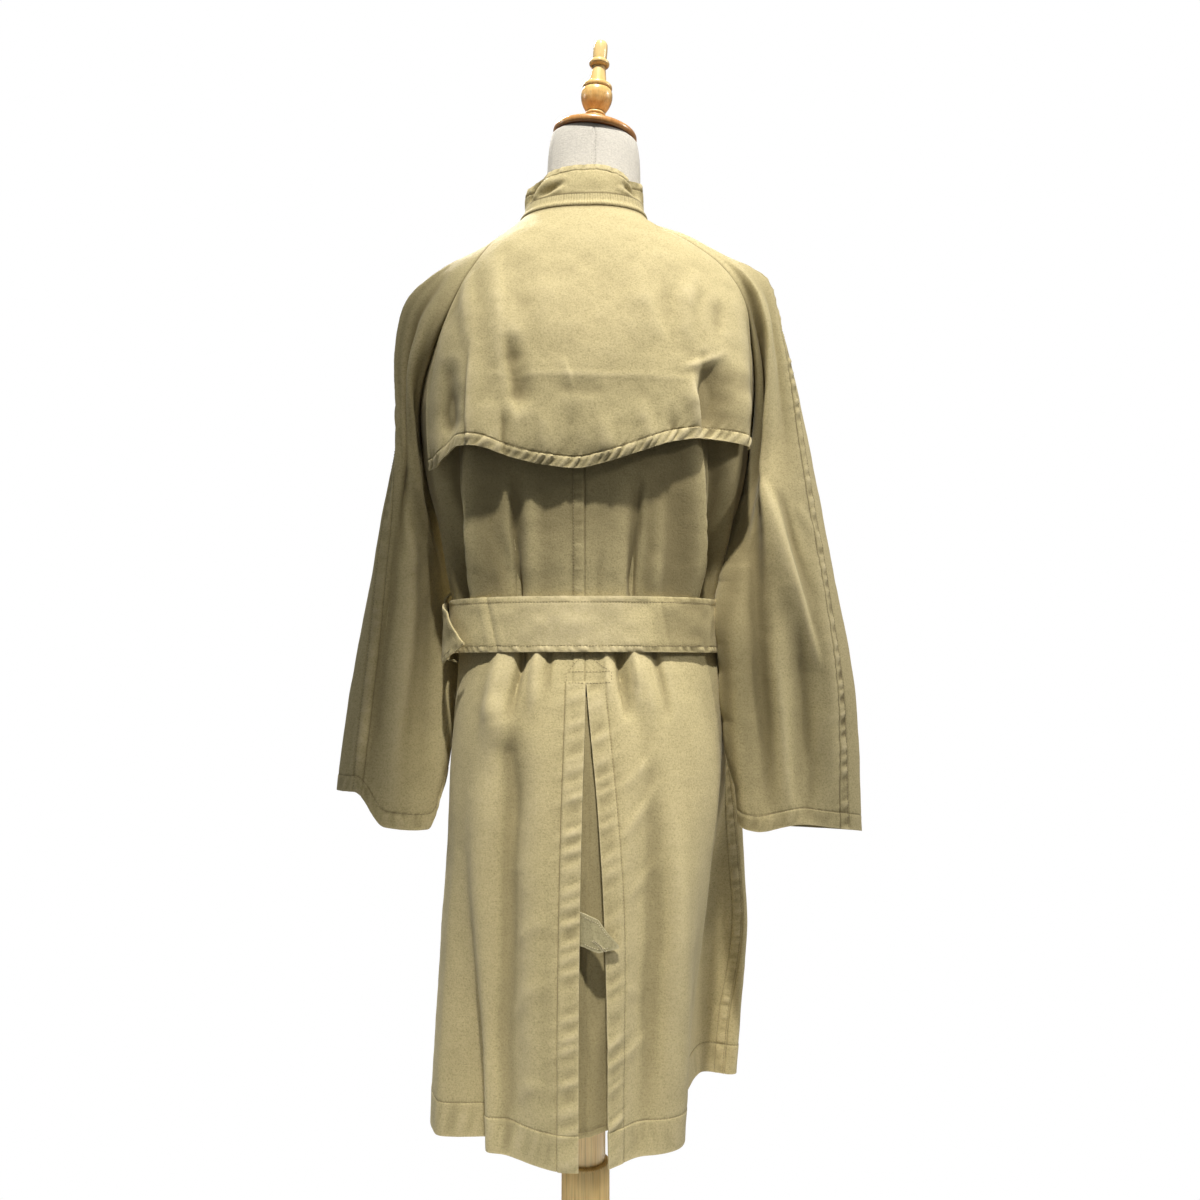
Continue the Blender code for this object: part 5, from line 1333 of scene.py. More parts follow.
def front_panel_fine(side):
    sg = 1 if side == "left" else -1

    def edges(i, zr):
        a_side = float(seam_angle(side, "front", zr)) + gaps[i]
        a_edge = 180.0 + front_edge(zr)
        last = 0.0012 * smoothstep((zr - 1.400) / 0.019)

        def zf(a):
            return np.where(a > 180, row_height(zr, 1.371), row_height(zr, neck_height(sg * np.minimum(a, 180.0)))) - last
        return a_side, a_edge, zf
    H = heights_for(NECK_Z, 0.0045)
    gaps = gap_curve(side, "front", H)
    edge_cols = [0.0, 0.0006, 0.003, 0.0058, 0.0070, 0.0082, 0.012, 0.020, 0.030, 0.036]
    A, Z = panel_grid(side, H, SEAM_COLS, edge_cols, 44, edges)
    zr = H[:, None] + 0 * A
    fe = np.array([front_edge(h) for h in H])[:, None]
    ang = sg * A
    off = -0.0044 * smoothstep((ang - (180.0 + fe - 2 * fe - 13)) / 11.0) if side == "right" else 0.0 * A
    p0 = body_point(A, Z, off)
    n0 = unit(body_point(A, Z, off + 0.01) - p0)
    U, U2, V, V2 = arcs(p0)
    d = body_detail(A, Z, p0)
    if side == "right":
        d = d * (1 - 0.6 * smoothstep((ang - 150) / 12.0))
    wear_and_painted_light = 0.5 + 0 * d
    down = smoothstep((1.11 - zr) / 0.02)
    if side == "left":
        g = gauss(U2 - 0.0070, 0.0007)
        d = d - 0.0004 * g
        rip = ridges(V, 0.010, 91, 0.4)
        band = np.sin(np.pi * np.clip(U2 / 0.007, 0, 1)) * (U2 < 0.007)
        d = d + 0.0003 * (rip - 0.5) * band
        wear_and_painted_light = wear_and_painted_light - 0.2 * g + 0.18 * (rip - 0.5) * band + 0.2 * gauss(U2, 0.0014)
    hs = gauss(V - 0.0350, 0.0007)
    d = d - 0.0004 * hs + 0.0002 * smoothstep((0.0352 - V) / 0.0020)
    hr = ridges(U + 0.25 * V, 0.0125, 53 + sg, 0.45)
    hb = np.sin(np.pi * np.clip(V / 0.035, 0, 1)) ** 0.8 * (V < 0.035)
    d = d + 0.00042 * (hr - 0.5) * hb
    wear_and_painted_light = wear_and_painted_light - 0.22 * hs + 0.18 * (hr - 0.5) * hb + 0.22 * gauss(V, 0.0016)
    g = gauss(U, 0.0008)
    d = d - 0.0006 * g
    wear_and_painted_light = wear_and_painted_light - 0.22 * g
    # faded ridges of the washed cloth, and painted shade in its hollows
    wear_and_painted_light = wear_and_painted_light + 0.20 * relief(d, 18)
    p = p0 + n0 * d[..., None]
    n = grid_normals(p)
    if np.mean(np.sum(n * n0, -1)) < 0:
        n = -n
    thick = 0.0011 + 0.0006 * smoothstep((0.0352 - V) / 0.001)
    ob = shell("cloth_front_" + side, p, n, thick, M_TWILL, uv=np.stack([U, V], -1), wear_and_painted_light=wear_and_painted_light, replaces=["front_" + side])
    out = p + n * thick[..., None] / 2
    rows = []
    a, b = iso_line(out, n, V, 0.0350, 0)
    rows.append(stitch_row(a, b, pitch=0.0038, seed=14))
    if side == "left":
        a, b = iso_line(out, n, U2, 0.0070, 1)
        rows.append(stitch_row(a, b, pitch=0.0038, seed=15))
    st = stitches("stitch_front_" + side, rows)
    return ob, st, out, n, A, H


# ------------------------------------------------------------------ underlay
def underlay_fine():
    zs = np.concatenate([[0.424, 0.4245, 0.427, 0.4290, 0.4300, 0.4310, 0.434], np.arange(0.440, 0.868, 0.004), [0.868]])
    cols = np.linspace(-1, 1, 61)
    half = 17.0 + 3.0 * (0.868 - zs) / 0.44
    ang = -3.5 + half[:, None] * cols[None, :]
    depth = 0.0085 + 0.010 * smoothstep((0.868 - zs) / 0.40)
    off = -(CLOTH + 0.0026) - (depth[:, None] - 0.0042) * (1 - np.abs(cols)[None, :] ** 3)
    Z = zs[:, None] + 0 * ang
    Z = Z - 0.004 * cols[None, :] * smoothstep((0.50 - zs) / 0.07)[:, None]
    p0 = body_point(ang, Z, off)
    n0 = unit(body_point(ang, Z, off + 0.01) - p0)
    U, U2, V, V2 = arcs(p0)
    x = p0[..., 0]
    d = 0.0010 * noise3(p0, (0.012, 0.03, 0.055), 17) + 0.0004 * noise3(p0, (0.008, 0.008, 0.02), 18)
    d = d - 0.0016 * gauss(x + 0.003 - 0.004 * noise1(Z, 0.06, 4), 0.0022) * smoothstep((0.80 - Z) / 0.05)
    d = d * smoothstep((np.minimum(U, U2)) / 0.02)
    g = gauss(V - 0.0062, 0.0006)
    # painted shade: the underlay, deep in the vent, is darker all over; a darker line at its stitching and a faded edge
    wear_and_painted_light = 0.24 - 0.2 * g + 0.2 * gauss(V, 0.0012)
    d = d - 0.0004 * g
    p = p0 + n0 * d[..., None]
    n = grid_normals(p)
    if np.mean(np.sum(n * n0, -1)) < 0:
        n = -n
    ob = shell("cloth_vent_underlay", p, n, 0.0011, M_TWILL, uv=np.stack([U, V], -1), wear_and_painted_light=wear_and_painted_light, replaces=["vent_underlay"])
    out = p + n * 0.00055
    a, b = iso_line(out, n, V, 0.0062, 0)
    st = stitches("stitch_underlay", [stitch_row(a, b, seed=23)])
    return ob, st


# ---------------------------------------------------------------- storm flap
FLAP_CREASES = [
    # across the back in metres from the centre, from the top of each down
    (0.1190, 1.235, 0.1205, 1.100, 0.000, 0.017, 0.0024, 0.0080),
    (0.1440, 1.222, 0.1460, 1.126, 0.001, 0.013, 0.010, -0.0115),
    (0.0790, 1.244, 0.0670, 1.170, 0.001, 0.015, 0.008, -0.0100),
    (0.0910, 1.300, 0.0850, 1.196, 0.000, 0.007, 0.011, 0.0040),
    (0.0850, 1.170, 0.0825, 1.105, 0.001, 0.008, 0.0030, -0.0046),
    (0.0990, 1.190, 0.0990, 1.110, 0.000, 0.009, 0.009, 0.0024),
    (0.0915, 1.2075, -0.1120, 1.2030, 0.002, 0.0024, 0.0020, 0.0012),
    (0.0300, 1.190, -0.0250, 1.188, 0.001, 0.010, 0.010, -0.0024),
    (0.0220, 1.222, 0.0120, 1.190, 0.000, 0.0030, 0.006, 0.0016),
    (-0.1020, 1.214, -0.1480, 1.236, 0.001, 0.0040, 0.0050, 0.0036),
    (-0.1260, 1.226, -0.1280, 1.132, 0.001, 0.026, 0.0060, -0.0135),
    (-0.1110, 1.206, -0.1250, 1.152, 0.001, 0.0028, 0.014, 0.0066),
    (0.1330, 1.345, 0.1180, 1.240, 0.003, 0.012, 0.007, 0.0046),
    (0.0980, 1.360, 0.0850, 1.252, 0.003, 0.010, 0.014, 0.0034),
    (0.0700, 1.345, 0.0600, 1.240, 0.003, 0.014, 0.010, -0.0034),
    (0.0400, 1.330, 0.0420, 1.235, 0.002, 0.014, 0.014, 0.0020),
    (-0.0200, 1.350, -0.0280, 1.240, 0.002, 0.018, 0.018, -0.0016),
    (-0.0560, 1.340, -0.0760, 1.250, 0.003, 0.009, 0.014, 0.0028),
    (-0.0860, 1.330, -0.0960, 1.236, 0.003, 0.012, 0.010, -0.0030),
    (-0.1200, 1.330, -0.1040, 1.246, 0.003, 0.008, 0.014, 0.0034),
    (-0.1460, 1.300, -0.1420, 1.250, 0.001, 0.008, 0.010, -0.0028),
    (0.0420, 1.165, 0.0380, 1.100, 0.001, 0.012, 0.008, 0.0030),
    (0.0120, 1.172, 0.0160, 1.108, 0.001, 0.010, 0.010, -0.0030),
    (-0.0200, 1.165, -0.0240, 1.110, 0.001, 0.010, 0.008, 0.0026),
    (-0.0600, 1.175, -0.0720, 1.125, 0.001, 0.009, 0.009, 0.0028),
    (-0.0880, 1.172, -0.0980, 1.130, 0.000, 0.006, 0.007, -0.0026),
    (0.1560, 1.300, 0.1580, 1.230, 0.001, 0.008, 0.008, 0.0022),
    (-0.1640, 1.232, -0.1640, 1.118, 0.000, 0.020, 0.018, 0.0085),
]


def flap_fine():
    tt = np.concatenate([np.array([0.0, 0.0005, 0.002, 0.0045, 0.007, 0.0095, 0.0112, 0.0120, 0.0128, 0.0145, 0.0175]) / 0.29,
                         np.linspace(0.0205 / 0.29, 1.0, 86)])
    ss = np.sort(np.unique(np.concatenate([np.linspace(-1, 1, 301), [-0.9985, 0.9985]])))
    S, T = np.meshgrid(ss, tt)
    left = S >= 0
    Z = np.full(S.shape, 1.2)
    ang = S * 70.0
    for _ in range(4):
        top = neck_height(ang) - 0.0012
        edge = look(FLAP_EDGE, FLAP_EDGE_COLS, "z", ang)
        Z = edge + (top - edge) * T
        k = (top - UNDERARM_Z) / (NECK_Z - UNDERARM_Z)
        zr = UNDERARM_Z + (Z - UNDERARM_Z) / k
        zr = np.clip(zr, 1.105, NECK_Z)
        lim = np.where(left, look(FLAP_SIDE, FLAP_SIDE_COLS, "left", zr), look(FLAP_SIDE, FLAP_SIDE_COLS, "right", zr))
        ang = S * lim
    off = flap_offset(ang, Z, edge)
    p0 = body_point(ang, Z, off, folds=False)
    n0 = unit(body_point(ang, Z, off + 0.01, folds=False) - p0)
    U, U2, V, V2 = arcs(p0)
    x = p0[..., 0]
    free = smoothstep((V2 - 0.012) / 0.03)
    calm = smoothstep(np.minimum(U, U2) / 0.012)
    d = line_crease(x, Z, FLAP_CREASES, 131)
    d = d + 0.0010 * noise3(p0, (0.045, 0.045, 0.070), 25) + 0.00036 * noise3(p0, (0.018, 0.018, 0.022), 28)
    d = d + 0.00016 * noise3(p0, (0.007, 0.007, 0.009), 29)
    full = 0.0065 * smoothstep((1.345 - Z) / 0.10) * smoothstep((Z - 1.090) / 0.05)
    d = (1.35 * d + full * smoothstep(np.minimum(U, U2) / 0.030)) * free * (0.25 + 0.75 * calm)
    d = np.maximum(d, -0.0012 - 0.6 * (off - 0.0031))
    wear_and_painted_light = 0.5 + 0 * d
    # the hem: diagonal pinches between its edge and the stitching
    lev = 0.0120
    pin = ridges(U * 1.0 + 0.75 * V, 0.0088, 35, 0.45)
    band = np.sin(np.pi * np.clip(V / lev * 0.9 + 0.08, 0, 1)) ** 0.8 * (V < lev)
    d = d + 0.0030 * (pin - 0.42) * band + 0.0007 * smoothstep((lev - V) / 0.001)
    g = gauss(V - lev, 0.0006)
    d = d - 0.0007 * g
    over = np.exp(-np.maximum(V - lev, 0) / 0.006) * (V > lev)
    d = d + 0.0009 * (pin - 0.5) * over
    wear_and_painted_light = wear_and_painted_light - 0.34 * g + 0.62 * (pin - 0.42) * band + 0.16 * band + 0.30 * gauss(V, 0.0013) + 0.20 * (pin - 0.45) * over
    # painted shadow of the collar along the flap's top edge
    wear_and_painted_light = wear_and_painted_light - 0.50 * gauss(V2, 0.0026)
    # faded ridges, and painted shade in the hollows
    wear_and_painted_light = wear_and_painted_light + 0.40 * relief(d)
    # painted shade over the flap's end at the wearer's right and in two hollows towards the wearer's left
    wear_and_painted_light = wear_and_painted_light - 0.36 * smoothstep((-p0[..., 0] - 0.121) / 0.008) * smoothstep((1.236 - p0[..., 2]) / 0.026) \
        * smoothstep((p0[..., 2] - 1.124) / 0.026)
    wear_and_painted_light = wear_and_painted_light - 0.16 * gauss(p0[..., 0] - 0.141, 0.012) * gauss(p0[..., 2] - 1.185, 0.034)
    wear_and_painted_light = wear_and_painted_light - 0.14 * gauss(p0[..., 0] - 0.072, 0.014) * gauss(p0[..., 2] - 1.196, 0.026)
    low = smoothstep((1.29 - Z) / 0.02)
    wear_and_painted_light = wear_and_painted_light + 0.30 * gauss(np.minimum(U, U2), 0.0013) * low + 0.18 * gauss(np.minimum(U, U2), 0.0020) * (1 - low)
    p = p0 + n0 * d[..., None]
    n = grid_normals(p)
    if np.mean(np.sum(n * n0, -1)) < 0:
        n = -n
    thick = 0.0012 + 0.0007 * smoothstep((lev - V) / 0.001)
    ob = shell("cloth_storm_flap", p, n, thick, M_FLAP, uv=np.stack([U, V], -1), wear_and_painted_light=wear_and_painted_light, replaces=["storm_flap"])
    out = p + n * thick[..., None] / 2
    a, b = iso_line(out, n, V, lev, 0)
    st = stitches("stitch_flap", [stitch_row(a, b, seed=31)])
    return ob, st


# ------------------------------------------------------------------- sleeves
def rows_catmull(vals, s):
    """Catmull-Rom through equally spaced rows at many parameters."""
    vals = np.asarray(vals, float)
    flat = vals.ndim == 1
    if flat:
        vals = vals[:, None]
    n = len(vals)
    s = np.asarray(s, float)
    k = np.clip(np.floor(s).astype(int), 0, n - 2)
    t = (s - k)[:, None]
    ext = np.concatenate([[2 * vals[0] - vals[1]], vals, [2 * vals[-1] - vals[-2]]])
    p0, p1, p2, p3 = ext[k], ext[k + 1], ext[k + 2], ext[k + 3]
    out = 0.5 * ((2 * p1) + (-p0 + p2) * t + (2 * p0 - 5 * p1 + 4 * p2 - p3) * t * t
                 + (-p0 + 3 * p1 - 3 * p2 + p3) * t ** 3)
    return out[:, 0] if flat else out


def sleeve_frame(side, s):
    """Per station: overarm point, back and front seam points, bulges."""
    sg = 1 if side == "left" else -1
    table = SLEEVE_LEFT if side == "left" else SLEEVE_RIGHT
    o = np.stack([sg * rows_catmull(column(table, SLEEVE_COLS, "ox"), s),
                  rows_catmull(column(table, SLEEVE_COLS, "oy"), s),
                  rows_catmull(column(table, SLEEVE_COLS, "oz"), s)], -1)
    hb = rows_catmull(column(table, SLEEVE_COLS, "hb"), s)
    hf = rows_catmull(column(table, SLEEVE_COLS, "hf"), s)

    def on_body(which, st):
        zr = np.interp(st, range(UNDER_ROW + 1), UP_ROWS[::-1])
        a = seam_angle(side, which, zr)
        z = row_height(zr, neck_height(sg * a))
        return body_point(sg * a, z, LAP)
    start = on_body("back", np.array([float(UNDER_ROW)]))[0]
    pts = [2 * start - np.array([sg * table[UNDER_ROW + 1][4], table[UNDER_ROW + 1][5], table[UNDER_ROW + 1][6]]), start]
    for row in table[UNDER_ROW + 1:]:
        pts.append(np.array([sg * row[4], row[5], row[6]]))
    low = rows_catmull(np.array(pts), np.maximum(s, UNDER_ROW) - UNDER_ROW + 1)
    up = s <= UNDER_ROW
    b = np.where(up[:, None], on_body("back", np.minimum(s, UNDER_ROW)), low)
    f = np.where(up[:, None], on_body("front", np.minimum(s, UNDER_ROW)), low)
    return o, b, f, hb, hf


def sleeve_surface(side, s, phi):
    """Points of the sleeve for stations s (R) and angles phi (R, C)."""
    o, b, f, hb, hf = sleeve_frame(side, s)
    m = (b + f) / 2
    ph = np.radians(phi)
    q = np.sin(ph / 2) ** 2
    h = np.where(phi > 0, hb[:, None], hf[:, None])
    sgn = np.where(phi >= 0, 1.0, -1.0)
    p = o[:, None, :] + q[..., None] * (m - o)[:, None, :] \
        + (np.abs(np.sin(ph / 2)) * sgn)[..., None] * ((b - f) / 2)[:, None, :]
    p = p + np.stack([0 * ph, np.sin(ph) * h, 0 * ph], -1)
    droop = look(CUFF, CUFF_COLS, side, phi)
    p[..., 2] += droop * smoothstep((s[:, None] - 10.5) / 2.5)
    return p


# Creases of the sleeves: station and angle where each starts and ends, half
# width in degrees on either side, height.
SLEEVE_CREASES = {
    "left": [
        (1.6, 8, 6.6, 0, 46, 46, -0.0062),
        (2.2, 64, 8.2, 58, 6, 7, 0.0066), (2.8, 92, 8.6, 88, 9, 14, -0.0125),
        (3.4, 124, 8.0, 126, 12, 12, 0.0045), (4.0, 156, 9.0, 158, 14, 12, -0.0080),
        (6.8, 40, 9.8, 44, 12, 9, 0.0030), (8.0, 76, 12.6, 68, 9, 13, -0.0080),
        (8.4, 104, 12.4, 96, 12, 8, 0.0070), (8.6, 132, 12.2, 124, 12, 12, -0.0050),
        (7.0, 118, 9.2, 150, 8, 10, 0.0036), (10.6, 58, 12.9, 52, 9, 11, 0.0034),
        (9.4, 156, 12.4, 150, 12, 12, 0.0040), (7.6, 92, 9.0, 104, 6, 8, 0.0026),
        (8.4, -176, 11.7, -176, 26, 26, 0.0085),
        (3.0, -60, 8.0, -70, 12, 14, 0.0055), (6.0, -110, 11.0, -100, 12, 12, -0.0060),
        (8.0, -50, 12.5, -60, 14, 12, -0.0050), (9.0, -140, 12.5, -130, 14, 14, 0.0045),
    ],
    "right": [
        (2.1, 108, 9.4, 112, 20, 9, 0.0140), (2.2, 108, 9.2, 112, 3, 3, 0.0014),
        (2.5, 142, 8.6, 144, 18, 16, -0.0120),
        (3.4, 70, 7.4, 78, 12, 12, -0.0040), (3.0, 46, 7.6, 50, 12, 12, 0.0026),
        (7.6, 112, 10.4, 72, 6, 15, 0.0125), (7.9, 100, 9.6, 66, 6, 8, -0.0030),
        (8.6, 130, 12.6, 120, 13, 12, -0.0115), (9.6, 88, 12.8, 84, 8, 14, -0.0110),
        (9.0, 56, 12.4, 60, 9, 10, 0.0056), (10.2, 112, 12.9, 106, 8, 12, 0.0064),
        (9.6, 152, 12.8, 154, 12, 12, 0.0046), (7.0, 122, 8.6, 140, 6, 9, 0.0030),
        (8.2, 74, 9.0, 44, 6, 8, 0.0022), (11.2, 66, 12.6, 92, 6, 7, 0.0018),
        (7.2, -176, 9.1, -176, 26, 22, 0.0115), (9.0, -174, 11.2, -174, 26, 26, 0.0130),
        (10.7, -174, 12.3, -174, 24, 26, 0.0100), (8.1, -176, 10.1, -175, 26, 24, 0.0075),
        (3.0, -60, 8.0, -72, 12, 14, 0.0055), (6.0, -112, 11.0, -100, 12, 12, -0.0060),
        (8.0, -52, 12.5, -62, 14, 12, -0.0050), (9.0, -132, 12.5, -128, 14, 14, 0.0045),
    ],
}


def sleeve_detail(side, S, PHI, p):
    d = 0.0
    for k, (s0, a0, s1, a1, wl, wr, high) in enumerate(SLEEVE_CREASES[side]):
        t = (S - s0) / (s1 - s0)
        tc = np.clip(t, 0, 1)
        mid = a0 + (a1 - a0) * tc + 5.0 * noise1(S, 1.3, 200 + k)
        x = wrap(PHI - mid)
        ends = np.sin(np.pi * np.clip((t + 0.06) / 1.12, 0, 1)) ** 0.9
        d = d + high * ends * two_sided(x, wl, wr)
    d = d + 0.0012 * noise3(p, (0.050, 0.050, 0.100), 41) + 0.00045 * noise3(p, (0.020, 0.020, 0.032), 43)
    d = d + 0.00018 * noise3(p, (0.008, 0.008, 0.012), 44)
    grow = smoothstep(S / 2.5)
    return d * grow


def sleeve_half_fine(side, which):
    sg = 1 if side == "left" else -1
    table = SLEEVE_LEFT if side == "left" else SLEEVE_RIGHT
    last = len(table) - 1
    # stations at an even spacing along the overarm, with rows for the hem
    dense = np.linspace(0.03, last, 1200)
    o = sleeve_frame(side, dense)[0]
    run = np.concatenate([[0], np.cumsum(np.linalg.norm(np.diff(o, axis=0), axis=1))])
    hem = [0.0, 0.0006, 0.003, 0.007, 0.012, 0.0155, 0.0170, 0.0178, 0.0186, 0.0205, 0.024]
    top = run[-1] - np.array(hem)[::-1]
    pos = np.concatenate([np.arange(0, top[0] - 0.0015, 0.0025 if which == 'back' else 0.0040), top])
    s = np.interp(pos, run, dense)
    s[0] = 0.03
    seam = rows_catmull(column(table, SLEEVE_COLS, "seam"), s)
    g = math.degrees(GAP / 2 / 0.05)
    if which == "back":
        lo = seam + g
        hi = np.where(s > UNDER_ROW, 180.0 - g, 180.0 - 0.4 * smoothstep((s - UNDER_ROW + 0.3) / 0.3))
    else:
        hi = seam - g
        lo = np.where(s > UNDER_ROW, -180.0 + g, -180.0 + 0.4 * smoothstep((s - UNDER_ROW + 0.3) / 0.3))
    # columns at fixed distances from the overarm seam
    cols_o = np.array([0.0, 0.0005, 0.0013, 0.0028, 0.005, 0.0080, 0.0104, 0.0114, 0.0120, 0.0126, 0.0145, 0.018, 0.022])
    cols_u = np.array([0.0, 0.0006, 0.002, 0.005])
    nm = 56 if which == 'back' else 44
    t200 = np.linspace(0, 1, 180)[None, :]
    if which == "back":
        dn = lo[:, None] + (hi - lo)[:, None] * t200
    else:
        dn = hi[:, None] + (lo - hi)[:, None] * t200
    PHI = spread(sleeve_surface(side, s, dn), dn, cols_o, cols_u, nm)
    S = s[:, None] + 0 * PHI
    p0 = sleeve_surface(side, s, PHI)
    sign = 1.0
    far = arcs(p0)[1]
    p0 = soften(p0, smoothstep((S - 5.4) / 1.0) * smoothstep((9.4 - S) / 1.2) * smoothstep(far / 0.030),
                110 if which == "back" else 45)
    n0 = grid_normals(p0)
    ref = sleeve_frame(side, s)
    axis_mid = (ref[0] + (ref[1] + ref[2]) / 2) / 2
    if np.mean(np.sum(n0 * (p0 - axis_mid[:, None, :]), -1)) < 0:
        sign = -1.0
    n0 = n0 * sign
    U, U2, V, V2 = arcs(p0)
    d = sleeve_detail(side, S, PHI, p0)
    # calm next to the armhole seam
    d = d * (0.12 + 0.88 * smoothstep((U2 + 0.030 * smoothstep((S - 5.6) / 2.2)) / 0.024))
    wear_and_painted_light = 0.5 + 0 * d
    full = smoothstep((V - 0.10) / 0.10)
    # felled overarm seam: the band of pinches lies on the back half
    g1 = gauss(U, 0.0007)
    d = d - 0.0005 * g1 * smoothstep(V / 0.03)
    wear_and_painted_light = wear_and_painted_light - 0.24 * g1
    if which == "back":
        lev = 0.0120
        r = ridges(V, 0.0128, 61 + sg, 0.4)
        full = full * (0.22 if side == "left" else 0.85)
        band = np.sin(np.pi * np.clip(U / lev, 0, 1)) ** 0.8 * (U < lev)
        d = d + 0.0038 * (r - 0.40) * band * (0.1 + 0.9 * full)
        g2 = gauss(U - lev, 0.0006) + 0.7 * gauss(U - 0.0016, 0.0005)
        d = d - 0.0006 * g2 * (0.3 + 0.7 * full) + 0.0006 * smoothstep((lev - U) / 0.001)
        over = np.exp(-np.maximum(U - lev, 0) / 0.007) * (U > lev)
        d = d + 0.0009 * (r - 0.5) * over * full
        wear_and_painted_light = wear_and_painted_light + 0.74 * (r - 0.38) * band * (0.1 + 0.9 * full) - 0.30 * g2 + 0.2 * (r - 0.5) * over * full
    # cuff hem
    hl = 0.0178
    hs = gauss(V2 - hl, 0.0007)
    hr = ridges(U + 0.3 * V2, 0.0115, 65 + sg, 0.45)
    hb = np.sin(np.pi * np.clip(V2 / hl, 0, 1)) ** 0.8 * (V2 < hl)
    near = np.exp(-np.abs(V2 - hl) / 0.004)
    nr = ridges(U - 0.2 * V2, 0.0066, 59 + sg, 0.45)
    d = d - 0.0004 * hs + 0.0002 * smoothstep((hl - V2) / 0.002) + 0.0009 * (hr - 0.5) * hb + 0.0006 * (nr - 0.5) * near
    wear_and_painted_light = wear_and_painted_light - 0.18 * hs + 0.30 * (hr - 0.5) * hb + 0.22 * gauss(V2, 0.0015) + 0.22 * (nr - 0.5) * near
    # a darker line along the armhole seam; faded ridges, and painted shade in the hollows
    wear_and_painted_light = wear_and_painted_light - 0.42 * gauss(U2, 0.0020) * (S < UNDER_ROW) + 0.28 * relief(d, 36 if which == "back" else 18)
    if which == "back":
        # painted shade: on the back halves the left sleeve is darker over most of its length, the right one a little
        # darker overall and much darker on its inner side
        if side == "left":
            wear_and_painted_light = wear_and_painted_light - 0.17 * smoothstep((S - 1.6) / 1.6) * smoothstep((9.5 - S) / 3.0)
        else:
            wear_and_painted_light = wear_and_painted_light - 0.07 * smoothstep((S - 1.6) / 1.6)
            wear_and_painted_light = wear_and_painted_light - 0.34 * smoothstep((PHI - 104) / 12) * smoothstep((S - 2.2) / 1.0) * smoothstep((12.9 - S) / 2.5)
    p = p0 + n0 * d[..., None]
    n = grid_normals(p)
    if np.mean(np.sum(n * n0, -1)) < 0:
        n = -n
    thick = 0.0011 + 0.0006 * smoothstep((hl - V2) / 0.001)
    ob = shell("cloth_sleeve_%s_%s" % (side, which), p, n, thick, M_TWILL, uv=np.stack([U, V], -1), wear_and_painted_light=wear_and_painted_light,
               replaces=["sleeve_%s_%s" % (side, which)])
    out = p + n * thick[..., None] / 2
    rows = []
    a, b = iso_line(out, n, V2, hl, 0)
    rows.append(stitch_row(a, b, seed=71))
    if which == "back":
        for lv in (0.0016, 0.0120):
            a, b = iso_line(out[8:], n[8:], U[8:], lv, 1)
            rows.append(stitch_row(a, b, seed=72))
    st = stitches("stitch_sleeve_%s_%s" % (side, which), rows)
    return ob, st


# -------------------------------------------------------------------- collar
def collar_surface(ang, t, z0):
    """ang (C), t (R, C): heights above the neck seam."""
    p = body_point(ang, z0, 0.0, folds=False)
    a = np.radians(ang)
    rad = np.stack([np.sin(a), np.cos(a), 0 * a], -1)
    hi = np.where(np.sin(a) >= 0, COLLAR_LEAN[1] + 3.0, COLLAR_LEAN[2] + 5.0)
    lean_a = np.radians(COLLAR_LEAN[0] + (hi - COLLAR_LEAN[0]) * np.sin(a) ** 2)
    bulge = 0.0016 * np.sin(np.pi * np.clip((t - COLLAR_BAND) / (COLLAR_H - COLLAR_BAND), 0, 1))
    out = p[None, :, :] + np.stack([0 * t, 0 * t, t * np.cos(lean_a)[None, :]], -1) \
        + rad[None, :, :] * (-t * np.sin(lean_a)[None, :] + bulge)[..., None]
    n = np.stack([np.sin(a) * np.cos(lean_a), np.cos(a) * np.cos(lean_a), np.sin(lean_a)], -1)
    return out, np.broadcast_to(n[None], out.shape)


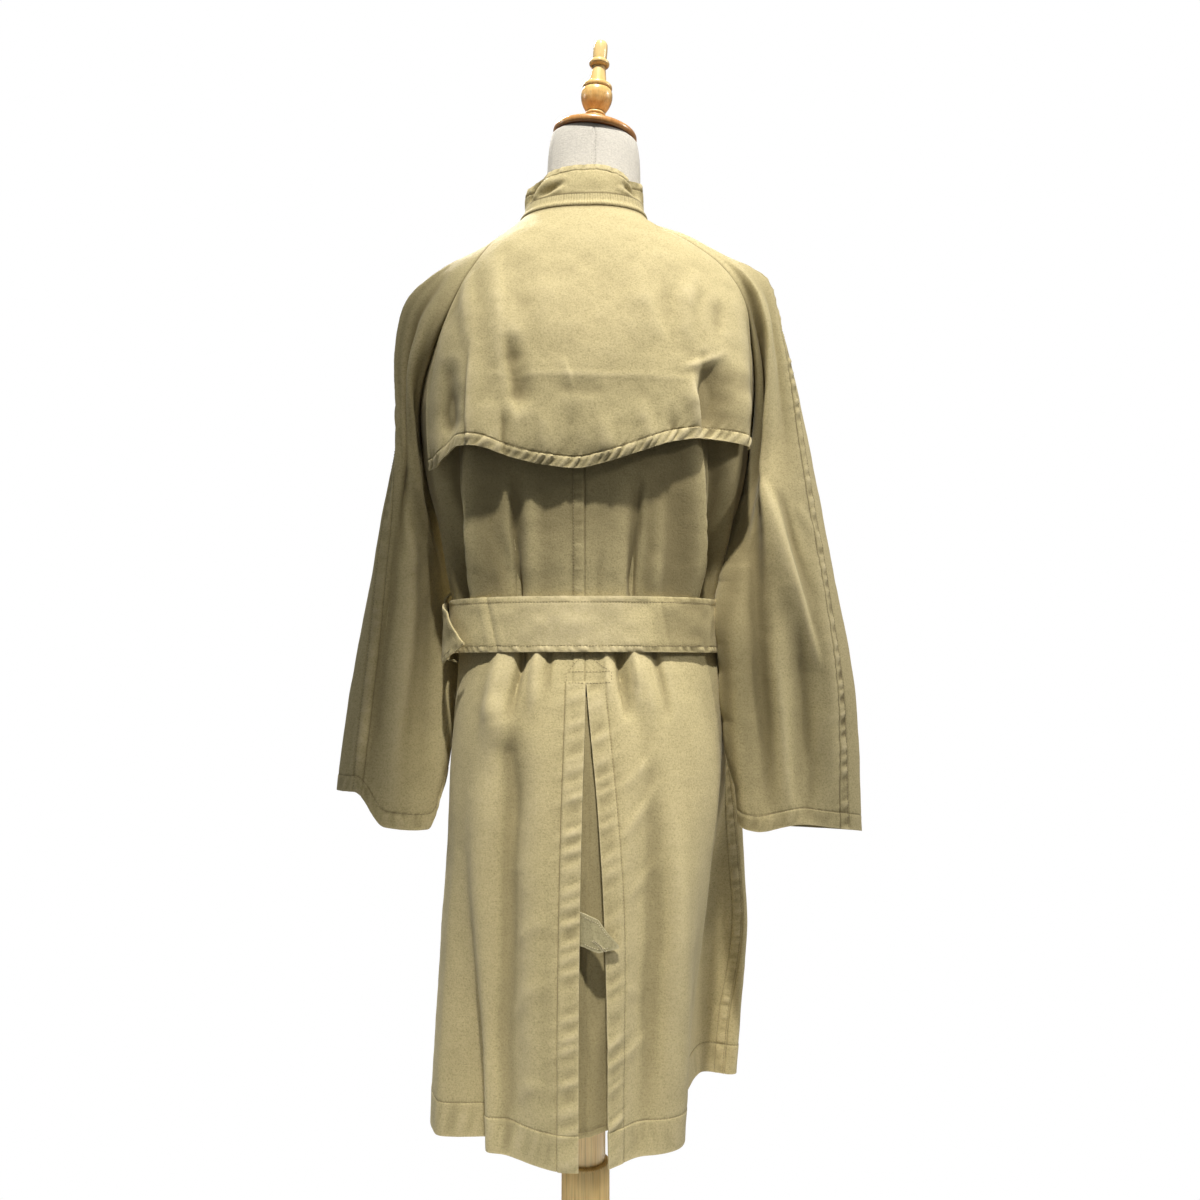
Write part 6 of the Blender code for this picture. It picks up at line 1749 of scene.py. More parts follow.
def collar_fine():
    ang = np.linspace(-171.0, 171.0, 340)
    z0 = np.array([float(neck_height(a)) for a in ang])
    made = []
    # the stand, with upright ribs pressed into its surface
    k = np.array([0, 0.02, 0.06, 0.14, 0.25, 0.38, 0.5, 0.62, 0.75, 0.86, 0.94, 0.98, 1.0])
    t = 0.0005 + k[:, None] * (COLLAR_BAND - 0.0005) + 0 * ang[None, :]
    p0, n0 = collar_surface(ang, t, z0)
    U, U2, V, V2 = arcs(p0)
    run = U.mean(axis=0)[None, :] + 0 * U
    rib = np.abs(np.sin(np.pi * (run / 0.0030 + 0.10 * noise1(run, 0.02, 5)))) ** 0.7
    env = smoothstep(k[:, None] / 0.08) * smoothstep((1 - k[:, None]) / 0.08)
    d = 0.00075 * (rib - 0.5) * env + 0.0005 * noise2(run, V, 0.03, 0.02, 6)
    d = d + 0.0030 * smoothstep((0.010 - V) / 0.007) - 0.0046 * gauss(V, 0.0009)
    # painted shadow: a dark line along the stand's lower edge and a darker line along its top edge under the leaf; the
    # stand is a little darker overall, and its ribs are paler on their tops
    wear_and_painted_light = 0.40 + 0.40 * (rib - 0.50) * env - 1.00 * gauss(V - 0.0006, 0.0016) - 0.42 * gauss(V2, 0.0010)
    p = p0 + n0 * d[..., None]
    n = grid_normals(p)
    if np.mean(np.sum(n * n0, -1)) < 0:
        n = -n
    ob = shell("cloth_collar_stand", p, n, 0.0022, M_TWILL, uv=np.stack([run, V], -1), wear_and_painted_light=wear_and_painted_light, replaces=["collar_stand"])
    made.append((ob, None))
    # the leaf
    k = np.concatenate([[0, 0.012, 0.04], np.linspace(0.08, 0.74, 16), [0.785, 0.80, 0.812, 0.825, 0.84, 0.88, 0.92, 0.96, 0.985, 1.0]])
    high = np.array([collar_height(a) for a in ang])
    high = high - 0.0125 * smoothstep((-ang - 22.0) / 40.0) - 0.0030 * smoothstep((ang - 20.0) / 30.0)
    high = high - 0.0016 * smoothstep((np.abs(ang) - 8.0) / 25.0)
    t = (COLLAR_BAND + GAP) + k[:, None] * (high[None, :] - COLLAR_BAND - GAP)
    p0, n0 = collar_surface(ang, t, z0)
    U, U2, V, V2 = arcs(p0)
    run = U.mean(axis=0)[None, :] + 0 * U
    a2 = ang[None, :] + 0 * U
    d = 0.0012 * noise2(run, V, 0.035, 0.025, 16) + 0.0004 * noise2(run, V, 0.012, 0.010, 17)
    # dents near both sides, where the leaf stands away from the neck
    d = d + line_crease(run - run[:, 170:171], V, [
        (-0.072, 0.002, -0.050, 0.030, 0.001, 0.003, 0.008, -0.0075),
        (-0.088, 0.004, -0.074, 0.030, 0.001, 0.006, 0.004, 0.0034),
        (-0.046, 0.010, -0.036, 0.030, 0.000, 0.006, 0.008, 0.0022),
        (0.082, 0.002, 0.052, 0.028, -0.001, 0.004, 0.007, -0.0080),
        (0.066, 0.002, 0.040, 0.022, -0.001, 0.005, 0.005, 0.0046),
        (0.096, 0.004, 0.080, 0.028, 0.000, 0.005, 0.005, 0.0030),
        (0.054, 0.003, 0.026, 0.015, 0.001, 0.0045, 0.0045, -0.0062),
        (0.048, 0.000, 0.022, 0.008, 0.000, 0.0035, 0.0035, 0.0026),
        (0.044, 0.017, 0.020, 0.020, 0.000, 0.0040, 0.0040, 0.0022),
        (-0.044, 0.014, -0.070, 0.004, 0.001, 0.0045, 0.0045, -0.0062),
        (-0.036, 0.008, -0.062, 0.000, 0.000, 0.0035, 0.0035, 0.0026),
        (0.030, 0.008, 0.018, 0.030, 0.000, 0.008, 0.009, -0.0016),
        (-0.014, 0.008, -0.006, 0.030, 0.000, 0.007, 0.007, 0.0010),
        (0.150, 0.004, 0.160, 0.034, 0.001, 0.006, 0.008, -0.0020),
        (-0.150, 0.004, -0.160, 0.034, 0.001, 0.006, 0.008, -0.0020)], 151)
    lev = 0.0075
    pin = ridges(run - 0.25 * V2, 0.0076, 45, 0.45)
    band = np.sin(np.pi * np.clip(V2 / lev * 0.88 + 0.10, 0, 1)) ** 0.8 * (V2 < lev)
    d = d + 0.0017 * (pin - 0.42) * band
    g = gauss(V2 - lev, 0.0006)
    over = np.exp(-np.maximum(V2 - lev, 0) / 0.006) * (V2 > lev)
    d = d - 0.0011 * g + 0.0008 * (pin - 0.5) * over
    wear_and_painted_light = 0.5 - 0.62 * g + 0.66 * (pin - 0.45) * band + 0.10 * band + 0.26 * gauss(V2, 0.0012) + 0.24 * (pin - 0.5) * over
    # painted shade along the leaf's lower edge where it meets the stand; faded ridges, and painted shade in the hollows
    wear_and_painted_light = wear_and_painted_light - 0.48 * gauss(V, 0.0017) + 0.30 * relief(d, 14)
    calm = smoothstep(V / 0.004)
    p = p0 + n0 * (d * calm)[..., None]
    n = grid_normals(p)
    if np.mean(np.sum(n * n0, -1)) < 0:
        n = -n
    ob = shell("cloth_collar_fall", p, n, 0.0021, M_TWILL, uv=np.stack([run, V], -1), wear_and_painted_light=wear_and_painted_light, replaces=["collar_fall"])
    out = p + n * 0.00105
    a, b = iso_line(out, n, V2, lev, 0)
    made.append((ob, stitches("stitch_collar", [stitch_row(a, b, pitch=0.0030, seed=81)])))
    return made


# ---------------------------------------------------------------------- belt
def belt_path(run):
    ang = 180.0 - run
    lay = BELT_IN + BELT_STEP * smoothstep((run - 338.0) / 16.0)
    peel = smoothstep((run - 446.0) / 34.0)
    p = body_point(ang, BELT_Z + 0 * run, lay + 0.0080 * np.exp(-((run - 360.0) / 7.0) ** 2), folds=False)
    return p + peel[:, None] * np.array([0.010, 0.004, -0.020])


def belt_fine():
    runs = np.concatenate([np.arange(3.0, 100.0, 1.0), np.arange(100.0, 270.0, 0.5), np.arange(270.0, 338.0, 1.0),
                           np.arange(338.0, 376.0, 0.5), np.arange(376.0, 440.0, 1.0), np.arange(440.0, 480.01, 0.5)])
    c = belt_path(runs)
    t = unit(belt_path(runs + 0.5) - belt_path(runs - 0.5))
    nrm = -np.cross(t, np.array([0, 0, 1.0]))
    up = np.cross(t, nrm)
    up = unit(up) * np.where(up[:, 2:3] < 0, -1.0, 1.0)
    nrm = unit(np.cross(up, t))
    outw = c - np.array([0, 0, BELT_Z])
    nrm = nrm * np.where(np.sum(nrm * outw, 1) < 0, -1.0, 1.0)[:, None]
    w = np.array([-1.0, -0.985, -0.95, -0.90, -0.84, -0.80, -0.785, -0.77, -0.73, -0.62, -0.48, -0.32, -0.16, 0.0,
                  0.16, 0.32, 0.48, 0.62, 0.73, 0.77, 0.785, 0.80, 0.84, 0.90, 0.95, 0.985, 1.0])
    half = np.where(runs > 466.0, (BELT_W / 2) * np.maximum(0.05, 1 - (runs - 466.0) / 14.0), BELT_W / 2)
    p0 = c[None] + up[None] * (w[:, None] * half[None, :])[..., None]
    n0 = np.broadcast_to(nrm[None], p0.shape)
    s = np.concatenate([[0], np.cumsum(np.linalg.norm(np.diff(c, axis=0), axis=1))])
    run = s[None, :] + 0 * p0[..., 0]
    across = w[:, None] * half[None, :]
    edge = half[None, :] - np.abs(across)
    d = 0.0014 * noise2(run, across, 0.034, 0.018, 3) + 0.0009 * noise2(run, across, 0.016, 0.010, 4)
    lev = 0.0065
    lower = smoothstep(-across / 0.004)
    g = gauss(edge - lev, 0.0005)
    pin = ridges(run + 0.4 * across, 0.0086, 15, 0.45)
    band = np.sin(np.pi * np.clip(edge / lev * 0.85 + 0.12, 0, 1)) * (edge < lev)
    d = d - 0.00025 * g + (0.0005 + 0.0010 * lower) * (pin - 0.42) * band
    d = d + 0.0004 * (pin - 0.5) * np.exp(-np.maximum(edge - lev, 0) / 0.005) * (edge > lev) * (0.4 + lower)
    rr = runs[None, :]
    # creases where the strap was fastened before
    for r0, wd, hh in ((128.0, 0.8, -0.0012), (124.5, 1.6, 0.0010), (131.0, 1.2, 0.0005), (226.0, 1.4, -0.0008), (60.0, 1.2, -0.0010), (300.0, 1.2, -0.0009)):
        d = d + hh * gauss(rr + 3.0 * across / 0.03 - r0, wd)
    flatten = 1 - gauss(rr - 92, 6) * 0.7
    d = d * flatten
    wear_and_painted_light = 0.5 - 0.20 * g + (0.22 + 0.34 * lower) * (pin - 0.45) * band + 0.34 * gauss(edge, 0.0011) + 0.10 * band * lower
    wear_and_painted_light = wear_and_painted_light + 0.05 * noise2(run, across, 0.05, 0.03, 9)
    # faded ridges and painted shade in the hollows; painted light: a pool of light across the middle of the belt's
    # back, darker to the sides and darkest towards the wearer's right, in the right sleeve's painted shadow
    wear_and_painted_light = wear_and_painted_light + 0.20 * relief(d, 14) + (0.62 * gauss(p0[..., 0] - 0.012, 0.085) - 0.16
                   - 0.26 * smoothstep((-p0[..., 0] - 0.055) / 0.04)) * smoothstep((p0[..., 1] - 0.03) / 0.04)
    p = p0 + n0 * d[..., None]
    n = grid_normals(p)
    if np.mean(np.sum(n * n0, -1)) < 0:
        n = -n
    thick = 0.0026 - 0.0008 * gauss(edge, 0.0012)
    ob = shell("cloth_belt", p, n, thick, M_BELT, uv=np.stack([run, across], -1), wear_and_painted_light=wear_and_painted_light, replaces=["belt"])
    out = p + n * thick[..., None] / 2
    rows = []
    body = np.nonzero(runs <= 467)[0][-1]
    for lv in (-1, 1):
        a, b = iso_line(out[:, :body], n[:, :body], across[:, :body], lv * (BELT_W / 2 - lev), 0)
        rows.append(stitch_row(a, b, seed=91))
    tip = np.nonzero(runs >= 466)[0]
    for lv in (-1, 1):
        idx = tip[:-14]
        if len(idx) > 3:
            a, b = iso_line(out[:, idx], n[:, idx], across[:, idx] - lv * np.maximum(half[None, idx] - lev, 0.0), 0.0, 0)
            rows.append(stitch_row(a, b, seed=92))
    return ob, stitches("stitch_belt", rows)


def loop_fine(name, run, lay):
    ang0 = 180.0 - run
    hw = math.degrees(0.006 / 0.155)
    key = [(-0.0405, 0.0016), (-0.0375, lay * 0.72), (-0.0325, lay), (0.0, lay + 0.0003),
           (0.0325, lay), (0.0375, lay * 0.72), (0.0405, 0.0016)]
    a = math.radians(ang0)
    rad = np.array([math.sin(a), math.cos(a), 0.0])
    cols = np.linspace(-1, 1, 13)
    rows = []
    for k in cols:
        line = []
        for i, (dz, o) in enumerate(key):
            o = max(o, 0.0028)
            base = body_point(ang0 + k * hw, BELT_Z, 0.0, folds=False)
            skin = body_point(ang0 + k * hw, BELT_Z + dz, 0.0)
            far = base @ rad + o
            if i in (0, len(key) - 1):
                far = skin @ rad + 0.0028
            elif i in (1, len(key) - 2):
                far = max(far, skin @ rad + 0.0028)
            flat = base - rad * (base @ rad)
            line.append(np.array([flat[0], flat[1], BELT_Z + dz]) + rad * far)
        line = np.array(line)
        s = np.linspace(0, len(key) - 1, 61)
        rows.append(np.stack([np.interp(s, range(len(key)), line[:, c]) for c in range(3)], -1))
    p0 = np.stack(rows, 1)                        # 61 x 13
    for _ in range(2):
        p0[1:-1] = (p0[:-2] + 2 * p0[1:-1] + p0[2:]) / 4
    n0 = grid_normals(p0)
    if np.mean(n0 @ rad) < 0:
        n0 = -n0
    c = cols[None, :] + 0 * p0[..., 0]
    g = gauss(np.abs(c) - 0.62, 0.10)
    d = 0.0003 * noise3(p0, 0.008, 7) - 0.0003 * g
    p = p0 + n0 * d[..., None]
    wear_and_painted_light = 0.5 - 0.18 * g + 0.2 * gauss(np.abs(c) - 1.0, 0.12)
    n = grid_normals(p)
    if np.mean(n @ rad) < 0:
        n = -n
    ob = shell("cloth_" + name, p, n, 0.0018, M_TWILL, wear_and_painted_light=wear_and_painted_light, replaces=[name])
    out = p + n * 0.0009
    st = [stitch_row(out[3:-3, j], n[3:-3, j], pitch=0.0032, seed=97) for j in (2, 10)]
    return ob, stitches("stitch_" + name, st)


def tab_fine():
    rows = [(0.000, 0.0165, 0.000, -0.0036), (0.006, 0.0165, -0.001, -0.0032),
            (0.012, 0.0168, -0.002, 0.0010), (0.020, 0.0170, -0.004, 0.0052),
            (0.028, 0.0150, -0.007, 0.0074), (0.036, 0.0080, -0.010, 0.0084),
            (0.043, 0.0015, -0.012, 0.0088)]
    R = np.array(rows)
    dd = np.linspace(0, 0.043, 58)
    hw = np.interp(dd, [0.0, 0.0255, 0.0430], [0.0168, 0.0160, 0.0014])
    drop = np.interp(dd, [0.0, 0.012, 0.0255, 0.0430], [0.0, -0.0015, -0.0062, -0.0165])
    off = smooth_curve(R[:, 0], R[:, 3], dd)
    w = np.linspace(-1, 1, 31)
    Z = 0.6330 + drop[:, None] + hw[:, None] * w[None, :]
    X = 0.0110 - dd[:, None] + 0 * Z
    r0 = np.array([[float(body_radius(0.0, z)) for z in row[::15]] for row in Z]).mean()
    ang = np.degrees(np.arctan2(X, r0))
    OFF = off[:, None] + 0 * Z
    p0 = body_point(ang, Z, OFF)
    n0 = unit(body_point(ang, Z, OFF + 0.01) - p0)
    edge = np.minimum(hw[:, None] * (1 - np.abs(w[None, :])), (0.043 - dd)[:, None] * 0.55)
    y = hw[:, None] * w[None, :]
    x = dd[:, None] + 0 * y
    # a buttonhole slants across the middle, and the tab is a little crumpled
    hx, hy, ha = 0.0265, -0.0085, math.radians(-25)
    lx = (x - hx) * math.cos(ha) + (y - hy) * math.sin(ha)
    ly = -(x - hx) * math.sin(ha) + (y - hy) * math.cos(ha)
    inlen = smoothstep((0.0075 - np.abs(lx)) / 0.0012)
    slit = inlen * gauss(ly, 0.0005)
    lips = inlen * (gauss(np.abs(ly) - 0.0013, 0.0007))
    d = 0.0009 * noise2(x, y, 0.012, 0.016, 12) - 0.0012 * slit + 0.0005 * lips
    d = d + line_crease(x, y, [(0.010, -0.012, 0.014, 0.010, 0.001, 0.002, 0.003, -0.0012),
                               (0.019, -0.014, 0.022, 0.006, 0.0, 0.002, 0.003, 0.0009)], 171)
    # painted shade in the buttonhole slit; paler worn edges and lips, and a darker line along the stitching
    wear_and_painted_light = 0.5 + 0.55 * gauss(edge, 0.0011) - 0.4 * slit + 0.30 * lips - 0.18 * gauss(edge - 0.0032, 0.0005)
    calm = smoothstep((dd - 0.012) / 0.004)[:, None]
    p = p0 + n0 * (d * calm)[..., None]
    n = grid_normals(p)
    if np.mean(np.sum(n * n0, -1)) < 0:
        n = -n
    ob = shell("cloth_vent_tab", p, n, 0.0018, M_TAB, wear_and_painted_light=wear_and_painted_light, replaces=["vent_tab"])
    out = p + n * 0.0009
    st = []
    for sgn in (-1, 1):
        f = (hw[:, None] - 0.0032) * sgn - y
        a, b = iso_line(out[16:-9], n[16:-9], f[16:-9], 0.0, 1)
        st.append(stitch_row(a, b, pitch=0.0028, seed=99))
    # buttonhole bars
    for sgn in (-1, 1):
        pts, ns = [], []
        for q in np.linspace(-0.0068, 0.0068, 12):
            xx = hx + q * math.cos(ha) - sgn * 0.0012 * math.sin(ha)
            yy = hy + q * math.sin(ha) + sgn * 0.0012 * math.cos(ha)
            i = int(np.argmin(np.abs(dd - xx)))
            j = int(np.argmin(np.abs(y[i] - yy)))
            pts.append(out[i, j])
            ns.append(n[i, j])
        st.append(stitch_row(np.array(pts), np.array(ns), pitch=0.0011, fill=0.9, r=0.0003, seed=98))
    return ob, stitches("stitch_vent_tab", st, M_THREAD_L)


# ------------------------------------------------------------------ hardware
def sweep(name, path, radius, sides, mat, slot, closed=True, squash=1.0, up=(0, 1, 0)):
    path = np.asarray(path, float)
    n = len(path)
    if closed:
        t = unit(np.roll(path, -1, 0) - np.roll(path, 1, 0))
    else:
        t = unit(np.gradient(path, axis=0))
    up = np.array(up, float)
    side = unit(np.cross(t, up))
    upv = unit(np.cross(side, t))
    ring = []
    r = np.broadcast_to(np.asarray(radius, float), (n,))
    for k in range(sides):
        a = 2 * math.pi * k / sides
        ring.append(path + side * (math.cos(a) * r)[:, None] + upv * (math.sin(a) * r * squash)[:, None])
    v = np.stack(ring, 1)
    ids = np.arange(n * sides).reshape(n, sides)
    nxt = np.roll(ids, -1, 0) if closed else ids[1:]
    cur = ids if closed else ids[:-1]
    q = []
    for k in range(sides):
        b = (k + 1) % sides
        q.append(np.stack([cur[:, k], cur[:, b], nxt[:, b], nxt[:, k]], -1))
    verts = v.reshape(-1, 3)
    tris = None
    if not closed:
        verts = np.concatenate([verts, path[:1], path[-1:]])
        tr = []
        for k in range(sides):
            b = (k + 1) % sides
            tr.append((ids[0, b], ids[0, k], n * sides))
            tr.append((ids[-1, k], ids[-1, b], n * sides + 1))
        tris = np.array(tr)
    ob = make_mesh(name, verts, np.concatenate(q), mat, slot, np.zeros((len(verts), 2)),
                   np.full(len(verts), 0.55), 60.0, tris)
    bm = bmesh.new()
    bm.from_mesh(ob.data)
    bmesh.ops.recalc_face_normals(bm, faces=bm.faces)
    bm.to_mesh(ob.data)
    bm.free()
    return ob


def buckle_fine():
    lo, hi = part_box("belt_buckle")
    cx, cy, cz = [(lo[k] + hi[k]) / 2 for k in range(3)]
    w, h = hi[0] - lo[0], hi[2] - lo[2]
    rad = 0.0042

    def ring(hw, hh, r):
        pts = []
        for ax, az, a0 in ((hw - r, hh - r, 0), (-hw + r, hh - r, 90), (-hw + r, -hh + r, 180), (hw - r, -hh + r, 270)):
            for k in range(9):
                a = math.radians(a0 + 90.0 * k / 8)
                pts.append((cx + ax + r * math.cos(a), cy, cz + az + r * math.sin(a)))
        return pts
    path = []
    pts = ring(w / 2 - rad, h / 2 - rad, 0.009)
    for a, b in zip(pts, pts[1:] + pts[:1]):
        gap = math.dist(a, b)
        m = max(1, int(gap / 0.004))
        for k in range(m):
            path.append([a[c] + (b[c] - a[c]) * k / m for c in range(3)])
    fr = sweep("buckle_frame", path, rad, 14, M_LEATHER, "buckle_leatherette", True, 0.45)
    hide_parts("belt_buckle")
    bar = sweep("buckle_bar", [(cx, cy, cz + k * (h / 2 - rad)) for k in np.linspace(-1, 1, 15)], 0.0030, 12,
                M_LEATHER, "buckle_leatherette", False, 0.5)
    prong = []
    for k in np.linspace(0, 1, 22):
        prong.append((cx + 0.0015 - k * (w / 2 - 0.002), cy - 0.0022 - 0.0012 * math.sin(math.pi * k), cz))
    pr = sweep("buckle_prong", prong, np.concatenate([np.full(20, 0.0017), [0.0015, 0.0011]]), 10, M_HORN,
               "button_plastic", False, 0.9, up=(0, 0, 1))
    # sewn eyelets of the strap under the prong
    k0 = 0
    for x in (cx - 0.022, cx - 0.047, cx + 0.030):
        k0 += 1
        pts = [(x + 0.0030 * math.cos(a), cy + 0.0006, cz + 0.0030 * math.sin(a)) for a in np.linspace(0, 2 * math.pi, 25)[:-1]]
        e = sweep("belt_eyelet_%d" % k0, pts, 0.0007, 6, M_THREAD, "twill", True, 0.8)
    return fr


def turn(name, prof, frame_m, mat, slot, segs=96, replaces=(), sharp=38.0, grooves=(), pale=None):
    """Turned piece; grooves are heights where varnish and dust gather."""
    prof = np.array(prof, float)
    verts, wear_and_painted_light = [], []
    rows = []
    for r, h in prof:
        g = 0.5
        for gh, gw in grooves:
            g -= 0.50 * math.exp(-((h - gh) / gw) ** 2)
        # paler from the first height in pale up to the second: a painted highlight towards the top of the piece
        if pale is not None:
            g += 0.30 * min(max((h - pale[0]) / (pale[1] - pale[0]), 0.0), 1.0)
        if name == "fine_finial" and 0.0050 < h < 0.0082:
            g += 0.36
        if r < 1e-6:
            rows.append([len(verts)])
            verts.append((0, 0, h))
            wear_and_painted_light.append(g)
        else:
            rows.append(list(range(len(verts), len(verts) + segs)))
            for k in range(segs):
                a = 2 * math.pi * k / segs
                verts.append((r * math.cos(a), r * math.sin(a), h))
                wear_and_painted_light.append(g)
    quads, tris = [], []
    for lo, hi in zip(rows[:-1], rows[1:]):
        for k in range(segs):
            k2 = (k + 1) % segs
            if len(lo) == 1 and len(hi) == 1:
                continue
            if len(lo) == 1:
                tris.append((lo[0], hi[k2], hi[k]))
            elif len(hi) == 1:
                tris.append((lo[k], lo[k2], hi[0]))
            else:
                quads.append((lo[k], lo[k2], hi[k2], hi[k]))
    v = np.array(verts)
    if frame_m is not None:
        m = np.array(frame_m)
        v = v @ m[:3, :3].T + m[:3, 3]
    ob = make_mesh(name, v, quads, mat, slot, np.zeros((len(v), 2)), np.array(wear_and_painted_light), sharp, np.array(tris) if tris else None)
    bm = bmesh.new()
    bm.from_mesh(ob.data)
    bmesh.ops.recalc_face_normals(bm, faces=bm.faces)
    bm.to_mesh(ob.data)
    bm.free()
    for r in replaces:
        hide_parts(r)
    return ob


def smooth_profile(prof, n=5):
    """Rounds a turned outline: a soft curve through its points."""
    prof = np.array(prof, float)
    out = [prof[0]]
    for i in range(len(prof) - 1):
        p1, p2 = prof[i], prof[i + 1]
        p0 = prof[i - 1] if i else p1
        p3 = prof[i + 2] if i + 2 < len(prof) else p2
        for k in range(1, n + 1):
            t = k / n
            q = 0.5 * ((2 * p1) + (-p0 + p2) * t + (2 * p0 - 5 * p1 + 4 * p2 - p3) * t * t + (-p0 + 3 * p1 - 3 * p2 + p3) * t ** 3)
            out.append(0.5 * q + 0.5 * (p1 * (1 - t) + p2 * t))
    out = np.array(out)
    out[:, 0] = np.maximum(out[:, 0], 0)
    return out


def button_fine(name, z, out, nrm, A, H):
    p = body_point(180.0, z, CLOTH / 2 + 0.0007)
    n = Vector(body_point(180.0, z, 0.02) - body_point(180.0, z, 0.0)).normalized()
    x = Vector((1, 0, 0))
    y = n.cross(x).normalized()
    fr = [[x.x, y.x, n.x, p[0]], [x.y, y.y, n.y, p[1]], [x.z, y.z, n.z, p[2]], [0, 0, 0, 1]]
    prof = [(0, 0), (0.0100, 0), (0.0111, 0.0005), (0.0116, 0.0014), (0.0117, 0.0024), (0.0113, 0.0034), (0.0106, 0.0039),
            (0.0098, 0.0039), (0.0091, 0.0035), (0.0084, 0.0029), (0.0072, 0.0027), (0.0040, 0.0027), (0, 0.0027)]
    ob = turn("fine_" + name, prof, fr, M_HORN, "button_plastic", 48, [name], 40, [(0.0028, 0.0003)])
    # thread through four holes
    rows = []
    fm = np.array(fr)
    for a, b in (((-0.0017, -0.0017), (0.0017, 0.0017)), ((-0.0017, 0.0017), (0.0017, -0.0017))):
        for o in (-0.0003, 0.0003):
            pts = []
            for t in np.linspace(0, 1, 9):
                q = np.array([a[0] + (b[0] - a[0]) * t + o, a[1] + (b[1] - a[1]) * t - o, 0.0026 + 0.0008 * math.sin(math.pi * t), 1])
                pts.append((fm @ q)[:3])
            rows.append(stitch_row(np.array(pts), np.tile(np.array(n), (9, 1)), pitch=0.0046, fill=0.98, r=0.0004, seed=5))
    return ob, stitches("thread_" + name, rows, M_THREAD_L)


def form_fine():
    """The dress form: one smooth padded body under seamed linen."""
    seg = 128
    zs = column(FORM, FORM_COLS, "z")
    zz = np.unique(np.concatenate([zs, np.arange(0.704, 1.530, 0.006), [0.6912, 0.698]]))
    half = smooth_curve(zs, column(FORM, FORM_COLS, "half"), zz)
    back = smooth_curve(zs, column(FORM, FORM_COLS, "back"), zz)
    front = smooth_curve(zs, column(FORM, FORM_COLS, "front"), zz)
    a = np.linspace(0, 2 * math.pi, seg + 1)[:-1]
    s, c = np.sin(a)[None, :], np.cos(a)[None, :]
    b = np.where(c >= 0, back[:, None], front[:, None])
    p = np.where(zz < 1.39, 2.15, 2.0)[:, None]
    r = (np.abs(s / half[:, None]) ** p + np.abs(c / b) ** p) ** (-1 / p)
    # centre-back and princess seams
    deg = np.degrees(a)
    for at in (0.0, 58.0, 302.0, 122.0, 238.0, 180.0):
        k = gauss(wrap(deg - at), 1.6)
        r = r - 0.0007 * k[None, :]
    x, y = r * s, r * c
    f = smoothstep((zz - 1.42) / 0.11)[:, None]
    Z = zz[:, None] + f * (CAP_TILT_X * x + CAP_TILT_Y * y)
    X = x + (FORM_LEAN * np.maximum(zz - LEAN_FROM, 0))[:, None]
    P = np.stack([X, y, Z], -1)
    nr = len(zz)
    verts = P.reshape(-1, 3)
    ids = np.arange(nr * seg).reshape(nr, seg)
    nx = np.roll(ids, -1, 1)
    quads = np.stack([ids[:-1], nx[:-1], nx[1:], ids[1:]], -1).reshape(-1, 4)
    verts = np.concatenate([verts, [P[0].mean(0)], [P[-1].mean(0)]])
    tr = []
    for k in range(seg):
        tr.append((ids[0, (k + 1) % seg], ids[0, k], nr * seg))
        tr.append((ids[-1, k], ids[-1, (k + 1) % seg], nr * seg + 1))
    u = np.broadcast_to(a[None, :] * 0.13, (nr, seg))
    v = np.broadcast_to(zz[:, None], (nr, seg))
    uv = np.concatenate([np.stack([u, v], -1).reshape(-1, 2), [[0, 0.69], [0, 1.53]]])
    wear_and_painted_light = np.full(len(verts), 0.5)
    ob = make_mesh("fine_form", verts, quads, M_LINEN, "linen", uv, wear_and_painted_light, 60.0, np.array(tr))
    bm = bmesh.new()
    bm.from_mesh(ob.data)
    bmesh.ops.recalc_face_normals(bm, faces=bm.faces)
    bm.to_mesh(ob.data)
    bm.free()
    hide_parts("form_torso")
    # stitched seam at the centre back of the neck
    n = unit(np.stack([X - FORM_LEAN * np.maximum(zz - LEAN_FROM, 0)[:, None], y, 0 * y], -1))
    k = np.nonzero(zz > 1.40)[0]
    rows = []
    for j in (1, seg - 1):
        rows.append(stitch_row(P[k, j] + n[k, j] * 0.0001, n[k, j], pitch=0.0036, r=0.0003, seed=44))
    st = stitches("stitch_form", rows, thread_material("thread_linen", (0.52, 0.49, 0.43)))
    return ob, st


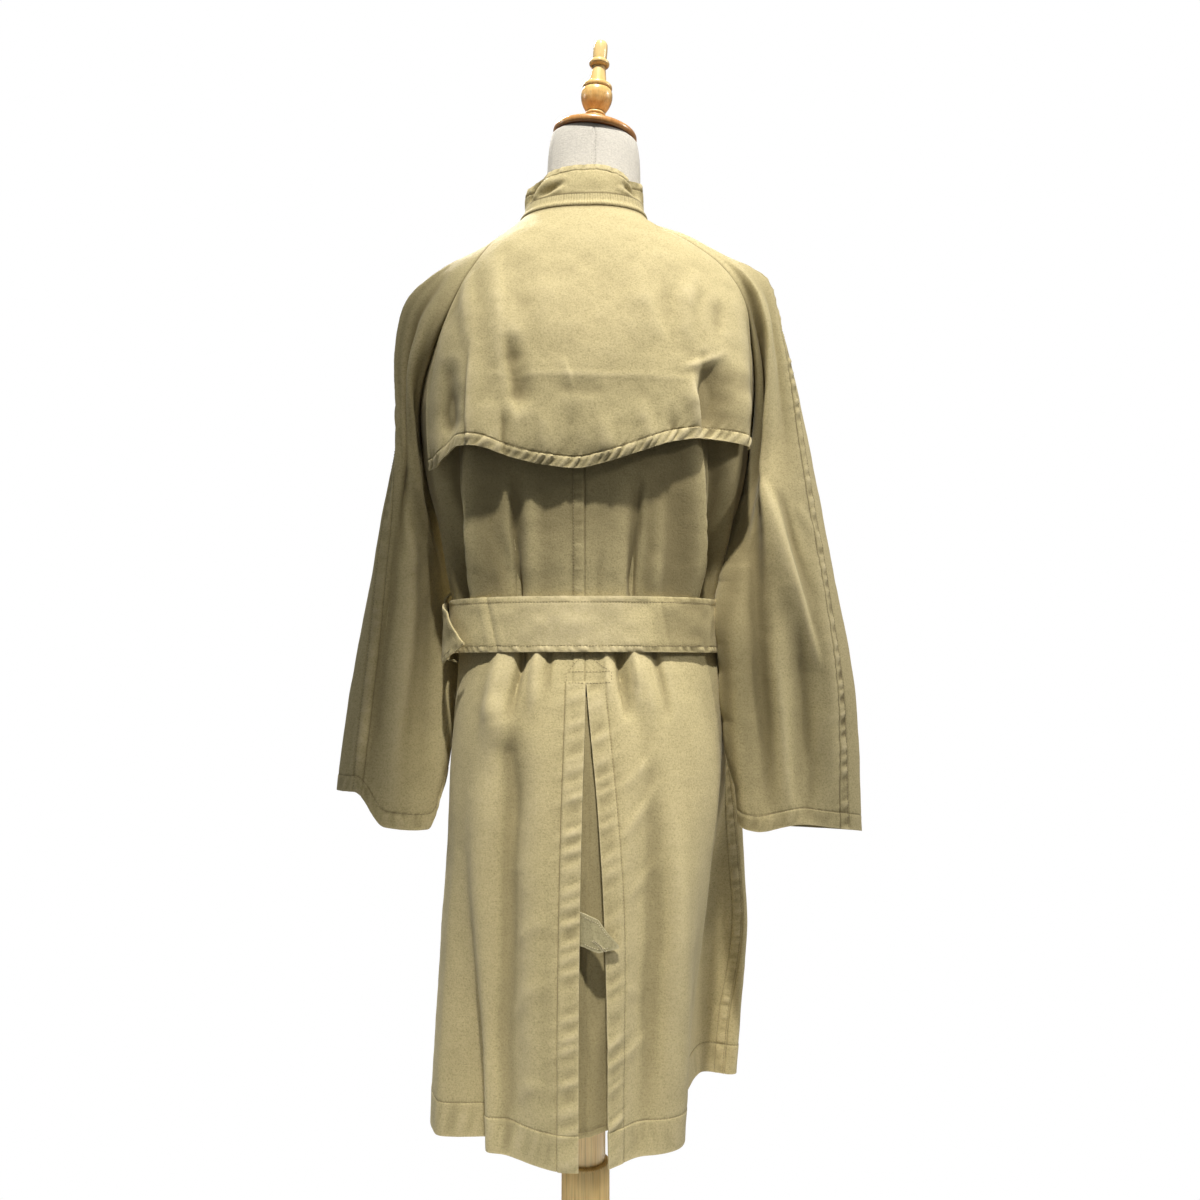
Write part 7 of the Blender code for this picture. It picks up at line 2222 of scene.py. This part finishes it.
def stand_fine():
    cap = [(0, 0), (0.0480, 0), (0.0494, 0.0006), (0.0502, 0.0018), (0.0506, 0.0040), (0.0503, 0.0060), (0.0496, 0.0072),
           (0.0480, 0.0082), (0.0460, 0.0094), (0.0430, 0.0108), (0.0390, 0.0124), (0.0345, 0.0139), (0.0300, 0.0154),
           (0.0250, 0.0167), (0.0200, 0.0178), (0.0186, 0.0182), (0.0180, 0.0186), (0.0178, 0.0196), (0.0177, 0.0206),
           (0.0172, 0.0216), (0.0164, CAP_TOP), (0, CAP_TOP)]
    turn("fine_neck_cap", cap, cap_frame(0.0004), M_CAP, "turned_wood", 128, ["neck_cap"], 40, [(0.0180, 0.0006), (0.0, 0.0008)])
    fin = [(0, 0), (0.0120, 0), (0.0128, 0.0012), (0.0128, 0.0030), (0.0108, 0.0040),
           (0.0108, 0.0050), (0.0122, 0.0060), (0.0120, 0.0074), (0.0108, 0.0084), (0.0128, 0.0112), (0.0160, 0.0165),
           (0.0182, 0.0222), (0.0190, 0.0272), (0.0187, 0.0315), (0.0177, 0.0345), (0.0167, 0.0356),
           (0.0172, 0.0364), (0.0178, 0.0384), (0.0174, 0.0408), (0.0150, 0.0428), (0.0108, 0.0438), (0.0103, 0.0452),
           (0.0093, 0.0530), (0.0083, 0.0610), (0.0078, 0.0636), (0.0108, 0.0650), (0.0121, 0.0666),
           (0.0122, 0.0688), (0.0112, 0.0704), (0.0088, 0.0714), (0.0080, 0.0724), (0.0084, 0.0760),
           (0.0086, 0.0850), (0.0081, 0.0908), (0.0066, 0.0936), (0.0030, 0.0944), (0, 0.0945)]
    turn("fine_finial", smooth_profile(fin, 4), cap_frame(0.0004 + CAP_TOP, FINIAL_TILT_X), M_WOOD, "turned_wood", 96, ["finial"], 48,
         [(0.0044, 0.0006), (0.0087, 0.0006), (0.0357, 0.0007), (0.0438, 0.0008), (0.0638, 0.0008), (0.0716, 0.0008), (0.0034, 0.0004)],
         (0.036, 0.075))
    up = [(0, POST_STEP + 0.0004), (POST_R1 - 0.002, POST_STEP + 0.0004), (POST_R1 - 0.0006, POST_STEP + 0.0010),
          (POST_R1, POST_STEP + 0.0024), (POST_R1, FORM_BOTTOM - 0.0004), (0, FORM_BOTTOM - 0.0004)]
    turn("fine_post_upper", up, None, M_POST, "post_wood", 96, ["post_upper"], 40)
    r = POST_R2
    lowp = [(0, BASE_H + 0.0004), (0.040, BASE_H + 0.0004), (0.0425, BASE_H + 0.004),
            (0.0425, BASE_H + 0.010), (0.039, BASE_H + 0.016), (0.0315, BASE_H + 0.020),
            (0.0295, BASE_H + 0.026), (0.0320, BASE_H + 0.032), (0.0320, BASE_H + 0.038),
            (0.0285, BASE_H + 0.044), (r, BASE_H + 0.060), (r, POST_STEP - 0.003),
            (r - 0.0008, POST_STEP - 0.0008), (r - 0.003, POST_STEP), (0, POST_STEP)]
    turn("fine_post_lower", lowp, None, M_POST, "post_wood", 96, ["post_lower"], 34,
         [(BASE_H + 0.020, 0.0012), (BASE_H + 0.045, 0.0015)])
    foot = [(0, 0), (BASE_R - 0.004, 0), (BASE_R - 0.0012, 0.0012), (BASE_R, 0.004), (BASE_R, 0.012), (BASE_R - 0.0012, 0.0158),
            (BASE_R - 0.004, 0.018), (BASE_R - 0.014, 0.0215), (BASE_R - 0.018, 0.0215), (BASE_R - 0.021, 0.0238),
            (BASE_R - 0.026, 0.0260), (BASE_R - 0.060, 0.0310), (0.060, BASE_H), (0, BASE_H)]
    turn("fine_stand_base", foot, None, M_BASE, "post_wood", 160, ["stand_base"], 34, [(0.0216, 0.0009)])


# ------------------------------------------------------------------ build all
stand_fine()
form_fine()
FORM_REST = ["fine_form"]
bl, bl_s = back_panel_fine("left")
br, br_s = back_panel_fine("right")
fl, fl_s, f_out, f_n, f_A, f_H = front_panel_fine("left")
fr_, fr_s, _o, _n, _a, _h = front_panel_fine("right")
un, un_s = underlay_fine()
sf, sf_s = flap_fine()
sleeves = {}
for sd in ("left", "right"):
    for wh in ("back", "front"):
        sleeves[sd, wh] = sleeve_half_fine(sd, wh)
col_parts = collar_fine()
be, be_s = belt_fine()
ll, ll_s = loop_fine("belt_loop_left", 88.0, BELT_IN + BELT_STEP + BELT_T / 2 + 0.0006 + 0.001)
lr, lr_s = loop_fine("belt_loop_right", 274.0, BELT_IN + BELT_T / 2 + 0.0006 + 0.0018)
tb, tb_s = tab_fine()
buckle_fine()
for k, z in enumerate((1.330, 1.205, 1.080, 0.800), 1):
    button_fine("front_button_%d" % k, z, f_out, f_n, f_A, f_H)


def measured(ob):
    me = ob.data
    a = np.zeros(len(me.polygons))
    me.polygons.foreach_get("area", a)
    return float(a.sum()) / 2


AREAS = {o.name: round(measured(o), 4) for o in bpy.data.objects if o.name.startswith("cloth_")}
print("AREAS", AREAS)

BACKS = ["cloth_back_left", "cloth_back_right"]
for ob, st, flat, area, held, rests in (
        (bl, bl_s, (0.325, 1.050), 0.243, "hung", FORM_REST),
        (br, br_s, (0.345, 1.050), 0.265, "hung", FORM_REST),
        (fl, fl_s, (0.330, 1.030), 0.232, "hung", FORM_REST),
        (fr_, fr_s, (0.330, 1.030), 0.240, "hung", FORM_REST),
        (un, un_s, (0.095, 0.450), 0.0375, "hung", BACKS),
        (sf, sf_s, (0.440, 0.320), 0.107, "hung", BACKS),
        (sleeves["left", "back"][0], sleeves["left", "back"][1], (0.150, 0.770), 0.078, "hung", FORM_REST),
        (sleeves["left", "front"][0], sleeves["left", "front"][1], (0.235, 0.770), 0.122, "hung", FORM_REST),
        (sleeves["right", "back"][0], sleeves["right", "back"][1], (0.160, 0.790), 0.083, "hung", FORM_REST),
        (sleeves["right", "front"][0], sleeves["right", "front"][1], (0.250, 0.790), 0.144, "hung", FORM_REST),
        (col_parts[0][0], None, (0.450, 0.020), 0.0088, "folded", FORM_REST),
        (col_parts[1][0], col_parts[1][1], (0.430, 0.038), 0.0150, "folded", FORM_REST),
        (be, be_s, (1.090, 0.066), 0.0700, "laid", BACKS + ["cloth_front_left", "cloth_front_right"]),
        (ll, ll_s, (0.014, 0.092), 0.00125, "stretched", ["cloth_belt"]),
        (lr, lr_s, (0.014, 0.092), 0.00120, "stretched", ["cloth_belt"]),
        (tb, tb_s, (0.047, 0.036), 0.00145, "hung", ["cloth_back_left"])):
    list(rests)

# ------------------------------------------------------------ floor and light
me = bpy.data.meshes.new("floor")
bm = bmesh.new()
bmesh.ops.create_circle(bm, cap_ends=True, segments=128, radius=0.56)
bm.to_mesh(me)
bm.free()
floor = bpy.data.objects.new("floor", me)
bpy.context.scene.collection.objects.link(floor)
m, nt, b = nodes_of("floor_pale")
tcn = add(nt, "ShaderNodeTexCoord")
fn = add(nt, "ShaderNodeTexNoise", i_Scale=3.0, i_Detail=3.0)
nt.links.new(tcn.outputs["Object"], fn.inputs["Vector"])
nt.links.new(ramp(nt, fn.outputs[0], [(0.3, 0.80), (0.7, 0.84)]), b.inputs["Base Color"])
b.inputs["Roughness"].default_value = 0.9
b.inputs["Specular IOR Level"].default_value = 0.1
away = add(nt, "ShaderNodeVectorMath")
away.operation = "LENGTH"
nt.links.new(tcn.outputs["Object"], away.inputs[0])
rim = add(nt, "ShaderNodeMapRange")
rim.interpolation_type = "SMOOTHSTEP"
rim.inputs[1].default_value = 0.15
rim.inputs[2].default_value = 0.42
rim.inputs[3].default_value = 0.0
rim.inputs[4].default_value = 0.9
nt.links.new(away.outputs["Value"], rim.inputs[0])
b.inputs["Emission Color"].default_value = (1.0, 1.0, 1.0, 1.0)
nt.links.new(rim.outputs[0], b.inputs["Emission Strength"])
me.materials.append(m)

# a white studio: bright to the eye, darker from below, so that the folds read
world = bpy.data.worlds.new("studio")
bpy.context.scene.world = world
world.use_nodes = True
wn = world.node_tree
bg = wn.nodes["Background"]
bg.inputs[1].default_value = 1.0
wtc = wn.nodes.new("ShaderNodeTexCoord")
wsep = wn.nodes.new("ShaderNodeSeparateXYZ")
wn.links.new(wtc.outputs["Generated"], wsep.inputs[0])
wr = wn.nodes.new("ShaderNodeMapRange")
wr.inputs[1].default_value = -0.6
wr.inputs[2].default_value = 0.9
wr.inputs[3].default_value = 0.08
wr.inputs[4].default_value = 0.225
wn.links.new(wsep.outputs[2], wr.inputs[0])
wn.links.new(wr.outputs[0], bg.inputs[0])
bg2 = wn.nodes.new("ShaderNodeBackground")
bg2.inputs[0].default_value = (1.0, 1.0, 1.0, 1)
bg2.inputs[1].default_value = 1.0
lp = wn.nodes.new("ShaderNodeLightPath")
mx = wn.nodes.new("ShaderNodeMixShader")
wn.links.new(lp.outputs["Is Camera Ray"], mx.inputs[0])
wn.links.new(bg.outputs[0], mx.inputs[1])
wn.links.new(bg2.outputs[0], mx.inputs[2])
wn.links.new(mx.outputs[0], wn.nodes["World Output"].inputs[0])


def area_light(name, at, to, size, power, colour=(1, 1, 1)):
    li = bpy.data.lights.new(name, "AREA")
    li.shape = "DISK"
    li.size = size
    li.energy = power
    li.color = colour
    ob = bpy.data.objects.new(name, li)
    bpy.context.scene.collection.objects.link(ob)
    ob.location = at
    ob.rotation_mode = "QUATERNION"
    ob.rotation_quaternion = (Vector(to) - Vector(at)).to_track_quat("-Z", "Y")
    return ob


# the key stands high behind the coat; its soft sides fall on the sleeves
key_data = bpy.data.lights.new("key", "SPOT")
key_data.energy = 680.0
key_data.color = (1.0, 0.970, 0.905)
key_data.shadow_soft_size = 0.075
key_data.spot_size = math.radians(32.0)
key_data.spot_blend = 0.35
key = bpy.data.objects.new("key", key_data)
bpy.context.scene.collection.objects.link(key)
key.location = (-0.06, 1.62, 4.05)
key.rotation_mode = "QUATERNION"
key.rotation_quaternion = (Vector((-0.035, 0.05, 1.02)) - Vector(key.location)).to_track_quat("-Z", "Y")
key.scale = (0.235, 1.0, 1.0)
low_data = bpy.data.lights.new("low", "SPOT")
low_data.energy = 70.0
low_data.color = (1.0, 0.975, 0.92)
low_data.shadow_soft_size = 0.22
low_data.spot_size = math.radians(11.0)
low_data.spot_blend = 0.75
low = bpy.data.objects.new("low", low_data)
bpy.context.scene.collection.objects.link(low)
low.location = (1.05, 2.60, 2.05)
low.rotation_mode = "QUATERNION"
low.rotation_quaternion = (Vector((0.02, 0.05, 0.40)) - Vector(low.location)).to_track_quat("-Z", "Y")
# a narrow light along the outer side of the right sleeve
rim_data = bpy.data.lights.new("sleeve_rim", "SPOT")
rim_data.energy = 85.0
rim_data.color = (1.0, 0.975, 0.92)
rim_data.shadow_soft_size = 0.12
rim_data.spot_size = math.radians(19.0)
rim_data.spot_blend = 0.7
rimo = bpy.data.objects.new("sleeve_rim", rim_data)
bpy.context.scene.collection.objects.link(rimo)
rimo.location = (-2.30, 1.05, 2.35)
rimo.rotation_mode = "QUATERNION"
rimo.rotation_quaternion = (Vector((-0.27, 0.0, 0.98)) - Vector(rimo.location)).to_track_quat("-Z", "Y")
area_light("top", (-0.35, 1.35, 3.9), (0, 0, 1.05), 0.6, 14.0, (1.0, 0.975, 0.92))
area_light("side_right", (-2.6, 0.2, 2.4), (0, 0, 1.0), 0.6, 26.0, (1.0, 0.98, 0.94))
area_light("side_left", (2.6, -0.4, 2.3), (0, 0, 1.0), 0.6, 8.0, (0.98, 1.0, 0.96))
area_light("front_fill", (0.7, -2.0, 3.6), (0, 0, 0.9), 0.7, 130.0, (1.0, 0.98, 0.95))

cam_data = bpy.data.cameras.new("camera")
cam_data.lens = 30.0
cam_data.sensor_width = 36.0
cam = bpy.data.objects.new("camera", cam_data)
bpy.context.scene.collection.objects.link(cam)
cam.location = (-0.0164, 1.17, 0.905)
cam.rotation_mode = "XYZ"
cam.rotation_euler = (math.radians(90.0 + 3.43), 0.0, math.radians(180.0))
bpy.context.scene.camera = cam
bpy.context.scene.view_settings.view_transform = "Standard"
bpy.context.scene.view_settings.look = "None"
